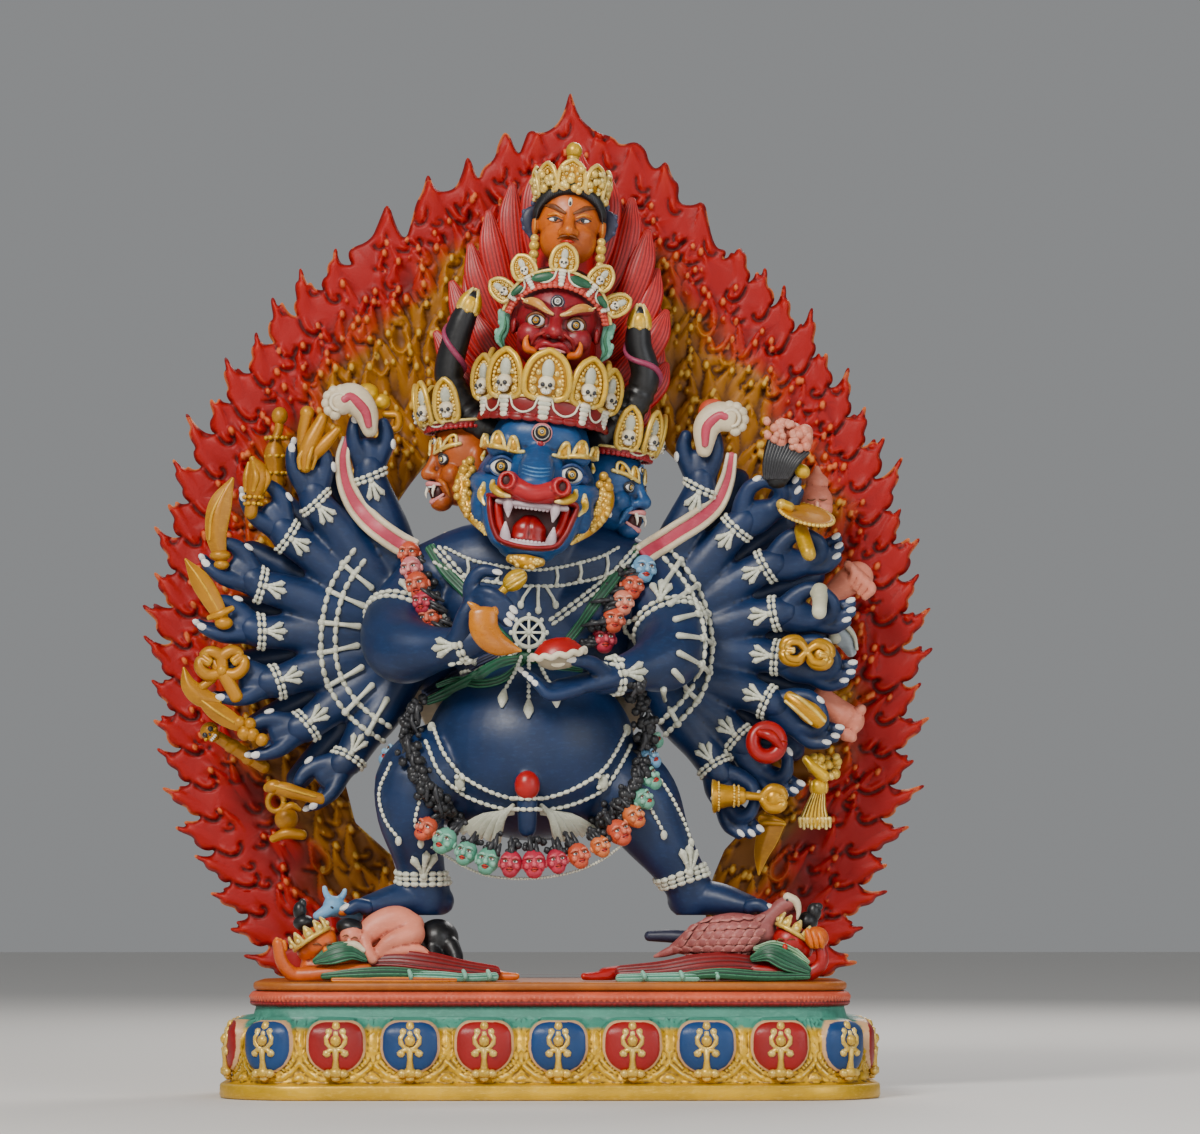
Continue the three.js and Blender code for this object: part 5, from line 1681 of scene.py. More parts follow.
        # wide eyes in darker blue sockets, painted shade, and the scalloped brows
        centre = face.at(side * 25.8, -0.4)
        for x, z, size in ((0, 0.4, (12.0, 3.2, 9.0)), (-9.5, -2.6, (5.2, 2.6, 3.6)),
                (8.5, -2.0, (5.4, 2.6, 4.4))):
            ball(head, "deepBlue", centre + (side * x, 1.2, z), size, 18, 12)
        ball(head, "purple", centre + (side * 0.6, 0.2, -0.8), (9.4, 2.8, 5.7), 18, 12)
        addEye(head, centre - (0, 1.4, 0), 7.2, (side * 0.14, -1, -0.02), lid="deepBlue")
        base = [(10.3, 11.4), (18, 12.2), (26, 13.8), (34, 14.6), (41.5, 16)]
        addBrow(head, face, side, base, [(18.5, 12.4, 22.6, 0.8, 4.4), (30.0, 14.2, 24.0, 1.2, 4.8),
            (40.4, 16.0, 25.4, 1.2, 3.4)])
        sweep(head, "paleGold", face.along(((40.5, 12.4), (41.6, 8.4), (41, 4.8)), 0.8, side), [1, 1.9, 0.7],
            [1, 1.2, 0.6], face=(0, -1, 0), sides=8, steps=7)
        sweep(head, "paleGold", [(side * 17, -64.5, -23.4), (side * 24, -63, -22.2), (side * 30, -58, -17.8),
            (side * 30.8, -57, -13.6)], [1.2, 2.8, 3.4, 1.8], steps=16)
        sweep(head, "paleGold", face.along(((34.6, -31), (37.4, -23), (37.2, -14.6)), 0.6, side),
            [0.9, 3.8, 1.4], [0.9, 1.9, 1.2], face=(0, -1, 0))
        ball(head, "gold", face.at(side * 37.0, -22, 2.2), (1.8, 1, 4.2), 10, 8)
        addBeard(head, [(side * 51, -16, 0), (side * 54, -20, -16), (side * 47, -26, -33),
            (side * 32, -37, -51)], [4.6, 6.4, 5.6, 1.6], dice)
        for x, z, size in ((50, 2.5, 3.6), (54, -5, 4.2), (48, -4, 3.4)):
            ball(head, "gold", (side * x, -21, z), size, 10, 8)
    for z in (-1, -4, -7):  # the wrinkles over the muzzle
        sweep(head, "faceBlue", [face.at(x, z + 0.02 * x * x, 0.2) for x in (-10, -5, 0, 5, 10)], [0.5, 1, 0.5],
            sides=8)
    centre = face.at(0.8, 27.5)
    ball(head, "pink", centre, (7.8, 2.6, 7.8), 24, 12)
    ball(head, "pink", centre - (0, 0, 6.8), (3.4, 2, 4), 12, 8)
    ball(head, "crimson", centre - (0, 1.4, 8), (2.2, 1.4, 2.2), 12, 8)
    addEye(head, centre - (0, 1.4, -0.2), 5.6, (0, -1, 0.1), rim="black")
    sweep(head, "gold", [(-12, -54, -68.5), (0, -60, -70), (12, -54, -68.5)], [3.2, 5.6, 3.2], [2.6, 3.2, 2.6],
        face=(0, -1, 0), steps=14)
    for _ in range(30):
        x = dice.uniform(-12, 12)
        z = -67 - dice.random() * (8.5 - 0.045 * x * x)
        ball(head, "gold", (x, -61 + 0.02 * x * x, z), 1.4 + 0.8 * dice.random(), 8, 6)
    leaves = [(0, 33, 36, True), (-38, 27, 35, True), (38, 27, 35, True), (-70, 25, 32, True),
        (70, 25, 32, True)]
    addCrown(head, ringCrown(46, 42, 38), 100, leaves, lambda degrees: 16.5 - 4 * (degrees / 90) ** 2, 17)
    for degrees in (-100, 100, -125, 125, 155, -155, 180):
        a = math.radians(degrees - 90)
        high = 34 if abs(degrees) < 110 else 28
        crownLeaf(head, spotFacing((40 * math.cos(a), 36 * math.sin(a), 56), (math.cos(a), math.sin(a), -0.1)),
            22, high, skull=False)
    ball(head, "black", (0, 2, 46), (42, 38, 16), 24, 14)
    form.join(head, Spot(mainHead["place"], turnMatrix(y=mainHead["roll"])))


def makeHorn(form, points):
    place = np.linspace(0, 1, 80)
    wide = np.interp(place, [0, 0.3, 0.62, 0.86, 1], [13.0, 12.2, 10.8, 9.8, 7.0])
    rings = np.abs(np.sin(place * np.pi * 15)) ** 0.5
    wide = wide - 1.5 * (1 - rings) * (place < 0.5)
    sweep(form, "black", points, wide, sides=20, steps=110)
    core = evenPath(points, 60)
    along = unit(np.gradient(core, axis=0))
    coil = []
    for k in range(22, 57):
        share = k / 59
        a = math.radians(-170 + (share - 0.36) * 860)
        side = unit(np.cross(along[k], (0, -1, 0)))
        front = np.cross(side, along[k])
        coil.append(core[k] + (side * math.cos(a) + front * math.sin(a)) * np.interp(share, place, wide))
    sweep(form, "purple", coil, [1.6, 2.4, 2, 1], sides=10, steps=60)
    ball(form, "purple", coil[0], 3.4, 12, 8)
    tip = np.asarray(points[-1], float)
    way = unit(tip - np.asarray(points[-2], float))
    side = unit(np.cross(way, (0, -1, 0)))
    for k in range(6):  # the jagged cap
        a = 2 * math.pi * k / 6 + 0.5
        out = side * math.cos(a) + np.cross(side, way) * math.sin(a)
        length = 4 if k % 2 else 8
        sweep(form, "paleGold", [tip - way * 8 + out * 7.8, tip - way * 1 + out * 6.6,
            tip + way * length + out * 2.6], [4.6, 4.2, 1.4], [2, 2, 1], face=out, sides=10, steps=9)
        ball(form, "gold", tip - way * 8.8 + out * 7.9, (2.2, 2.2, 2.2), 8, 6)
    ball(form, "paleGold", tip - way * 1.5, 6.0, 14, 10)


def faceSource(source, paint, cheek=1.0):  # a broad face of half width 30
    ball(source, paint, (0, 4, 6), (31, 31, 33), 28, 20)
    ball(source, paint, (0, -2, -16), (28, 27, 22), 24, 18)
    for side in (-1, 1):
        ball(source, paint, (side * 17, -17.5, -12), (10 * cheek, 9 * cheek, 9 * cheek), 16, 12)
        ball(source, paint, (side * 31.5, 4, -1), (3.6, 7, 11), 14, 10)
        ball(source, paint, (side * 5.4, -30, -11), (4.8, 4.6, 3.9), 14, 10)
    sweep(source, paint, [(0, -24, 10), (0, -29, -2), (0, -34, -9.5)], [3.6, 4.4, 6], [4, 5, 6], sides=14)
    ball(source, paint, (0, -22, -34), (12, 10, 8), 16, 12)


def makeRedHead(form):
    head = Form()
    source = Form()
    faceSource(source, "redFace", 1.12)
    for side in (-1, 1):
        sweep(source, "redFace", [(side * 25, -16, 11.5), (side * 14, -25, 9), (side * 4, -27.5, 4)], [3, 4, 3])
    face = addSkin(head, source, redHead["voxel"], "redFace", 3)
    for side in (-1, 1):
        centre = face.at(side * 14.6, -1.8, 0.2)
        ball(head, "mouth", centre + (0, 1.4, 0.6), (8.6, 2.2, 6.4), 18, 12)
        addEye(head, centre - (0, 0.8, 0), 5.3, (side * 0.14, -1, -0.05), lid="umber", iris="ochre")
        brow = face.along(((3.0, 3.4), (8, 5.8), (14, 9.4), (19, 11.2), (24.5, 11.4)), 1.4, side)
        sweep(head, "brow", brow, [1.2, 2.3, 3.2, 3, 1.6], [1.4, 1.8, 2, 1.8, 1.2], face=(0, -1, 0), steps=20)
        for k in range(5):
            foot = toward(brow[1], brow[4], k / 4)
            sweep(head, "paleGold", [foot - (side * 2, 1.6, 1), foot + (side * 2.2, -1.8, 1.4)], [0.5, 0.7],
                sides=6, steps=4)
        sweep(head, "orange", [(side * 14, -27, -25.5), (side * 19, -29.5, -24), (side * 20.5, -29, -18),
            (side * 19.6, -28, -14.5)], [3.2, 3.2, 2.4, 0.7], steps=14)
        flap = [(side * 35, 2, 9), (side * 39.5, -1, 2), (side * 38, -1, -8), (side * 40.5, -1, -16),
            (side * 37, 0, -23)]
        sweep(head, "leafTeal", flap, [1.2, 4.6, 3.8, 4.4, 1.4], [1.4, 2.2, 2, 2, 1.2], face=(0, -1, 0),
            steps=22)
        for x, z in ((42.8, 3), (41.8, -4), (43.4, -12), (41.6, -18)):
            ball(head, "leafTeal", (side * x, -1, z), (1.9, 1.6, 2.8), 8, 6)
        sweep(head, "green", [(x * 0.99, y - 1.8, z) for x, y, z in flap[1:]], [0.6, 1.4, 0.6], sides=6,
            steps=10)
        ball(head, "mouth", (side * 4.4, -36.6, -13.6), (1.8, 1.2, 1.3), 8, 6)
        sweep(head, "redFace", face.along(((7.5, -11), (13.5, -14), (16.5, -22)), 0.4, side), [0.8, 1.8, 0.8],
            sides=8, steps=10)
        ball(head, "crimson", (side * 31, -8, -6), (2, 2.6, 5.6), 10, 8)
    sweep(head, "redFace", [(-13, -26, -24), (-6, -31, -19), (0, -32, -20), (6, -31, -19), (13, -26, -24)],
        [1.8, 3, 2.4, 3, 1.8], steps=20)
    ball(head, "mouth", (0, -27, -27), (11, 5, 6), 18, 12)
    sweep(head, "pink", [(-9, -30, -23.4), (0, -33, -22.6), (9, -30, -23.4)], 1.1, sides=8)
    for k in range(6):
        ball(head, "white", (-6.0 + 2.4 * k, -32.4 + 0.03 * (-6.0 + 2.4 * k) ** 2, -25.2), (1.1, 1.1, 1.7), 8,
            6)
    sweep(head, "crimson", [(-12, -26, -28), (0, -31, -34), (12, -26, -28)], [1.4, 2.6, 1.4], sides=10,
        steps=14)
    centre = face.at(-0.8, 13.6, 0.2)
    addEye(head, centre, 4.3, (0, -1, 0.12), iris="white", rim="dusk")

    def arch(degrees):
        a = math.radians(degrees)
        place = np.array([35.5 * math.sin(a), -27 + 20 * math.sin(a) ** 2, 25.5 * math.cos(a)])
        facing = unit((0.35 * math.sin(a), -1, 0.15))
        return place, facing, unit((1.15 * math.sin(a), -0.1, 1.2 * math.cos(a)))
    leaves = [(0, 19, 20, True), (-34, 17, 18, True), (34, 17, 18, True), (-62, 15, 19, True),
        (62, 15, 19, True)]
    addCrown(head, arch, 82, leaves, lambda degrees: np.interp(abs(degrees), [0, 40, 70], [12.5, 10.5, 5.0]),
        27, frill="coral", band="coral", plates="green")
    ball(head, "black", (0, 6, 24), (33, 27, 20), 24, 14)
    form.join(head, Spot(redHead["place"], turnMatrix(y=redHead["roll"])))


def makeTopHead(form):
    head = Form()
    source = Form()
    faceSource(source, "amber", 0.62)
    ball(source, "amber", (0, -8, -12), (25, 22, 19), 24, 18)
    points, faces = blended("part", source, 1.3, 7)
    points = points * (0.78, 0.72, 0.84) + (0, 0, -1)
    head.add(points, faces, "amber")
    face = Skin((points, faces))
    for side in (-1, 1):
        centre = face.at(side * 10.6, -0.4, -0.9)
        ball(head, "white", centre, (5, 1.7, 1.5), 16, 10)
        ball(head, "black", centre - (0, 1, -0.1), (1.9, 1, 1.4), 10, 8)
        for low, paint, wide in ((1.5, "black", 0.75), (-1.5, "umber", 0.4)):
            sweep(head, paint, face.along(((5, -0.9), (10.4, low * 1.25 - 0.4), (16.2, 0.5)), 0.5, side),
                [wide * 0.5, wide, wide * 0.5], sides=8)
        sweep(head, "amber", face.along(((5.4, 1.8), (10.5, 4.2), (16.4, 3)), 0.2, side), [0.7, 1.5, 0.7],
            sides=8)
        sweep(head, "umber", face.along(((2.8, 4.4), (6.5, 6.4), (12, 9.4), (18.8, 10.6)), 0.7, side),
            [0.9, 1.9, 1.9, 0.6], [0.9, 1.1, 1, 0.6], face=(0, -1, 0), sides=8, steps=16)
        ball(head, "amber", (side * 25.0, 2, -3), (3.2, 4, 9), 12, 9)
        ball(head, "brown", (side * 25.4, -1.2, -3), (1.3, 1.6, 5.8), 10, 8)
        for z, size in ((-14, 3.4), (-19.5, 4.2), (-26, 3.8), (-31.5, 3.0)):
            ball(head, "paleGold", (side * 25.0, -4, z), (size, size * 0.8, size), 12, 9)
        flap = [(side * 24, 8, 12), (side * 30.5, 7, 6), (side * 31, 7, -3), (side * 27, 8, -13)]
        sweep(head, "dusk", flap, [1.4, 4.8, 4.4, 1.2], [1.4, 2, 2, 1.2], face=(0, -1, 0), steps=16)
        for x, z in ((34.4, 7), (35, 1), (33.6, -5), (28, 14)):
            ball(head, "dusk", (side * x, 7, z), (2, 1.6, 2.4), 8, 6)
        sweep(head, "umber", [(side * 0.8, -25.9, -12.9), (side * 4.6, -25, -13.6), (side * 8.0, -22.6, -15.6)],
            [0.5, 0.9, 0.4], sides=8, steps=9)
    sweep(head, "red", [(-4.6, -23.6, -17.4), (0, -25.4, -17.2), (4.6, -23.6, -17.4)], [0.6, 1.4, 0.6], sides=8,
        steps=10)
    centre = face.at(0, 13, 0.2)
    ball(head, "ivory", centre, (1.6, 0.9, 3.8), 10, 8)
    ball(head, "black", centre - (0, 0.6, 0.8), (1.1, 0.8, 1.8), 8, 6)
    # the hair over the brow, in a high arch, and a green band on it
    arch = []
    for a in np.linspace(-14, 194, 17):
        turn = math.radians(a)
        arch.append((25.0 * math.cos(turn), 3 - 17 * max(math.sin(turn), 0) ** 0.6, 2 + 21.5 * math.sin(turn)))
    sweep(head, "black", arch, [2.8, 4, 4.6, 4, 2.8], steps=50)
    for place in evenPath(arch, 60)[4:-4]:
        sweep(head, "black", [place - (0, 4.2, 2.2), place + (0, -3.6, 2.8)], [0.5, 0.7], sides=6, steps=4)
    ball(head, "black", (0, 9, 14), (25.5, 21, 19), 22, 14)
    sweep(head, "green", [(-15, -13.5, 23), (0, -18, 27.2), (15, -13.5, 23)], [1.6, 2.4, 1.6], sides=10,
        steps=16)
    # the crown: knobbly gold clusters round a tall middle one with a ball on top
    dice = np.random.default_rng(12)
    for degrees, wide, high in ((0, 20, 22), (-40, 17, 21), (40, 17, 21), (-76, 15, 19), (76, 15, 19),
            (-110, 15, 19), (110, 15, 19), (180, 15, 19), (145, 15, 19), (-145, 15, 19)):
        a = math.radians(degrees - 90)
        base = np.array([25 * math.cos(a), 3 + 22 * math.sin(a), 23 - 7 * (abs(degrees) / 84) ** 2
            * (abs(degrees) < 90)])
        spot = spotFacing(base, (math.cos(a), math.sin(a), -0.15))
        crownLeaf(head, spot, wide, high, skull=False)
        for _ in range(9):
            x, z = dice.uniform(-0.4, 0.4) * wide, dice.uniform(-0.05, 0.75) * high
            ball(head, "paleGold", spot(np.array([[x, -2, z]]))[0], dice.uniform(2.0, 3.4), 10, 7)
    ball(head, "gold", (0, 3, 31), (22, 20, 10), 18, 10)
    lathe(head, "paleGold", [(13, 0), (14, 4), (11, 8), (9, 11), (7.4, 14), (6.4, 17), (4.4, 20), (4.8, 22),
        (3.8, 24), (0, 24)], (0, -4, 27), (0, 0, 1), 24)
    for k in range(10):
        a = 2 * math.pi * k / 10
        ball(head, "gold", (11.5 * math.cos(a), 11.5 * math.sin(a) - 4, 35), (2.4, 2.4, 3), 8, 6)
    ball(head, "paleGold", (0.4, -4, 54), (6.2, 6, 6.6), 20, 14)
    form.join(head, Spot(topHead["place"], turnMatrix(y=topHead["roll"])))


def makeSideHead(form, place, turn, roll, paint, brow):
    head = Form()
    source = Form()
    faceSource(source, paint)
    points, faces = blended("part", source, 1.5, 3)
    points = points * (0.98, 1.0, 1.06)
    head.add(points, faces, paint)
    face = Skin((points, faces))
    for side in (-1, 1):
        centre = face.at(side * 14, 1.5, 0.2)
        addEye(head, centre, 4.4, (side * 0.35, -1, 0), lid="black")
        addBrow(head, face, side, [(4.5, 7.0), (12, 9.6), (20, 12.4), (26, 13.6)],
            [(9.5, 8.8, 19.5, 0.5, 4.4), (19.5, 12.2, 21.5, 1.5, 4.6)], thick=1.3, fill=brow)
        sweep(head, "ivory", [(side * 8, -31, -22), (side * 8.6, -33, -27), (side * 8.0, -33, -31)],
            [1.8, 1.3, 0.4], sides=8, steps=7)
        sweep(head, paint, [(side * 12, -27, -17), (side * 18, -25, -22), (side * 19, -21, -32)],
            [1.6, 2.4, 0.8], sides=8, steps=10)
        ball(head, "ivory", (side * 27, -14, -26), (2.4, 2, 2.8), 10, 8)
    sweep(head, "pink", [(-12, -25, -21), (0, -33.5, -19), (12, -25, -21)], [1.3, 2.4, 1.3], sides=10, steps=14)
    ball(head, "mouth", (0, -26, -27), (10, 6, 8), 16, 10)
    sweep(head, "pink", [(-11, -24, -30), (0, -31, -35.5), (11, -24, -30)], [1.3, 2.4, 1.3], sides=10, steps=14)
    sweep(head, "white", [(-7, -30, -22.6), (0, -33, -21.6), (7, -30, -22.6)], 1.2, sides=8)
    centre = face.at(0, 19)
    addEye(head, centre, 3.8, (0, -1, 0.1), lid=paint)
    side = -1 if turn < 0 else 1
    leaves = [(-side * degrees, 21, 38, True) for degrees in (50, 8, -34, -78, -120)]
    addCrown(head, ringCrown(33, 29, 29, 1.0, 0.42), 130, leaves, lambda degrees: 6.0, 31, stalks=False)
    ball(head, "black", (0, 2, 34), (28, 29, 12), 20, 12)
    form.join(head, Spot(place, turnMatrix(y=roll) @ turnMatrix(z=turn) * 0.84))


def makeHeads():
    form = Form()
    makeMainHead(form)
    makeHorn(form, [(-40, -26, 496), (-62, -28, 511), (-76, -32, 538), (-70, -36, 569), (-59, -40, 596)])
    makeHorn(form, [(36, -26, 492), (56, -28, 508), (71, -32, 537), (66, -36, 562), (67, -40, 584)])
    finishPiece("main_head", form, [])
    upper = Form()
    makeRedHead(upper)
    sweep(upper, "hair", [(-2, 0, 500), (4, 0, 560), (10, 0, 640)], [30, 30, 22], sides=16, steps=16)
    finishPiece("red_head", upper, [])
    top = Form()
    makeTopHead(top)
    finishPiece("top_head", top, [])
    sides = Form()
    makeSideHead(sides, (-67, -12, 476), -68, -4, "sunFace", "ochre")
    makeSideHead(sides, (47, -8, 456), 64, 8, "faceBlue", "ochre")
    finishPiece("side_heads", sides, [])


makeHeads()


# Hair: two rows of pointed, combed locks fan out behind the upper heads

hair = {"grooves": 7, "wide": 10.5, "thick": 5.5}
lockTips = [(-87, 576), (-75, 614), (-61, 643), (-47, 668), (-29, 689), (-8, 703), (20, 716), (44, 696),
    (62, 678), (74, 653), (81, 624), (88, 592), (88, 552)]
lockRoots = [(-30, 520), (-28, 541), (-24, 560), (-20, 580), (-14, 600), (-4, 618), (12, 628), (26, 612),
    (36, 598), (42, 578), (46, 560), (48, 540), (48, 514)]


def combed(turn):
    x = np.cos(turn)
    y = np.sin(turn)
    return x, y * (0.9 + 0.1 * np.cos(x * math.pi * hair["grooves"]))


def addLock(form, root, tip, depth, wide, bow):
    root = np.array([root[0], depth + 5, root[1]], float)
    tip = np.array([tip[0], depth, tip[1]], float)
    way = tip - root
    side = unit(np.cross(way, (0, 1, 0))) * bow
    points = [root, toward(root, tip, 0.35) + side * 0.9 - (0, 5, 0), toward(root, tip, 0.72) + side * 0.7
        - (0, 5, 0), tip]
    thick = hair["thick"]
    sweep(form, "hair", points, [wide * 0.55, wide * 0.86, wide, wide * 0.94, wide * 0.28],
        [thick * 0.8, thick, thick, thick * 0.8, thick * 0.4], face=(0, -1, 0), sides=52, steps=26,
        section=combed)


def makeHair():
    form = Form()
    for i, (root, tip) in enumerate(zip(lockRoots, lockTips)):
        side = -1 if i < 6 else 1
        addLock(form, root, tip, 14 - 3 * (i % 2), hair["wide"], side * -7)
    for i in range(len(lockTips) - 1):
        tip = (np.array(lockTips[i]) + np.array(lockTips[i + 1])) / 2
        root = (np.array(lockRoots[i]) + np.array(lockRoots[i + 1])) / 2
        tip = root + (tip - root) * 0.9
        addLock(form, root, tip, 24, hair["wide"] * 1.05, (1 if i < 6 else -1) * 6)
    for tip, root in (((-70, 548), (-24, 500)), ((-58, 590), (-20, 540)), ((74, 520), (44, 500)),
            ((66, 562), (34, 530))):
        addLock(form, root, tip, 4, 9, 5 if tip[0] < 0 else -5)
    ball(form, "hair", (6, 26, 580), (52, 14, 84), 24, 16)
    finishPiece("hair_locks", form, [], softening=0)


makeHair()


# Elephant hide: a split strip runs from each shoulder up to a foot held in the highest hand

hide = {"wide": 6.6, "fold": 2.2}
hideStrips = [{"path": [(-154, 494), (-157, 480), (-155, 462), (-148, 446), (-135, 430), (-118, 417),
    (-104, 409)], "foot": [(-160, 520), (-150, 524), (-140, 514), (-136, 499)], "round": (-159, 520),
    "turn": 150}, {"path": [(137, 482), (134, 464), (126, 446), (112, 433), (95, 422), (78, 411), (70, 405)],
    "foot": [(136, 508), (127, 510), (118, 502), (116, 484)], "round": (136, 508), "turn": 30},]


def hangingFolds(turn):
    x = np.cos(turn)
    return x, np.sin(turn) * (0.62 + 0.38 * np.cos(x * math.pi * 7.5)) + 0.9 * np.cos(x * math.pi * 3.5)


def addHideBack(form):  # the skin hangs down the back in folds, its edge turned over
    down = [(-15, 33, 424), (-16, 49, 380), (-15, 54, 330), (-14, 52, 280), (-14, 44, 238)]
    sweep(form, "hideCream", down, [66, 92, 96, 84, 52], [3, 3.6, 4, 4, 3], face=(0, 1, 0), sides=150, steps=44,
        section=hangingFolds)
    sweep(form, "hidePink", [(-74, 30, 420), (-40, 40, 426), (-15, 42, 424), (14, 40, 424), (46, 28, 416)],
        [4, 6, 6.5, 6, 4], sides=16, steps=40)


def makeHide():
    form = Form()
    for strip in hideStrips:
        path = evenPath(strip["path"], 26)
        lifted = np.array([skin.front(x, z, 0, 2)[0] for x, z in path])
        lifted[:, 1] = np.minimum(lifted[:, 1], 6) - 3.5
        for _ in range(4):
            lifted[1:-1, 1] = (lifted[:-2, 1] + lifted[1:-1, 1] * 2 + lifted[2:, 1]) / 4
        wide = hide["wide"]
        sweep(form, "hidePink", lifted, [wide * 0.5, wide * 0.8, wide, wide * 1.1, wide * 1.15],
            [hide["fold"]] * 5, face=(0, -1, 0), sides=22, steps=46)
        way = unit(np.gradient(lifted, axis=0))
        across = unit(np.cross(way, (0, -1, 0)))
        share = np.linspace(0, 1, len(lifted))[:, None]
        for side in (-1, 1):
            edge = lifted + across * side * wide * (0.45 + 0.5 * np.minimum(share * 2, 1)) - (0, 1.6, 0)
            sweep(form, "hideCream", edge, [1.3, 2.2, 2.5, 2.5], [1.6, 2.4, 2.6, 2.4], face=(0, -1, 0),
                steps=46)
        foot = [np.array([x, -17 + 2 * k, z], float) for k, (x, z) in enumerate(strip["foot"])]
        limb = Form()
        sweep(limb, "hideCream", foot, [10.5, 11.5, 9.5, 6], [7, 7.5, 7, 5], face=(0, -1, 0), sides=20,
            steps=24)
        form.add(*blended("foot", limb, 1.3, 2), "hideCream")
        sole = [toward(foot[0], foot[1], 0.45), foot[1], foot[2], toward(foot[2], foot[3], 0.75)]
        sole = [p - (0, 5.6, 0) for p in sole]
        sweep(form, "hidePink", sole, [3.2, 4, 3.8, 2.6], [3, 3, 3, 2.4], face=(0, -1, 0), sides=16, steps=20)
        centre = np.array([strip["round"][0], -17, strip["round"][1]], float)
        for k in range(7):
            a = math.radians(strip["turn"] + (k - 3) * 33)
            out = np.array([math.cos(a), 0, math.sin(a)])
            ball(form, "hideCream", centre + out * 9.5, (4.4, 4.2, 4.4), 14, 10)
        ridge = [centre + np.array([math.cos(a), 0, math.sin(a)]) * 6.3 - (0, 5.2, 0)
            for a in np.radians(strip["turn"] + np.linspace(-110, 110, 11))]
        sweep(form, "hideCream", ridge, [1.1, 1.5, 1.5, 1.1], sides=8, steps=24)
    ball(form, "salmon", (123, 2, 515), (11, 7, 10), 18, 12)
    ball(form, "paleGold", (-139, 6, 529), (9, 6, 8), 16, 12)
    ball(form, "paleGold", (-128, 8, 523), (7, 5, 6), 14, 10)
    sweep(form, "ochre", [(-125, 6, 513), (-116, 5, 512), (-116, 5, 503), (-125, 6, 501)], [3, 3.4, 3.4, 3],
        steps=16)
    sweep(form, "skinPink", [(-126, 10, 500), (-124, 9, 488), (-130, 9, 478)], [4, 5.6, 3])
    addHideBack(form)
    finishPiece("elephant_hide", form, [])


makeHide()


# Bead ropes, straps and scarves laid on the skin

jewels = {"bead": 1.75, "stretch": 1.75, "lift": 0.9}


def onSkin(points, lift=None):
    lift = jewels["lift"] if lift is None else lift
    return [skin.front(x, z, lift, -40)[0] for x, z in points]


def layPair(form, points, gap, size=None):  # two ropes side by side
    flat = evenPath(points, 24)
    way = unit(np.gradient(flat, axis=0))
    across = np.stack([-way[:, 1], way[:, 0]], axis=1)
    for side in (-0.5, 0.5):
        line = onSkin(flat + across * gap * side)
        beadLine(form, "rope", line, size or jewels["bead"], 0.9, jewels["stretch"], 8, 6)


def addSpray(form, place, way, normal, size=1):  # three buds on stalks
    way, normal = unit(way), unit(normal)
    way = unit(way - normal * np.dot(way, normal))
    across = np.cross(normal, way)
    for k in (-1, 0, 1):
        turn = math.radians(k * 26)
        out = way * math.cos(turn) + across * math.sin(turn)
        length = (13.5 if k == 0 else 12.0) * size
        points = [place + normal * 0.8, place + out * length * 0.5 + normal * 1.2,
            place + out * length + normal * 0.9]
        points = [points[0]] + [skin.near(p, 1.3 * size)[0] for p in points[1:]]
        sweep(form, "rope", points, [1.4 * size, 1.3 * size, 2.5 * size], sides=10, steps=9)
        ball(form, "rope", toward(points[1], points[2], 0.1), 1.6 * size, 8, 6)
        end = points[2] + out * 2.6 * size
        sweep(form, "rope", [points[2], end], [2.3 * size, 0.7 * size], sides=10, steps=4)
    ball(form, "rope", place + normal * 1.4, 2.3 * size, 10, 8)


def bracelet(form, centre, axis, reach, toShoulder, rows=2, gap=3.6, size=1):
    axis = unit(axis)
    seed = np.array([0, -1.0, 0])
    front = unit(seed - axis * np.dot(seed, axis))
    side = np.cross(axis, front)
    for row in range(rows):
        middle = np.asarray(centre, float) + axis * (row - (rows - 1) / 2) * gap
        ring = []
        for a in np.linspace(0, 2 * np.pi, 22, endpoint=False):
            point = middle + (front * math.cos(a) + side * math.sin(a)) * reach
            near = skin.near(point, 0.7)[0]
            if np.linalg.norm(near - point) > reach * 0.55:
                near = point
            ring.append(near)
        beadLine(form, "rope", ring + [ring[0]], jewels["bead"] * size, 0.92, 1.5, 8, 6)
    place, normal = skin.near(np.asarray(centre, float) + front * reach, 0.6)
    addSpray(form, place + unit(toShoulder) * 2.5, toShoulder, normal, size)


def makeFanJewels(form):
    for fan in (leftFan, rightFan):
        centre = np.array(fan["centre"], float)
        for i in range(8):
            wrist = wristPlace(fan, i)[0]
            bracelet(form, wrist, wrist - centre, 15, centre - wrist)
    arcs = [[(-149, 408), (-164, 386), (-171, 362), (-173, 337), (-170, 315), (-161, 296), (-146, 279),
        (-127, 266)], [(90, 410), (105, 392), (116, 371), (122, 345), (121, 322), (115, 302), (104, 287),
        (88, 271)]]
    for arc, fan in zip(arcs, (leftFan, rightFan)):
        middle = np.array(fan["centre"])[[0, 2]]
        outer, inner = [[middle + (np.array(p) - middle) * share for p in arc] for share in (1, 0.865)]
        for line in (outer, inner):
            beadLine(form, "rope", evenPath(onSkin(evenPath(line, 30)), 60), 2.2, 0.92, 1.7, 8, 6)
        steps = evenPath(outer, 8)
        for start, end in zip(steps[:-1], steps[1:]):
            mid = (start + end) / 2
            out = unit(mid - middle)
            link = onSkin([mid + out * 1, mid - out * 10, mid - out * 20, mid - out * 27], 1.6)
            sweep(form, "rope", link[:2], 2.0, sides=8, steps=6)
            sweep(form, "rope", link[1:], [1.6, 1.8, 2.6], sides=10, steps=10)
            ball(form, "rope", link[0], 3.0, 10, 8)
            ball(form, "rope", link[1], 2.8, 10, 8)


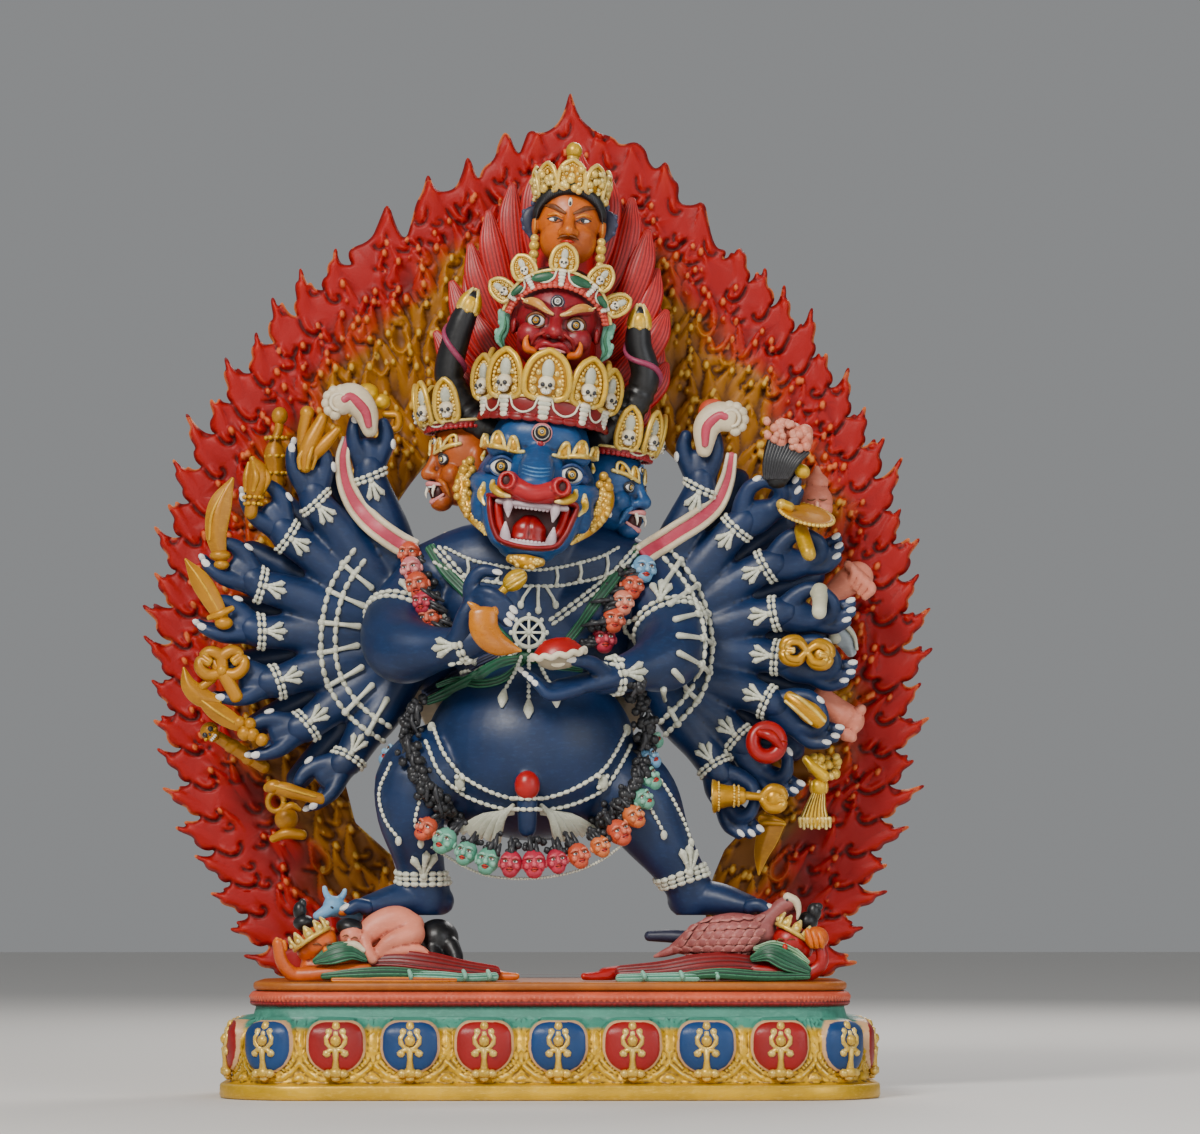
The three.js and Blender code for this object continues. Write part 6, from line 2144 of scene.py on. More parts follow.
def makeBodyJewels(form):
    # the collar and the net over the chest
    layPair(form, [(-86, 398), (-70, 389), (-52, 384), (-30, 381), (-10, 380), (12, 381), (37, 387), (58, 398)],
        0.1, 1.5)
    beadLine(form, "rope", onSkin(evenPath([(-78, 409), (-59, 400), (-37, 395), (-10, 392), (15, 396),
        (37, 402), (50, 409)], 30)), 1.5, 0.9, 1.5)
    for x, z0, z1 in ((-62, 401, 387), (-40, 396, 383), (-24, 393, 381), (4, 394, 381), (22, 398, 384),
            (42, 404, 390)):
        sweep(form, "rope", onSkin([(x, z0), (x + 1, (z0 + z1) / 2), (x, z1)]), 1.3, sides=8, steps=6)
        ball(form, "rope", onSkin([(x, z1)], 1.6)[0], 2.1, 8, 6)
    for x, z in ((-22, 366), (-9, 362), (4, 366)):
        line = onSkin([(x * 0.45 - 5, 379), (x * 0.8 - 2, 372), (x, z)])
        sweep(form, "rope", line, [1.3, 1.2, 1.6], sides=8, steps=8)
        ball(form, "rope", line[-1], (2.5, 2.2, 3.2), 10, 8)
    for strap in ([(-84, 408), (-68, 390), (-50, 373), (-34, 360)], [(64, 408), (46, 388), (24, 370), (2, 354)],
            [(-16, 345), (-30, 330), (-52, 322), (-72, 318)], [(-16, 345), (4, 332), (30, 322), (52, 320)]):
        layPair(form, strap, 3.8, 1.7)
    # the wheel on the breast
    centre = np.array(skin.at(-16, 345, 0)) - (0, 4, 0)
    spot = spotFacing(centre, (0.02, -1, 0.12))
    wheel = Form()
    rim = [(11 * math.cos(a), 0, 11 * math.sin(a)) for a in np.linspace(0, 2 * np.pi, 33)]
    sweep(wheel, "rope", rim, 1.7, sides=10, steps=60, rounded=False)
    for k in range(8):
        a = k * math.pi / 4
        sweep(wheel, "rope", [(0, -0.4, 0), (10 * math.cos(a), -0.2, 10 * math.sin(a))], [1.2, 1], sides=8,
            steps=4)
        ball(wheel, "rope", (13.4 * math.cos(a), 0, 13.4 * math.sin(a)), (1.7, 1.3, 2), 8, 6)
    ball(wheel, "rope", (0, -1, 0), 2.4, 12, 8)
    lathe(wheel, "deepBlue", [(0, -3), (10.5, -3), (10.5, -1.2), (0, -1.2)], (0, 0, 0), (0, -1, 0), 32)
    form.join(wheel, spot)
    for x, z in ((-34, 292), (-16, 284), (3, 292)):
        line = onSkin([(-16 + (x + 16) * 0.25, 330), (-16 + (x + 16) * 0.6, 313), (x, z + 8)], 1.0)
        beadLine(form, "rope", line, 1.7, 0.9, 1.4)
        drop = onSkin([(x, z + 7), (x * 1.05 + 0.8, z + 2), (x * 1.08 + 1.2, z - 4)], 1.4)
        sweep(form, "rope", drop, [2.2, 3.9, 1.2], [2, 3, 1], face=(0, -1, 0), steps=10)
    # strings under the belly with their clasps
    upper = [(-88, 276), (-79, 254), (-66, 239), (-46, 227), (-26, 221), (-8, 221), (14, 227), (36, 240),
        (47, 254), (57, 274)]
    lower = [(-92, 262), (-83, 241), (-69, 227), (-47, 217), (-27, 213), (-7, 213), (16, 217), (39, 228),
        (50, 242), (59, 260)]
    for line in (upper, lower):
        beadLine(form, "rope", onSkin(evenPath(line, 44)), 1.75, 0.9, 1.6)
    for x, z in ((-67, 233), (38, 234)):
        place = skin.at(x, z, 1.5)
        ball(form, "rope", place, (4, 2.4, 5.6), 12, 8)
        for dx, dz in ((-3, 4), (3, 4), (-3, -4), (3, -4)):
            ball(form, "rope", skin.at(x + dx, z + dz, 1.6), 2.0, 8, 6)
    for x, z in ((-88, 273), (56, 272)):
        place = skin.at(x, z, 1.0)
        ball(form, "rope", place, (3.4, 2.6, 4.4), 10, 8)
    # the red cap in the middle and the ribbons beside it
    ball(form, "red", skin.at(-17, 230, 0.5), (9.4, 8, 11), 20, 14)
    for side in (-1, 1):
        for k in range(5):
            start = np.array(skin.at(-17 + side * 10, 217 - 1.5 * k, 1.4))
            end = start + (side * (13 + 6.5 * k), 6 + 3 * k, -27 + 3.6 * k)
            sweep(form, "rope", [start, toward(start, end, 0.5) + (side * 1.5, -4, 4), end], [1.6, 3, 3.8],
                [1, 1.4, 1.4], face=(0, -1, 0.2), sides=10)
    # ropes over the main arms, and strings with drops on the thighs
    bracelet(form, (-62, -103, 334), (1, -0.45, 0.25), 16, (-1, 0.3, -0.1), size=1.15)
    bracelet(form, (47, -98, 311), (-1, -0.45, -0.2), 16, (1, 0.3, 0.1), size=1.15)
    for centre, axis, reach in (((-110, -28, 356), (-0.35, -0.75, -0.9), 31),
            ((88, -28, 352), (0.35, -0.75, -0.9), 31)):
        bracelet(form, centre, axis, reach, (0, 0.4, 1), size=1.2, gap=5)
    for centre, axis in (((-94, -35, 163), (0, 0.1, -1)), ((103, -32, 166), (0.3, 0.1, -1))):
        bracelet(form, centre, axis, 21, (0, 0, 1), rows=3, gap=3.8, size=1.3)
    for line in ([(-118, 246), (-126, 226), (-122, 206), (-112, 192)], [(-96, 222), (-100, 204), (-96, 190)],
            [(74, 244), (86, 228), (98, 206), (104, 190)], [(62, 232), (74, 214), (84, 196)]):
        row = onSkin(evenPath(line, 12), 0.9)
        beadLine(form, "rope", row, 1.5, 0.9, 1.4)
        ball(form, "rope", row[-1] - (0, 1, 2), (2.6, 2.3, 3.6), 10, 8)


def scarfBand(form, paint, points, wide):
    def folded(turn):
        x = np.cos(turn)
        return x, np.sin(turn) * (0.75 + 0.25 * np.cos(x * math.pi * 3))
    sweep(form, paint, points, wide, [1.8] * len(wide), face=(0, -1, 0.1), sides=28, steps=30, section=folded)


def makeScarves(form):
    for line in ([(-90, 410), (-78, 392), (-60, 372), (-44, 352), (-30, 338)],
            [(66, 410), (50, 390), (34, 368), (18, 346), (6, 332)]):
        scarfBand(form, "green", onSkin(line, 1.2), [4.2, 4.4, 4.2, 3.8, 3.2])
    knot = np.array(skin.at(-16, 325, 2.5))
    ball(form, "green", knot, (9, 5, 6), 14, 10)
    scarfBand(form, "green", onSkin([(-18, 324), (-36, 320), (-56, 308), (-78, 300), (-92, 294)], 2.2),
        [3, 5, 5.5, 5, 3])
    scarfBand(form, "green", onSkin([(-20, 322), (-34, 309), (-52, 305), (-70, 310), (-84, 306)], 1.6),
        [2, 3.4, 3.6, 3, 2])
    scarfBand(form, "green", onSkin([(-12, 325), (4, 318), (22, 316)], 1.6), [3, 3.4, 2])
    scarfBand(form, "dusk", onSkin([(-40, 330), (-58, 322), (-80, 312), (-94, 300)], 1.4), [3, 4, 4, 3])


def makeJewels():
    form = Form()
    makeFanJewels(form)
    makeBodyJewels(form)
    finishPiece("bead_ropes", form, [])
    scarves = Form()
    makeScarves(scarves)
    finishPiece("scarves", scarves, [])


makeJewels()


# Garland of small heads, with rows of dark hair on its inner side

garland = {"size": 9.7, "seed": 21}
chestLeft = [(-106, 405), (-104, 393), (-99, 380), (-95, 367), (-90, 355)]
chestRight = [(70, 393), (61, 380), (54, 367), (47, 354), (40, 340)]
lowArc = [(-118, 252), (-121, 238), (-117, 223), (-106, 210), (-92, 198), (-78, 189), (-62, 180), (-46, 174),
    (-29, 172), (-12, 172), (5, 174), (21, 178), (37, 185), (51, 195), (62, 207), (69, 220), (73, 235),
    (74, 250), (76, 265)]
headPaints = {"chestLeft": ["salmon", "pink", "salmon", "rose", "salmon"],
    "chestRight": ["paleBlue", "salmon", "skinPink", "salmon", "rose"],
    "lowArc": ["paleBlue", "salmon", "rose", "pink", "salmon", "leafTeal", "leafTeal", "leafTeal", "rose",
    "rose", "rose", "salmon", "orangePink", "salmon", "orangePink", "leafTeal", "leafTeal", "paleBlue",
    "leafTeal"]}


def headTemplate():
    head = Form()
    ball(head, "face", (0, 0, 0.12), (0.84, 0.8, 0.94), 18, 13)
    ball(head, "face", (0, -0.22, -0.52), (0.58, 0.56, 0.48), 14, 10)
    sweep(head, "face", [(0, -0.7, 0.34), (0, -0.86, 0.06), (0, -0.92, -0.12)], [0.1, 0.13, 0.19], sides=8,
        steps=7)
    for side in (-1, 1):
        ball(head, "face", (side * 0.46, -0.52, -0.16), (0.26, 0.24, 0.24), 10, 8)
        ball(head, "face", (side * 0.84, 0.02, 0), (0.13, 0.2, 0.28), 8, 6)
        sweep(head, "face", [(side * 0.14, -0.8, 0.36), (side * 0.38, -0.76, 0.44), (side * 0.66, -0.55, 0.34)],
            [0.07, 0.11, 0.05], sides=8, steps=7)
        ball(head, "white", (side * 0.34, -0.7, 0.14), (0.19, 0.1, 0.1), 10, 7)
        ball(head, "black", (side * 0.34, -0.78, 0.14), (0.085, 0.06, 0.085), 8, 6)
        sweep(head, "umber", [(side * 0.14, -0.79, 0.18), (side * 0.34, -0.81, 0.24),
            (side * 0.56, -0.66, 0.17)], [0.02, 0.045, 0.02], sides=6, steps=6)
    ball(head, "mouth", (0, -0.72, -0.46), (0.26, 0.12, 0.1), 10, 7)
    sweep(head, "red", [(-0.27, -0.66, -0.44), (0, -0.82, -0.37), (0.27, -0.66, -0.44)], [0.04, 0.07, 0.04],
        sides=6, steps=7)
    sweep(head, "red", [(-0.24, -0.64, -0.5), (0, -0.8, -0.56), (0.24, -0.64, -0.5)], [0.04, 0.07, 0.04],
        sides=6, steps=7)
    return head


def addHairBunch(form, dice, place, inward, size):
    for _ in range(11):
        spot = place + inward * dice.uniform(0.5, 1.7) * size + dice.normal(0, 1, 3) * (3.4, 1.2, 2.6)
        ball(form, "black", spot, dice.uniform(2.0, 3.4), 8, 6)
    for _ in range(3):
        start = place + inward * size * 0.5 + dice.normal(0, 1, 3) * (2.4, 1.0, 2.4) - (0, 2.6, 0)
        end = start + inward * size * dice.uniform(1.0, 1.5) + dice.normal(0, 1, 3) * 1.4
        sweep(form, "black", [start, toward(start, end, 0.5) - (0, 1.5, 0), end], [1.5, 2, 1.1], sides=8,
            steps=6)


def makeGarland():
    dice = np.random.default_rng(garland["seed"])
    template = headTemplate()
    form = Form()
    locks = Form()
    rows = [("chestLeft", chestLeft, (0.9, -0.5), 0), ("chestRight", chestRight, (-0.9, -0.2), 0),
        ("lowArc", lowArc, None, 1)]
    for name, places, side, low in rows:
        for k, (x, z) in enumerate(places):
            hit = skin.front(x, z, 0, None)[0] if not low else None
            if low:
                reach = np.array([x + 17, z - 262])
                y = -100 + 0.0042 * (x + 17) ** 2 + max(0, z - 225) * 0.6
                inward2 = unit(-reach)
                inward = np.array([inward2[0], 0.25, inward2[1]])
            else:
                y = (hit[1] if hit[1] is not None else -30) - 6
                inward = unit(np.array([side[0], 0.1, side[1]]))
            place = np.array([x, y, z], float)
            size = garland["size"] * (1 + 0.06 * dice.normal())
            tilt = -math.degrees(math.atan2(-inward[0], inward[2])) if low else dice.normal(0,
                10) + (-14 if x < 0 else 14)
            spot = Spot(place, turnMatrix(y=tilt * 0.55) @ turnMatrix(x=-8,
                z=(x + 17) * 0.35 * (1 if low else 0.5)) * size)
            paint = headPaints[name][k % len(headPaints[name])]
            form.join(template, spot, {"face": paint})
            addHairBunch(locks, dice, place - (0, 0 if low else 3.0, 0), inward, size)
    # thicker dark bunches on both sides of the belly, and a cord under the heads
    for line in ([(-99, 290), (-104, 272), (-102, 254), (-96, 236), (-84, 220), (-66, 205)],
            [(64, 304), (70, 286), (72, 268), (69, 250), (62, 230), (50, 214), (36, 202)]):
        for x, z in evenPath(line, 15):
            place = np.array(skin.front(x, z, 1.5, -60)[0])
            for _ in range(10):
                ball(locks, "black", place + dice.normal(0, 1, 3) * (3.2, 1.2, 3) - (0, 1.5, 0),
                    dice.uniform(2.4, 4.2), 8, 6)
            start = place + dice.normal(0, 1, 3) * 1.5 - (0, 3.5, 0)
            sweep(locks, "black", [start + (0, 0, 5), start, start - (dice.normal() * 2, 0, 7)],
                [1.4, 2.2, 1.4], sides=8, steps=6)
    beads = [(x, -88 + 0.0042 * (x + 17) ** 2 + max(0, z - 225) * 0.6, z - 4) for x, z in lowArc]
    beadLine(form, "rope", [np.array(b) + (0, 5, -6) for b in beads], 1.2, 1.0, 1.0)
    finishPiece("garland_heads", form, [], softening=0)
    finishPiece("garland_hair", locks, [])


makeGarland()


# Trampled figures: one lying along the edge with small beings and cloths on top, under each foot

groups = {"voxel": 1.3}
deck = 86.6  # top of the plinth


def soften(form, source, paint, voxel=None):
    points, faces = blended("soft", source, voxel or groups["voxel"], 2)
    points[:, 2] = np.maximum(points[:, 2], deck)
    form.add(points, faces, paint)


def addProne(form, flesh, side, hand, elbow, headPlace):  # the lowest figure of a group
    source = Form()
    s = side
    sweep(source, flesh, [(s * 178, -60, 96), (s * 150, -58, 97), (s * 110, -56, 95), (s * 62, -56, 93),
        (s * 40, -58, 91)], [8, 12, 12, 9, 7], [9, 10, 8, 6, 5], face=(0, 0, 1), sides=16, steps=16)
    sweep(source, flesh, hand, [6.4, 6.2, 5, 4.6], steps=14)
    sweep(source, flesh, elbow, [6.5, 6, 5.5])
    ball(source, flesh, headPlace, (14.5, 13, 13), 20, 14)
    ball(source, flesh, headPlace - np.array([s * -9, 0, 6]), (8, 8, 7), 16, 12)
    for k in (0, 1):
        sweep(source, flesh, [(s * 44, -52 - 9 * k, 90), (s * 32, -54 - 9 * k, 89),
            (s * 25, -56 - 9 * k, 89.5)], [4.5, 4, 2.8], steps=8)
    soften(form, source, flesh)


def addFolded(form, paint, points, wide, thick, folds):  # cloth with folds along its length
    def folded(turn):
        x = np.cos(turn)
        y = np.sin(turn)
        return x, y * (0.8 + 0.2 * np.cos(x * math.pi * folds))
    sweep(form, paint, points, wide, thick, face=(0, -0.75, 0.66), sides=44, steps=30, section=folded)


def addLeafCloth(form, paint, points, wide, ribs=6):
    def ribbed(turn):
        x = np.cos(turn)
        return x, np.sin(turn) * (0.7 + 0.3 * np.cos(x * math.pi * ribs))
    sweep(form, paint, points, wide, [2.6, 4.2, 3], face=(0, -0.85, 0.5), sides=48, steps=24, section=ribbed)


def addKnots(form, places, sizes):
    for place, size in zip(places, sizes):
        ball(form, "black", place, size, 14, 10)


def addSmallCrown(form, centre, way, wide):  # a gold frill round the crown of a small head
    spot = spotFacing(centre, (0, -1, 0.1), way)
    frill = Form()
    for k in range(5):
        a = math.radians(-70 + 35 * k)
        place = np.array([math.sin(a) * wide, -math.cos(a) * wide * 0.7, 0])
        sweep(frill, "paleGold", [place, place * 1.05 + (0, 0, 4.5), place + (0, 0, 8.5)], [3.6, 3.4, 1.2],
            [2, 2, 1], face=(math.sin(a), -math.cos(a), 0), steps=10)
        ball(frill, "paleGold", place * 1.12 + (0, 0, 2.2), 2.2, 10, 7)
    band = [(math.sin(a) * wide * 1.02, -math.cos(a) * wide * 0.72, -1)
        for a in np.radians(np.linspace(-95, 95, 13))]
    sweep(frill, "paleGold", band, 1.9, sides=10, steps=28)
    form.join(frill, spot)


def makeLeftGroup():
    form = Form()
    addProne(form, "orange", -1, [(-170, -66, 91), (-188, -70, 90), (-198, -72, 100), (-201, -72, 114)],
        [(-186, -70, 90), (-160, -72, 92), (-136, -70, 95)], np.array([-171, -62, 114]))
    for k in range(3):
        finger(form, "orange", [(-201 + 2.4 * k, -72, 110), (-202 + 2.6 * k, -73, 117 - k)], 2.2)
    # the crowned head leans back, its knots of hair stand up behind it
    addSmallCrown(form, (-177, -66, 118), (-0.55, 0, 0.84), 14.5)
    addKnots(form, [(-183, -54, 129), (-186, -54, 138), (-184, -54, 143)], [(8, 8, 6), (5, 5, 7), (3, 3, 4)])
    for x in (-172, -163):
        sweep(form, "umber", [(x - 3, -75.2, 113), (x, -75.8, 114), (x + 3, -75, 112.6)], [0.4, 0.7, 0.4],
            sides=6, steps=6)
    ball(form, "orange", (-166, -75.5, 109), (2.2, 2.4, 2.8), 10, 8)
    ball(form, "red", (-163, -74.5, 104.5), (2.6, 1.2, 0.9), 10, 7)
    # a horned blue head beside it
    source = Form()
    ball(source, "paleBlue", (-161, -46, 141), (8.5, 8, 8), 18, 12)
    sweep(source, "paleBlue", [(-162, -48, 140), (-169, -53, 136), (-173, -54, 134)], [6.5, 5, 3.6], steps=10)
    sweep(source, "paleBlue", [(-164, -46, 146), (-167, -47, 151), (-168, -47, 155)], [2.8, 2.5, 2], sides=10,
        steps=8)
    sweep(source, "paleBlue", [(-157, -44, 146), (-154, -44, 150), (-153, -44, 153)], [2.8, 2.5, 2], sides=10,
        steps=8)
    sweep(source, "paleBlue", [(-158, -40, 140), (-146, -38, 134)], [6, 7], steps=8)
    soften(form, source, "paleBlue", 1.1)
    ball(form, "black", (-163, -53.5, 140), (2.6, 1.4, 1.8), 12, 8)
    ball(form, "black", (-172, -56, 135.4), 1.0, 8, 6)
    ball(form, "orange", (-154, -50, 137), (4, 2.4, 3), 12, 8)
    # the small pink figure kneels bent over
    source = Form()
    sweep(source, "skinPink", [(-138, -60, 118), (-128, -58, 126), (-114, -56, 130), (-102, -56, 126)],
        [8.5, 10, 11, 9], [9, 11, 12, 10], sides=18, steps=18)
    ball(source, "skinPink", (-103, -60, 121), (10.5, 10, 11), 18, 12)
    sweep(source, "skinPink", [(-104, -64, 120), (-118, -68, 115), (-127, -68, 107)], [8, 6.5, 5], sides=14)
    sweep(source, "skinPink", [(-127, -68, 106), (-112, -68, 108), (-97, -66, 109), (-90, -66, 104)],
        [4.6, 5, 4.4, 3.2], steps=14)
    sweep(source, "skinPink", [(-137, -66, 118), (-136, -71, 110), (-131, -73, 102)], [5.4, 4.6, 4])
    ball(source, "skinPink", (-147, -65, 119), (9, 9, 9.5), 18, 12)
    soften(form, source, "skinPink", 1.15)
    ball(form, "black", (-148, -61, 125.5), (11, 10.5, 7), 20, 12, turnMatrix(y=12))
    sweep(form, "black", [(-140, -58, 126), (-131, -60, 128), (-124, -62, 124)], [4, 3, 1.4], steps=10)
    for x, z in ((-151, 119.5), (-144.5, 118)):
        sweep(form, "umber", [(x - 2.2, -73.6, z - 0.4), (x, -74.2, z + 0.6), (x + 2.2, -73.6, z - 0.2)],
            [0.35, 0.6, 0.35], sides=6, steps=6)
    ball(form, "skinPink", (-148.6, -74.6, 116), (1.5, 1.8, 1.9), 10, 8)
    ball(form, "red", (-147.6, -73.6, 112.6), (1.9, 0.8, 0.6), 8, 6)
    ball(form, "black", (-89, -67, 104), (2.4, 1.6, 1.6), 8, 6)
    # a dark beast behind the knee
    source = Form()
    ball(source, "black", (-84, -40, 117), (16, 18, 15), 20, 14)
    ball(source, "black", (-78, -40, 104), (13, 16, 13), 18, 12)
    sweep(source, "black", [(-74, -52, 112), (-70, -58, 104), (-70, -62, 98)], [7, 6, 5], steps=10)
    sweep(source, "black", [(-88, -50, 112), (-86, -58, 103), (-84, -62, 98)], [7, 6, 5], steps=10)
    soften(form, source, "black")
    # cloths
    addFolded(form, "crimson", [(-134, -66, 100), (-114, -68, 101), (-90, -70, 99), (-62, -70, 95),
        (-41, -70, 92)], [7, 10, 10, 7.5, 6.5], [6, 8, 7, 5, 4.5], 5)
    addFolded(form, "green", [(-167, -80, 90), (-140, -82, 92), (-112, -81, 92.5), (-86, -80, 90.5),
        (-74, -80, 90)], [2.4, 4.4, 5, 4, 3], [2.4, 3.6, 4, 3.2, 2.4], 3)
    addFolded(form, "leafTeal", [(-104, -81, 90.6), (-84, -81, 90), (-62, -80, 88.8), (-41, -78, 89.5)],
        [3, 4, 3.2, 3.4], [2.6, 3.6, 3, 3.2], 3)
    for x in (-104, -64, -46):
        sweep(form, "leafTeal", [(x, -84, 94), (x + 1.5, -85.5, 90), (x + 1, -84, 87.4)], [1.4, 2, 1.2],
            sides=8, steps=8)
    addLeafCloth(form, "green", [(-173, -76, 101), (-158, -78, 107), (-146, -77, 108), (-137, -74, 103)],
        [3, 8.5, 7.5, 3])
    sweep(form, "hideCream", [(-152, -74, 113), (-144, -76, 113), (-138, -76, 109)], [2.2, 3, 2], sides=10,
        steps=10)
    addFolded(form, "amber", [(-160, -83, 87.6), (-120, -84, 87.8), (-70, -83, 87.4)], [2.2, 3, 2],
        [1.6, 2.2, 1.6], 2)
    finishPiece("left_trampled_figures", form, ["trampled_group_left"])


def makeRightGroup():
    form = Form()
    addProne(form, "red", 1, [(180, -66, 92), (192, -70, 92), (201, -72, 100), (200, -72, 112)],
        [(190, -70, 91), (170, -72, 92), (150, -70, 94)], np.array([178, -62, 115]))
    ball(form, "orange", (197, -73, 118), (9, 7.5, 8.5), 18, 12)
    for k in range(3):
        finger(form, "orange", [(190 + 4.4 * k, -78, 123 - k), (192 + 4.2 * k, -80, 116),
            (193 + 4 * k, -78, 112)], 2.4)
    addSmallCrown(form, (181, -64, 122), (0.5, 0, 0.87), 14)
    addKnots(form, [(191, -55, 130), (196, -55, 137), (199, -56, 141)], [(8, 8, 7.5), (5.5, 5, 7), (3.6, 3, 3)])
    for x in (170, 178):
        sweep(form, "umber", [(x - 3, -74.2, 116), (x, -75, 117.4), (x + 3, -74.2, 116.4)], [0.4, 0.7, 0.4],
            sides=6, steps=6)
    ball(form, "red", (173.5, -75.5, 111), (2.2, 2.6, 2.8), 10, 8)
    sweep(form, "crimson", [(169, -73.4, 106.4), (174, -74.6, 106), (179, -73.4, 107)], [0.6, 1.1, 0.6],
        sides=8, steps=6)
    # the bird: a feathered back, a bent neck and a hooked beak
    source = Form()
    sweep(source, "bird", [(92, -46, 110), (112, -52, 116), (138, -56, 120), (158, -58, 122)],
        [4, 13, 16.5, 11], [4, 14, 17, 12], sides=20, steps=20)
    sweep(source, "bird", [(154, -58, 124), (165, -60, 134), (172, -61, 141), (178, -62, 144)],
        [10, 7.5, 6.5, 6], sides=16, steps=14)
    points, faces = blended("bird", source, 1.1, 2)
    points[:, 2] = np.maximum(points[:, 2], deck)
    form.add(points, faces, "bird")
    plumage = Skin((points, faces))
    for row in range(9):
        for k in range(7):
            x = 92 + 7.6 * row + (k % 2) * 3.6
            z = 106 + 5.2 * k - 1.5 + row * 0.3
            place, normal = plumage.front(x, z, 0.4, None)
            if place[1] is None or np.isnan(float(place[1])) or normal[1] > -0.15:
                continue
            back = unit(np.array([-1, 0, -0.42]) - normal * np.dot((-1, 0, -0.42), normal))
            tip = place + back * 7.6
            sweep(form, "bird", [place - back * 3, place + normal * 0.7, tip + normal * 0.5], [1.2, 3.3, 0.6],
                [0.6, 1.3, 0.5], face=normal, sides=10, steps=8)
            sweep(form, "bird", [place - back * 2 + normal * 1.2, tip + normal * 0.9], [0.5, 0.35], sides=6,
                steps=4)
    sweep(form, "hideCream", [(176, -64, 148), (182, -66, 145), (184, -67, 138), (183, -67, 132)],
        [3.6, 3.2, 2.2, 0.8])
    ball(form, "black", (175.5, -67.6, 146), 1.0, 8, 6)
    sweep(form, "dusk", [(74, -36, 119), (88, -37, 119), (104, -40, 118)], [5, 6, 6], [4, 5, 5], sides=14,
        steps=10)
    sweep(form, "bird", [(92, -48, 109), (84, -46, 106), (78, -44, 104)], [4, 3, 1.2], sides=10, steps=8)
    # cloths
    addFolded(form, "crimson", [(52, -70, 92), (84, -71, 94), (112, -71, 98), (136, -70, 99), (160, -68, 96)],
        [6.5, 8, 9.5, 9, 6], [4.5, 5.5, 7, 7, 5], 5)
    addFolded(form, "leafTeal", [(51, -80, 88.4), (78, -81, 89), (108, -82, 89.5)], [3.2, 3.6, 4.2],
        [3, 3.2, 3.4], 3)
    addFolded(form, "green", [(100, -82, 90), (124, -83, 92), (156, -82, 90), (190, -78, 90)], [3, 4.6, 4.2, 3],
        [3, 3.8, 3.4, 2.4], 3)
    addLeafCloth(form, "green", [(150, -74, 103), (162, -78, 107), (176, -79, 101), (190, -76, 94)],
        [3, 8, 8.5, 4])
    addLeafCloth(form, "leafGreen", [(152, -70, 110), (166, -72, 112), (180, -74, 107), (190, -74, 100)],
        [2, 4.5, 4.5, 2], 4)
    for x in (68, 96, 122):
        sweep(form, "leafTeal", [(x, -84, 93), (x + 1.5, -85.5, 90), (x + 1, -84, 87.4)], [1.4, 2, 1.2],
            sides=8, steps=8)
    finishPiece("right_trampled_figures", form, ["trampled_group_right"])


makeLeftGroup()
makeRightGroup()


# Things held in the hands

held = {"front": -9, "rear": 30}


def flatBlade(turn):  # a blade with a ridge along its middle
    x = np.cos(turn)
    y = np.sin(turn)
    return x, y * (1.0 - 0.62 * np.abs(x))


def finishHeld(node, form):  # the carving of one held thing, in place of its node
    finishPiece(node + "_carving", form, [node])


def addLoops(form, paint, centre, way, size, count=2, thick=0.26):  # curled petals of a thunderbolt's end
    way = unit(way)
    side = unit(np.cross(way, (0, -1, 0)))
    centre = np.asarray(centre, float)
    for k in range(count):
        lean = (k / max(count - 1, 1) - 0.5) * 2
        reach = side * lean * size * 0.42
        loop = [centre + reach * 0.4, centre + way * size * 0.5 + reach * 1.5,
            centre + way * size * 1.15 + reach * 1.3, centre + way * size * 1.35 + reach * 0.3,
            centre + way * size * 0.9 + reach * 0.2 - (0, size * 0.2, 0)]
        sweep(form, paint, loop, [size * thick, size * thick * 1.25, size * thick * 1.15, size * thick * 0.7],
            steps=22)


def makeChopper():
    form = Form()
    sweep(form, "blade", [(-49, -131, 356), (-48, -133, 343), (-39, -134, 333), (-22, -133, 328)],
        [10.5, 10.5, 8, 1.2], [4.6, 4.6, 4.2, 1.4], face=(0, -1, 0), sides=24, steps=24)
    sweep(form, "blade", [(-53, -131, 357), (-57, -132, 361), (-60, -132, 363)], [4, 2.8, 0.9], [3.4, 2.4, 0.8],
        face=(0, -1, 0), steps=8)
    sweep(form, "blade", [(-41, -130, 356), (-39, -128, 362)], [4, 2.8], steps=4)
    sweep(form, "paleGold", [(-44, -122, 362), (-37, -122, 370), (-32, -122, 375)], [3.2, 3, 3.4], sides=14,
        steps=10)
    ball(form, "paleGold", (-26, -123, 380), (10, 6.5, 7.4), 24, 16, turnMatrix(y=-38))
    for k in (-1, 0, 1):
        sweep(form, "gold", [(-32 + k * 1.2, -127 + abs(k), 376 - k * 2.6),
            (-26 + k * 1.4, -130 + abs(k) * 1.4, 380 - k * 3), (-19 + k, -127 + abs(k), 384 - k * 2)],
            [0.7, 1.2, 0.7], sides=8, steps=10)
    finishHeld("chopper", form)


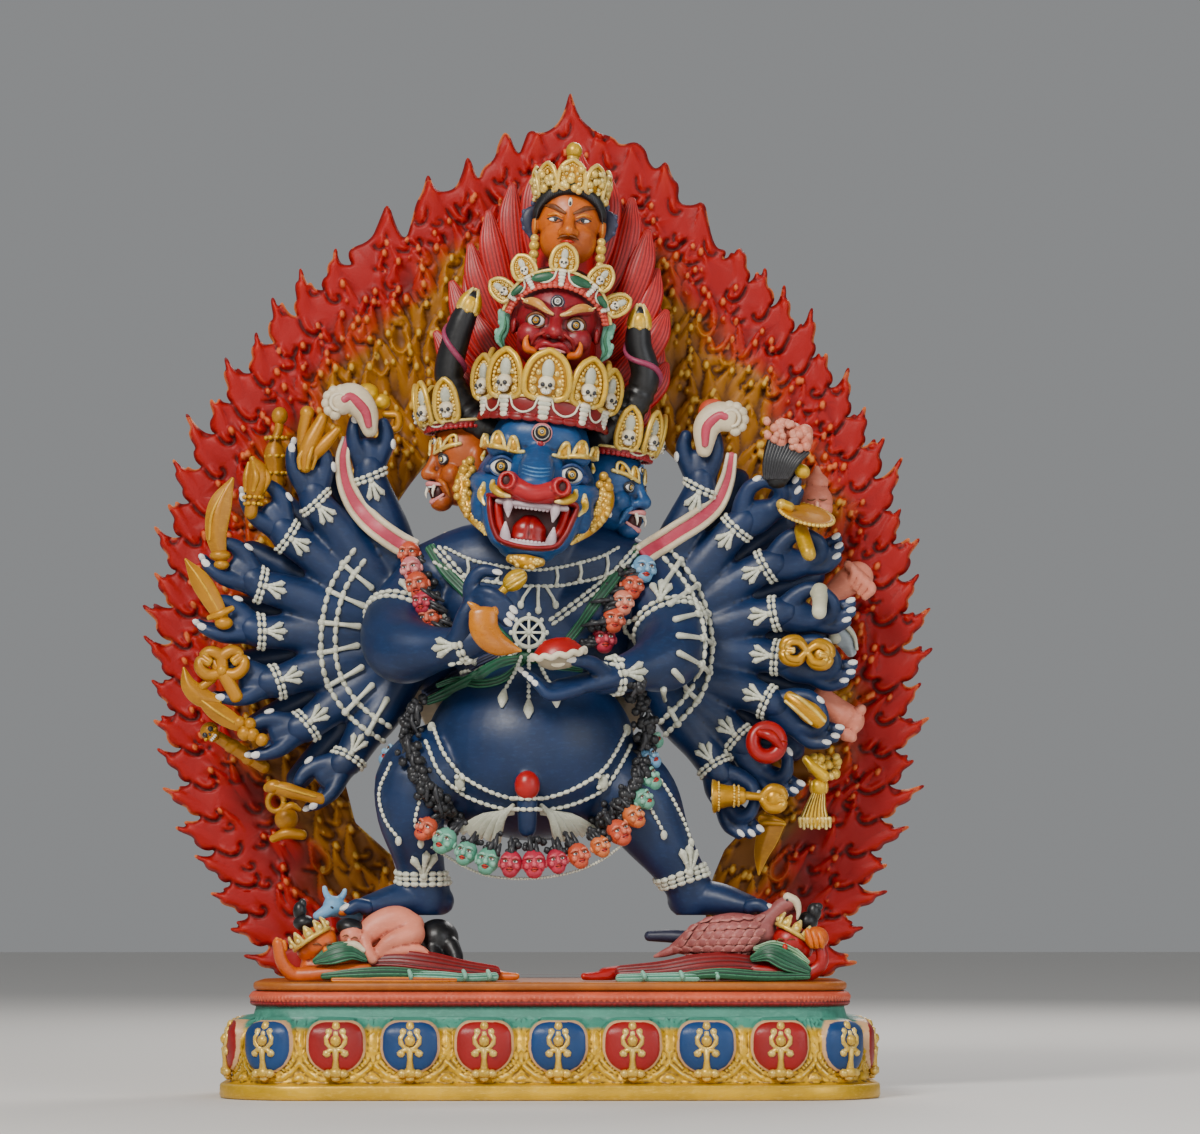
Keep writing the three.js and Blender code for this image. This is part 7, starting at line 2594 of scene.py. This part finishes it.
def makeSkullCup():
    form = Form()
    centre = np.array([6, -126, 325.5])
    cup = Form()
    lathe(cup, "bone", [(0, -11), (8, -10.5), (13.5, -7.5), (17.2, -3), (18, 0), (17.4, 1.4)], (0, 0, 0),
        (0, 0, 1), 44)
    rim = [(19.4 * math.cos(a), 19.4 * math.sin(a), 0.4 + 0.9 * math.sin(11 * a))
        for a in np.linspace(0, 2 * np.pi, 61)]
    sweep(cup, "ivory", rim, 2.3, steps=120, rounded=False)
    dome = [(0, 12.5), (7, 11.6), (13, 8.6), (17.2, 4), (18.6, 1.2)]
    lathe(cup, "red", dome[::-1], (0, 0, 0), (0, 0, 1), 40)
    for k in range(7):
        a = k * 2.4
        ball(cup, "red", (7 * math.cos(a), 5.5 * math.sin(a), 8.6), (4.2, 3.2, 3), 12, 8)
    ball(cup, "ivory", (-1, -13.2, -4.5), (6, 2, 4), 14, 9)
    squeezed = Spot(centre, turnMatrix(x=7, y=-8) @ np.diag([1, 0.76, 1]))
    form.join(cup, squeezed)
    finishHeld("skull_cup", form)


def makeLeftHeld():
    front = held["front"]
    form = Form()
    sweep(form, "ochre", [(-185, front, 472), (-184, front, 484), (-172, front, 509)], [5, 6.4, 4.4], sides=18,
        steps=16)
    sweep(form, "ochre", [(-186, front + 4, 478), (-187, front + 4, 496), (-184, front + 3, 513)],
        [5, 4.6, 4.6], sides=16, steps=14)
    sweep(form, "ochre", [(-182, front + 2, 478), (-172, front + 1, 488), (-161, front, 500)], [4.6, 5.2, 3.4],
        sides=16, steps=14)
    ball(form, "ochre", (-184, front + 3, 513), (5.4, 5, 5.6), 16, 12)
    for k in range(5):
        turn = k * 1.26
        sweep(form, "ochre", [(-185 + 5 * math.cos(turn), front - 1 + 4 * math.sin(turn), 471),
            (-184 + 6.5 * math.cos(turn), front - 1 + 5 * math.sin(turn), 479),
            (-180 + 4 * math.cos(turn), front - 1 + 3 * math.sin(turn), 489)], [1.6, 2, 0.8], sides=10,
            steps=10)
    finishHeld("trident_head", form)
    form = Form()
    sweep(form, "ochre", [(-226, front, 437), (-225, front, 445), (-222, front, 457), (-221, front, 468),
        (-225, front, 478)], [5, 5.4, 8.6, 8.4, 2.4], sides=24, steps=22)
    for z, wide in ((444, 6.2), (449, 6.8)):
        beadLine(form, "ochre", [(-224.5 + wide * math.cos(a), front + wide * math.sin(a), z)
            for a in np.linspace(0, 2 * np.pi, 15)], 1.6, 1.0, 1.2)
    for k in range(5):
        turn = k * 1.26 - 0.4
        x, y = math.cos(turn), math.sin(turn)
        sweep(form, "ochre", [(-223 + 7 * x, front + 7 * y, 454), (-221 + 8.4 * x, front + 8.4 * y, 464),
            (-224 + 4 * x, front + 4 * y, 475)], [1.8, 3, 1], sides=10)
    finishHeld("bud_mace", form)
    form = Form()
    sweep(form, "ochre", [(-249, front, 404), (-252, front - 1, 422), (-249, front - 1, 443),
        (-240, front, 463)], [5, 8.4, 8.6, 1.4], [3.4, 4.4, 3.8, 1.2], face=(0, -1, 0), sides=24, steps=26,
        section=flatBlade)
    ball(form, "ochre", (-249, front, 405), (8, 6, 4.5), 18, 12)
    ball(form, "ochre", (-248, front, 398), (6, 5, 4), 16, 10)
    sweep(form, "ochre", [(-257, front - 3, 417), (-255, front - 4.5, 436), (-246, front - 3, 455)],
        [0.9, 1.3, 0.6], sides=8, steps=14)
    finishHeld("curved_blade", form)
    form = Form()
    sweep(form, "ochre", [(-247, front, 356), (-253, front - 1, 368), (-264, front - 1, 386),
        (-275, front, 402)], [5, 7.4, 7.2, 1], [3.6, 4.6, 4.2, 1.2], face=(0, -1, 0), sides=24, steps=24,
        section=flatBlade)
    ball(form, "ochre", (-246, front, 354), (7, 5.5, 5), 18, 12)
    sweep(form, "ochre", [(-240, front - 1, 365), (-248, front - 3, 361), (-257, front - 1, 358)],
        [2.2, 3.2, 2], steps=10)
    sweep(form, "ochre", [(-250, front - 4, 363), (-262, front - 5.4, 384), (-273, front - 2, 399)],
        [0.9, 1.1, 0.5], sides=8)
    finishHeld("short_dagger", form)
    form = Form()
    addLoops(form, "ochre", (-247, front - 3, 318), (-0.85, 0, 0.55), 13, 2, 0.3)
    addLoops(form, "ochre", (-247, front - 3, 318), (0.8, 0, 0.6), 13, 2, 0.3)
    sweep(form, "ochre", [(-253, front - 1, 324), (-245, front - 3, 314), (-236, front - 2, 298)],
        [4.6, 5, 5.2], [4, 4.4, 4], face=(0, -1, 0), sides=16, steps=14)
    ball(form, "ochre", (-247, front - 5, 318), (4.6, 4, 4.6), 16, 12)
    sweep(form, "ochre", [(-276, front, 320), (-272, front, 307), (-262, front, 298), (-250, front, 295)],
        [1, 6, 7.5, 4], [1.2, 4, 4.4, 3], face=(0, -1, 0), sides=20, steps=20, section=flatBlade)
    sweep(form, "ochre", [(-262, front, 306), (-254, front, 312)], [3.4, 3], steps=6)
    finishHeld("crescent_axe", form)
    form = Form()
    sweep(form, "ochre", [(-266, front, 299), (-255, front - 1, 290), (-241, front - 1, 281),
        (-232, front, 276)], [1, 6.2, 7, 4.6], [1.2, 4.4, 4.6, 4], face=(0, -1, 0), sides=24, steps=22,
        section=flatBlade)
    sweep(form, "ochre", [(-264, front - 2, 297), (-252, front - 5.6, 288), (-238, front - 5, 279)],
        [0.6, 1.2, 0.8], sides=8)
    for x, z, size in ((-234, 279, 5.0), (-230, 271, 5.6), (-226, 278, 4.8), (-224, 270, 5.2),
            (-217, 266, 5.0)):
        ball(form, "ochre", (x, front - 1, z), (size, size * 0.9, size), 16, 12)
    finishHeld("leaf_dagger", form)
    form = Form()
    sweep(form, "ochre", [(-213, front, 230), (-205, front - 1, 230), (-190, front - 1, 226),
        (-172, front, 221)], [3.4, 5.6, 4.8, 4.6], [3, 4.6, 4, 4], face=(0, -1, 0), sides=20, steps=20)
    ball(form, "ochre", (-208, front - 1, 231), (6.6, 5, 5.2), 16, 12)
    sweep(form, "ochre", [(-209, front - 5, 232), (-194, front - 5.6, 228), (-176, front - 4.4, 223)],
        [0.8, 1.2, 0.8], sides=8)
    finishHeld("flat_stick", form)
    rear = held["rear"]
    form = Form()
    sweep(form, "ochre", [(-209, rear, 462), (-210, rear, 478), (-210, rear, 491), (-207, rear, 504),
        (-207, rear, 508)], [6.6, 7.2, 8.2, 4, 3.2], sides=22, steps=22)
    ball(form, "ochre", (-206.5, rear, 514), (6.2, 6, 7), 18, 12)
    for z in (470, 483, 497):
        beadLine(form, "ochre", [(-209.5 + 7.6 * math.cos(a), rear + 7.6 * math.sin(a), z)
            for a in np.linspace(0, 2 * np.pi, 15)], 1.8, 1.0, 1.3)
    finishHeld("tall_club", form)
    form = Form()
    sweep(form, "ochre", [(-217, rear - 8, 246), (-235, rear - 8, 258), (-252, rear - 8, 269)], [4.6, 5.4, 4.6],
        sides=18, steps=18)
    addSkull(form, spotFacing((-257, rear - 12, 272), (-0.3, -1, 0), (-0.75, 0, 0.66)), 9, "ochre")
    for x, z in ((-228, 253), (-241, 262)):
        ball(form, "ochre", (x, rear - 9, z), (6.6, 5.6, 5.6), 16, 12)
    finishHeld("skull_staff", form)
    form = Form()
    ball(form, "ochre", (-200, rear - 6, 207), (9, 7, 9), 20, 14)
    ring = [(-208 + 6 * math.cos(a), rear - 7, 220 + 7 * math.sin(a)) for a in np.linspace(0, 2 * np.pi, 15)]
    sweep(form, "ochre", ring, 2.2, steps=32, rounded=False)
    sweep(form, "ochre", [(-210, rear - 7, 192), (-200, rear - 8, 196), (-188, rear - 7, 195)], [3, 4.4, 4],
        sides=14)
    sweep(form, "ochre", [(-202, rear - 8, 214), (-196, rear - 8, 217), (-190, rear - 7, 214)], [2.6, 3, 1.6],
        steps=10)
    finishHeld("small_vajra", form)


def makeRightHeld():
    rear = held["rear"]
    dice = np.random.default_rng(4)
    form = Form()
    source = Form()
    for k in range(16):
        x, z = dice.uniform(-15, 15), dice.uniform(-8, 8)
        ball(source, "pink", (178 + x, -10 + dice.uniform(-5, 5), 496 - x * 0.35 + z), dice.uniform(5, 7.5), 14,
            10)
    form.add(*blended("brain", source, 1.15, 1), "skinPink")
    for k in range(34):
        x, z = dice.uniform(-17, 17), dice.uniform(-8, 10)
        reach = 1 - (x / 24) ** 2 - (z / 16) ** 2
        ball(form, "skinPink", (178 + x, -14 - 6.5 * reach, 496 - x * 0.35 + z), dice.uniform(2.2, 3.8), 10, 8)
    source = Form()
    sweep(source, "black", [(179, -9, 489), (174, -9, 476), (170, -9, 462)], [16, 14, 9], [8, 8, 7],
        face=(0, -1, 0), sides=24, steps=16)
    form.join(source)
    for k in range(13):
        x = -14 + 2.35 * k
        sweep(form, "black", [(180 + x, -16.5, 488 - x * 0.4), (174 + x * 0.9, -18, 475),
            (170 + x * 0.62, -16, 463)], [1.5, 1.7, 1.1], sides=8, steps=10)
    ball(form, "paleGold", (190, -10, 469), (6.4, 5, 5.4), 16, 12, turnMatrix(y=30))
    finishHeld("brain_with_hair", form)
    form = Form()
    spot = Spot((193, -16, 436), turnMatrix(x=24, y=14))
    disc = Form()
    lathe(disc, "ochre", [(0, -1.4), (18, -1.8), (20.6, -1.2), (21.5, 0), (20.6, 1.2), (18, 1), (16, 0.4),
        (6, 0.8), (0, 1.6)], (0, 0, 0), (0, 0, 1), 56)
    beadLine(disc, "gold", [(21.2 * math.cos(a), 21.2 * math.sin(a), 0) for a in np.linspace(0, 2 * np.pi, 49)],
        1.5, 0.9, 1.2)
    form.join(disc, spot)
    sweep(form, "paleGold", [(180, -19, 441), (174, -21, 443)], [4, 4.4], sides=16, steps=6)
    sweep(form, "paleGold", [(189, -14, 424), (191, -19, 416), (194, -26, 406)], [5.4, 5.8, 5.6], sides=20)
    ball(form, "paleGold", (194.4, -27, 405), (5.2, 4.2, 5), 16, 12)
    finishHeld("wheel_disc", form)
    form = Form()
    sweep(form, "cream", [(203, -8, 378), (203, -14, 371), (202, -24, 362)], [7, 5.6, 5.6], sides=20)
    ball(form, "cream", (202, -25, 361.5), (5.4, 4.2, 5.2), 16, 12)
    ball(form, "cream", (203, -9, 377), (7.4, 5, 5.6), 16, 12)
    finishHeld("white_peg", form)
    form = Form()
    for way in ((-1, 0, 0.05), (1, 0, -0.25)):
        addLoops(form, "gold", np.array([193, -17, 332.5]) + np.array(way) * 1.5, way, 12, 2, 0.3)
        addLoops(form, "gold", np.array([193, -20, 332.5]) + np.array(way) * 1.5, way, 10, 2, 0.26)
    ball(form, "gold", (193, -18, 332.5), (4.6, 4.4, 5), 16, 12)
    ball(form, "gold", (204.5, -18, 329), (7.5, 4, 7.5), 18, 12)
    finishHeld("gold_vajra", form)
    form = Form()
    sweep(form, "gold", [(179, -14, 299), (184, -16, 295), (193, -17, 288), (203, -15, 280)], [4.4, 6, 8, 6.4],
        [3, 4.4, 5, 4.4], face=(0, -1, 0), sides=24, steps=18)
    rim = [(179, -15, 300), (187, -19, 297), (197, -20, 289), (206, -18, 280)]
    sweep(form, "paleGold", rim, [1.6, 2, 2, 1.4], sides=10, steps=18)
    sweep(form, "paleGold", [(177, -16, 295), (185, -20, 288), (196, -20, 278)], [1.4, 1.8, 1.2], sides=10,
        steps=18)
    finishHeld("gold_drum", form)
    form = Form()
    for turnShift, size, y in ((0, 10.4, -20), (0.6, 9.6, -15)):
        ring = [(162.5 + size * math.cos(a + turnShift), y + 1.6 * math.sin(a),
            264 + size * 1.05 * math.sin(a + turnShift)) for a in np.linspace(0, 2 * np.pi, 21)]
        sweep(form, "red", ring, 5.4, sides=18, steps=60, rounded=False)
    sweep(form, "red", [(157, -24, 271), (166, -27, 268), (173, -24, 260)], [3, 4, 2.6], sides=14)
    finishHeld("noose", form)
    form = Form()
    profile = [(4.6, 24), (6.4, 22), (7.4, 17), (8.2, 10), (9.6, 5), (12.6, 0.6), (12.9, -0.8), (11.4, -0.8),
        (7.5, 5), (0, 8)]
    lathe(form, "gold", profile[::-1], (123, -17, 223.5), (1, -0.12, 0.02), 44)
    for along, reach in ((3.4, 10.6), (15, 8.0), (18.4, 7.4)):
        place = np.array([123, -17, 223.5]) + unit((1, -0.12, 0.02)) * along
        beadLine(form, "gold", [place + (0.1 * math.sin(a), reach * math.cos(a), reach * math.sin(a))
            for a in np.linspace(0, 2 * np.pi, 27)], 1.0, 1.0, 1.2)
    ball(form, "ivory", (122.5, -17, 222), 2.2, 12, 8)
    sweep(form, "gold", [(146, -20, 224), (158, -18, 223), (166, -18, 222)], [3.4, 3, 3.4], sides=14, steps=10)
    addLoops(form, "gold", (160, -18, 222.5), (1, 0, -0.1), 11, 2, 0.32)
    ball(form, "gold", (168, -18, 222), (7, 5, 7.6), 18, 12)
    finishHeld("hand_bell", form)
    form = Form()
    source = Form()
    ball(source, "skinPink", (202, rear - 6, 449), (13, 12, 13), 24, 16)
    ball(source, "skinPink", (205, rear - 8, 443), (10, 9, 9), 20, 14)
    ball(source, "skinPink", (203, rear - 5, 463), (9, 8, 7.5), 18, 12)
    sweep(source, "skinPink", [(203, rear - 5, 466), (203, rear - 5, 474)], [6, 2.5], sides=14, steps=6)
    form.add(*blended("head", source, 1.2, 2), "skinPink")
    for x in (198, 207):
        sweep(form, "umber", [(x - 3, rear - 18.4, 449.4), (x, rear - 19, 448.4), (x + 3, rear - 18.4, 449.4)],
            [0.4, 0.7, 0.4], sides=6, steps=6)
    ball(form, "skinPink", (202.5, rear - 19, 445), (2, 2.4, 2.8), 10, 8)
    finishHeld("topknot_head", form)
    form = Form()
    source = Form()
    sweep(source, "salmon", [(206, rear - 2, 370), (216, rear - 3, 379), (226, rear - 4, 387)], [8.5, 8.5, 11],
        sides=18)
    ball(source, "salmon", (233, rear - 5, 391), (13, 9, 12), 20, 14)
    for k in range(4):
        sweep(source, "salmon", [(226 + 4.6 * k, rear - 12, 400 - 4.2 * k),
            (231 + 4.4 * k, rear - 15, 394 - 4.2 * k), (228 + 3.6 * k, rear - 13, 386 - 3.6 * k)],
            [3.4, 3.6, 2.8])
    form.add(*blended("fist", source, 1.15, 1), "skinPink")
    finishHeld("severed_fist", form)
    form = Form()
    sweep(form, "grey", [(204, rear - 4, 352), (214, rear - 6, 353), (224, rear - 6, 345),
        (229, rear - 4, 333)], [4, 8, 8.5, 4], [3, 4, 4, 3], face=(0, -1, 0.2), sides=30, steps=22,
        section=flatBlade)
    sweep(form, "cream", [(206, rear - 8, 358), (219, rear - 10, 357), (230, rear - 9, 347),
        (233, rear - 7, 336)], [1.2, 1.8, 1.8, 1.2], sides=10, steps=18)
    ball(form, "cream", (216, rear - 9, 344), (5, 4, 4.4), 14, 10)
    finishHeld("grey_axe", form)
    form = Form()
    source = Form()
    sweep(source, "salmon", [(206, rear - 3, 300), (214, rear - 4, 293), (223, rear - 5, 285)], [8, 9, 11],
        sides=18)
    ball(source, "salmon", (228, rear - 5, 282), (11, 8, 11), 20, 14)
    ball(source, "salmon", (225, rear - 8, 271), (6, 5.5, 5.5), 16, 12)
    for k in range(4):
        ball(source, "salmon", (236 - 2.4 * k, rear - 8, 290 - 7 * k), 4.2, 12, 9)
    form.add(*blended("sole", source, 1.15, 1), "skinPink")
    finishHeld("severed_foot", form)
    form = Form()
    for k in range(26):
        x, z = dice.uniform(-10, 10), dice.uniform(-8, 8)
        ball(form, "paleGold", (208 + x, rear - 10 + dice.uniform(-4, 4), 247 + z), dice.uniform(2.6, 4.4), 12,
            9)
    sweep(form, "paleGold", [(194, rear - 14, 252), (199, rear - 16, 246), (207, rear - 15, 239)],
        [3.4, 4.2, 5], sides=16)
    ball(form, "paleGold", (203.5, rear - 12, 231), (7, 6, 7), 18, 12)
    for side in (-1, 1):
        ball(form, "gold", (203.5 + side * 5, rear - 13, 231), (2.4, 3, 5), 12, 8)
    def pleated(turn):
        x = np.cos(turn)
        return x, np.sin(turn) * (0.8 + 0.2 * np.cos(x * math.pi * 7))
    sweep(form, "paleGold", [(203.5, rear - 12, 227), (201, rear - 12, 215), (200, rear - 12, 205)], [5, 8, 12],
        [4, 5, 6], face=(0, -1, 0), sides=60, steps=18, section=pleated)
    for k in range(9):
        x = 189 + 2.8 * k
        sweep(form, "paleGold", [(x, rear - 15, 207), (x + 0.3, rear - 15, 201 - 1.4 * (k % 2))], [1.8, 1.1],
            sides=8, steps=6)
    finishHeld("hanging_banner", form)
    form = Form()
    sweep(form, "ochre", [(168, rear - 12, 206), (164, rear - 12, 192), (160, rear - 11, 180),
        (158, rear - 10, 165)], [10.5, 8.6, 5.5, 0.9], [4, 3.8, 3, 1], face=(0, -1, 0), sides=24, steps=22,
        section=flatBlade)
    sweep(form, "ochre", [(158, rear - 15, 203), (163, rear - 17, 204), (177, rear - 15, 203)], [1.8, 2.2, 1.6],
        steps=14)
    finishHeld("triangular_blade", form)


makeChopper()
makeSkullCup()
makeLeftHeld()
makeRightHeld()
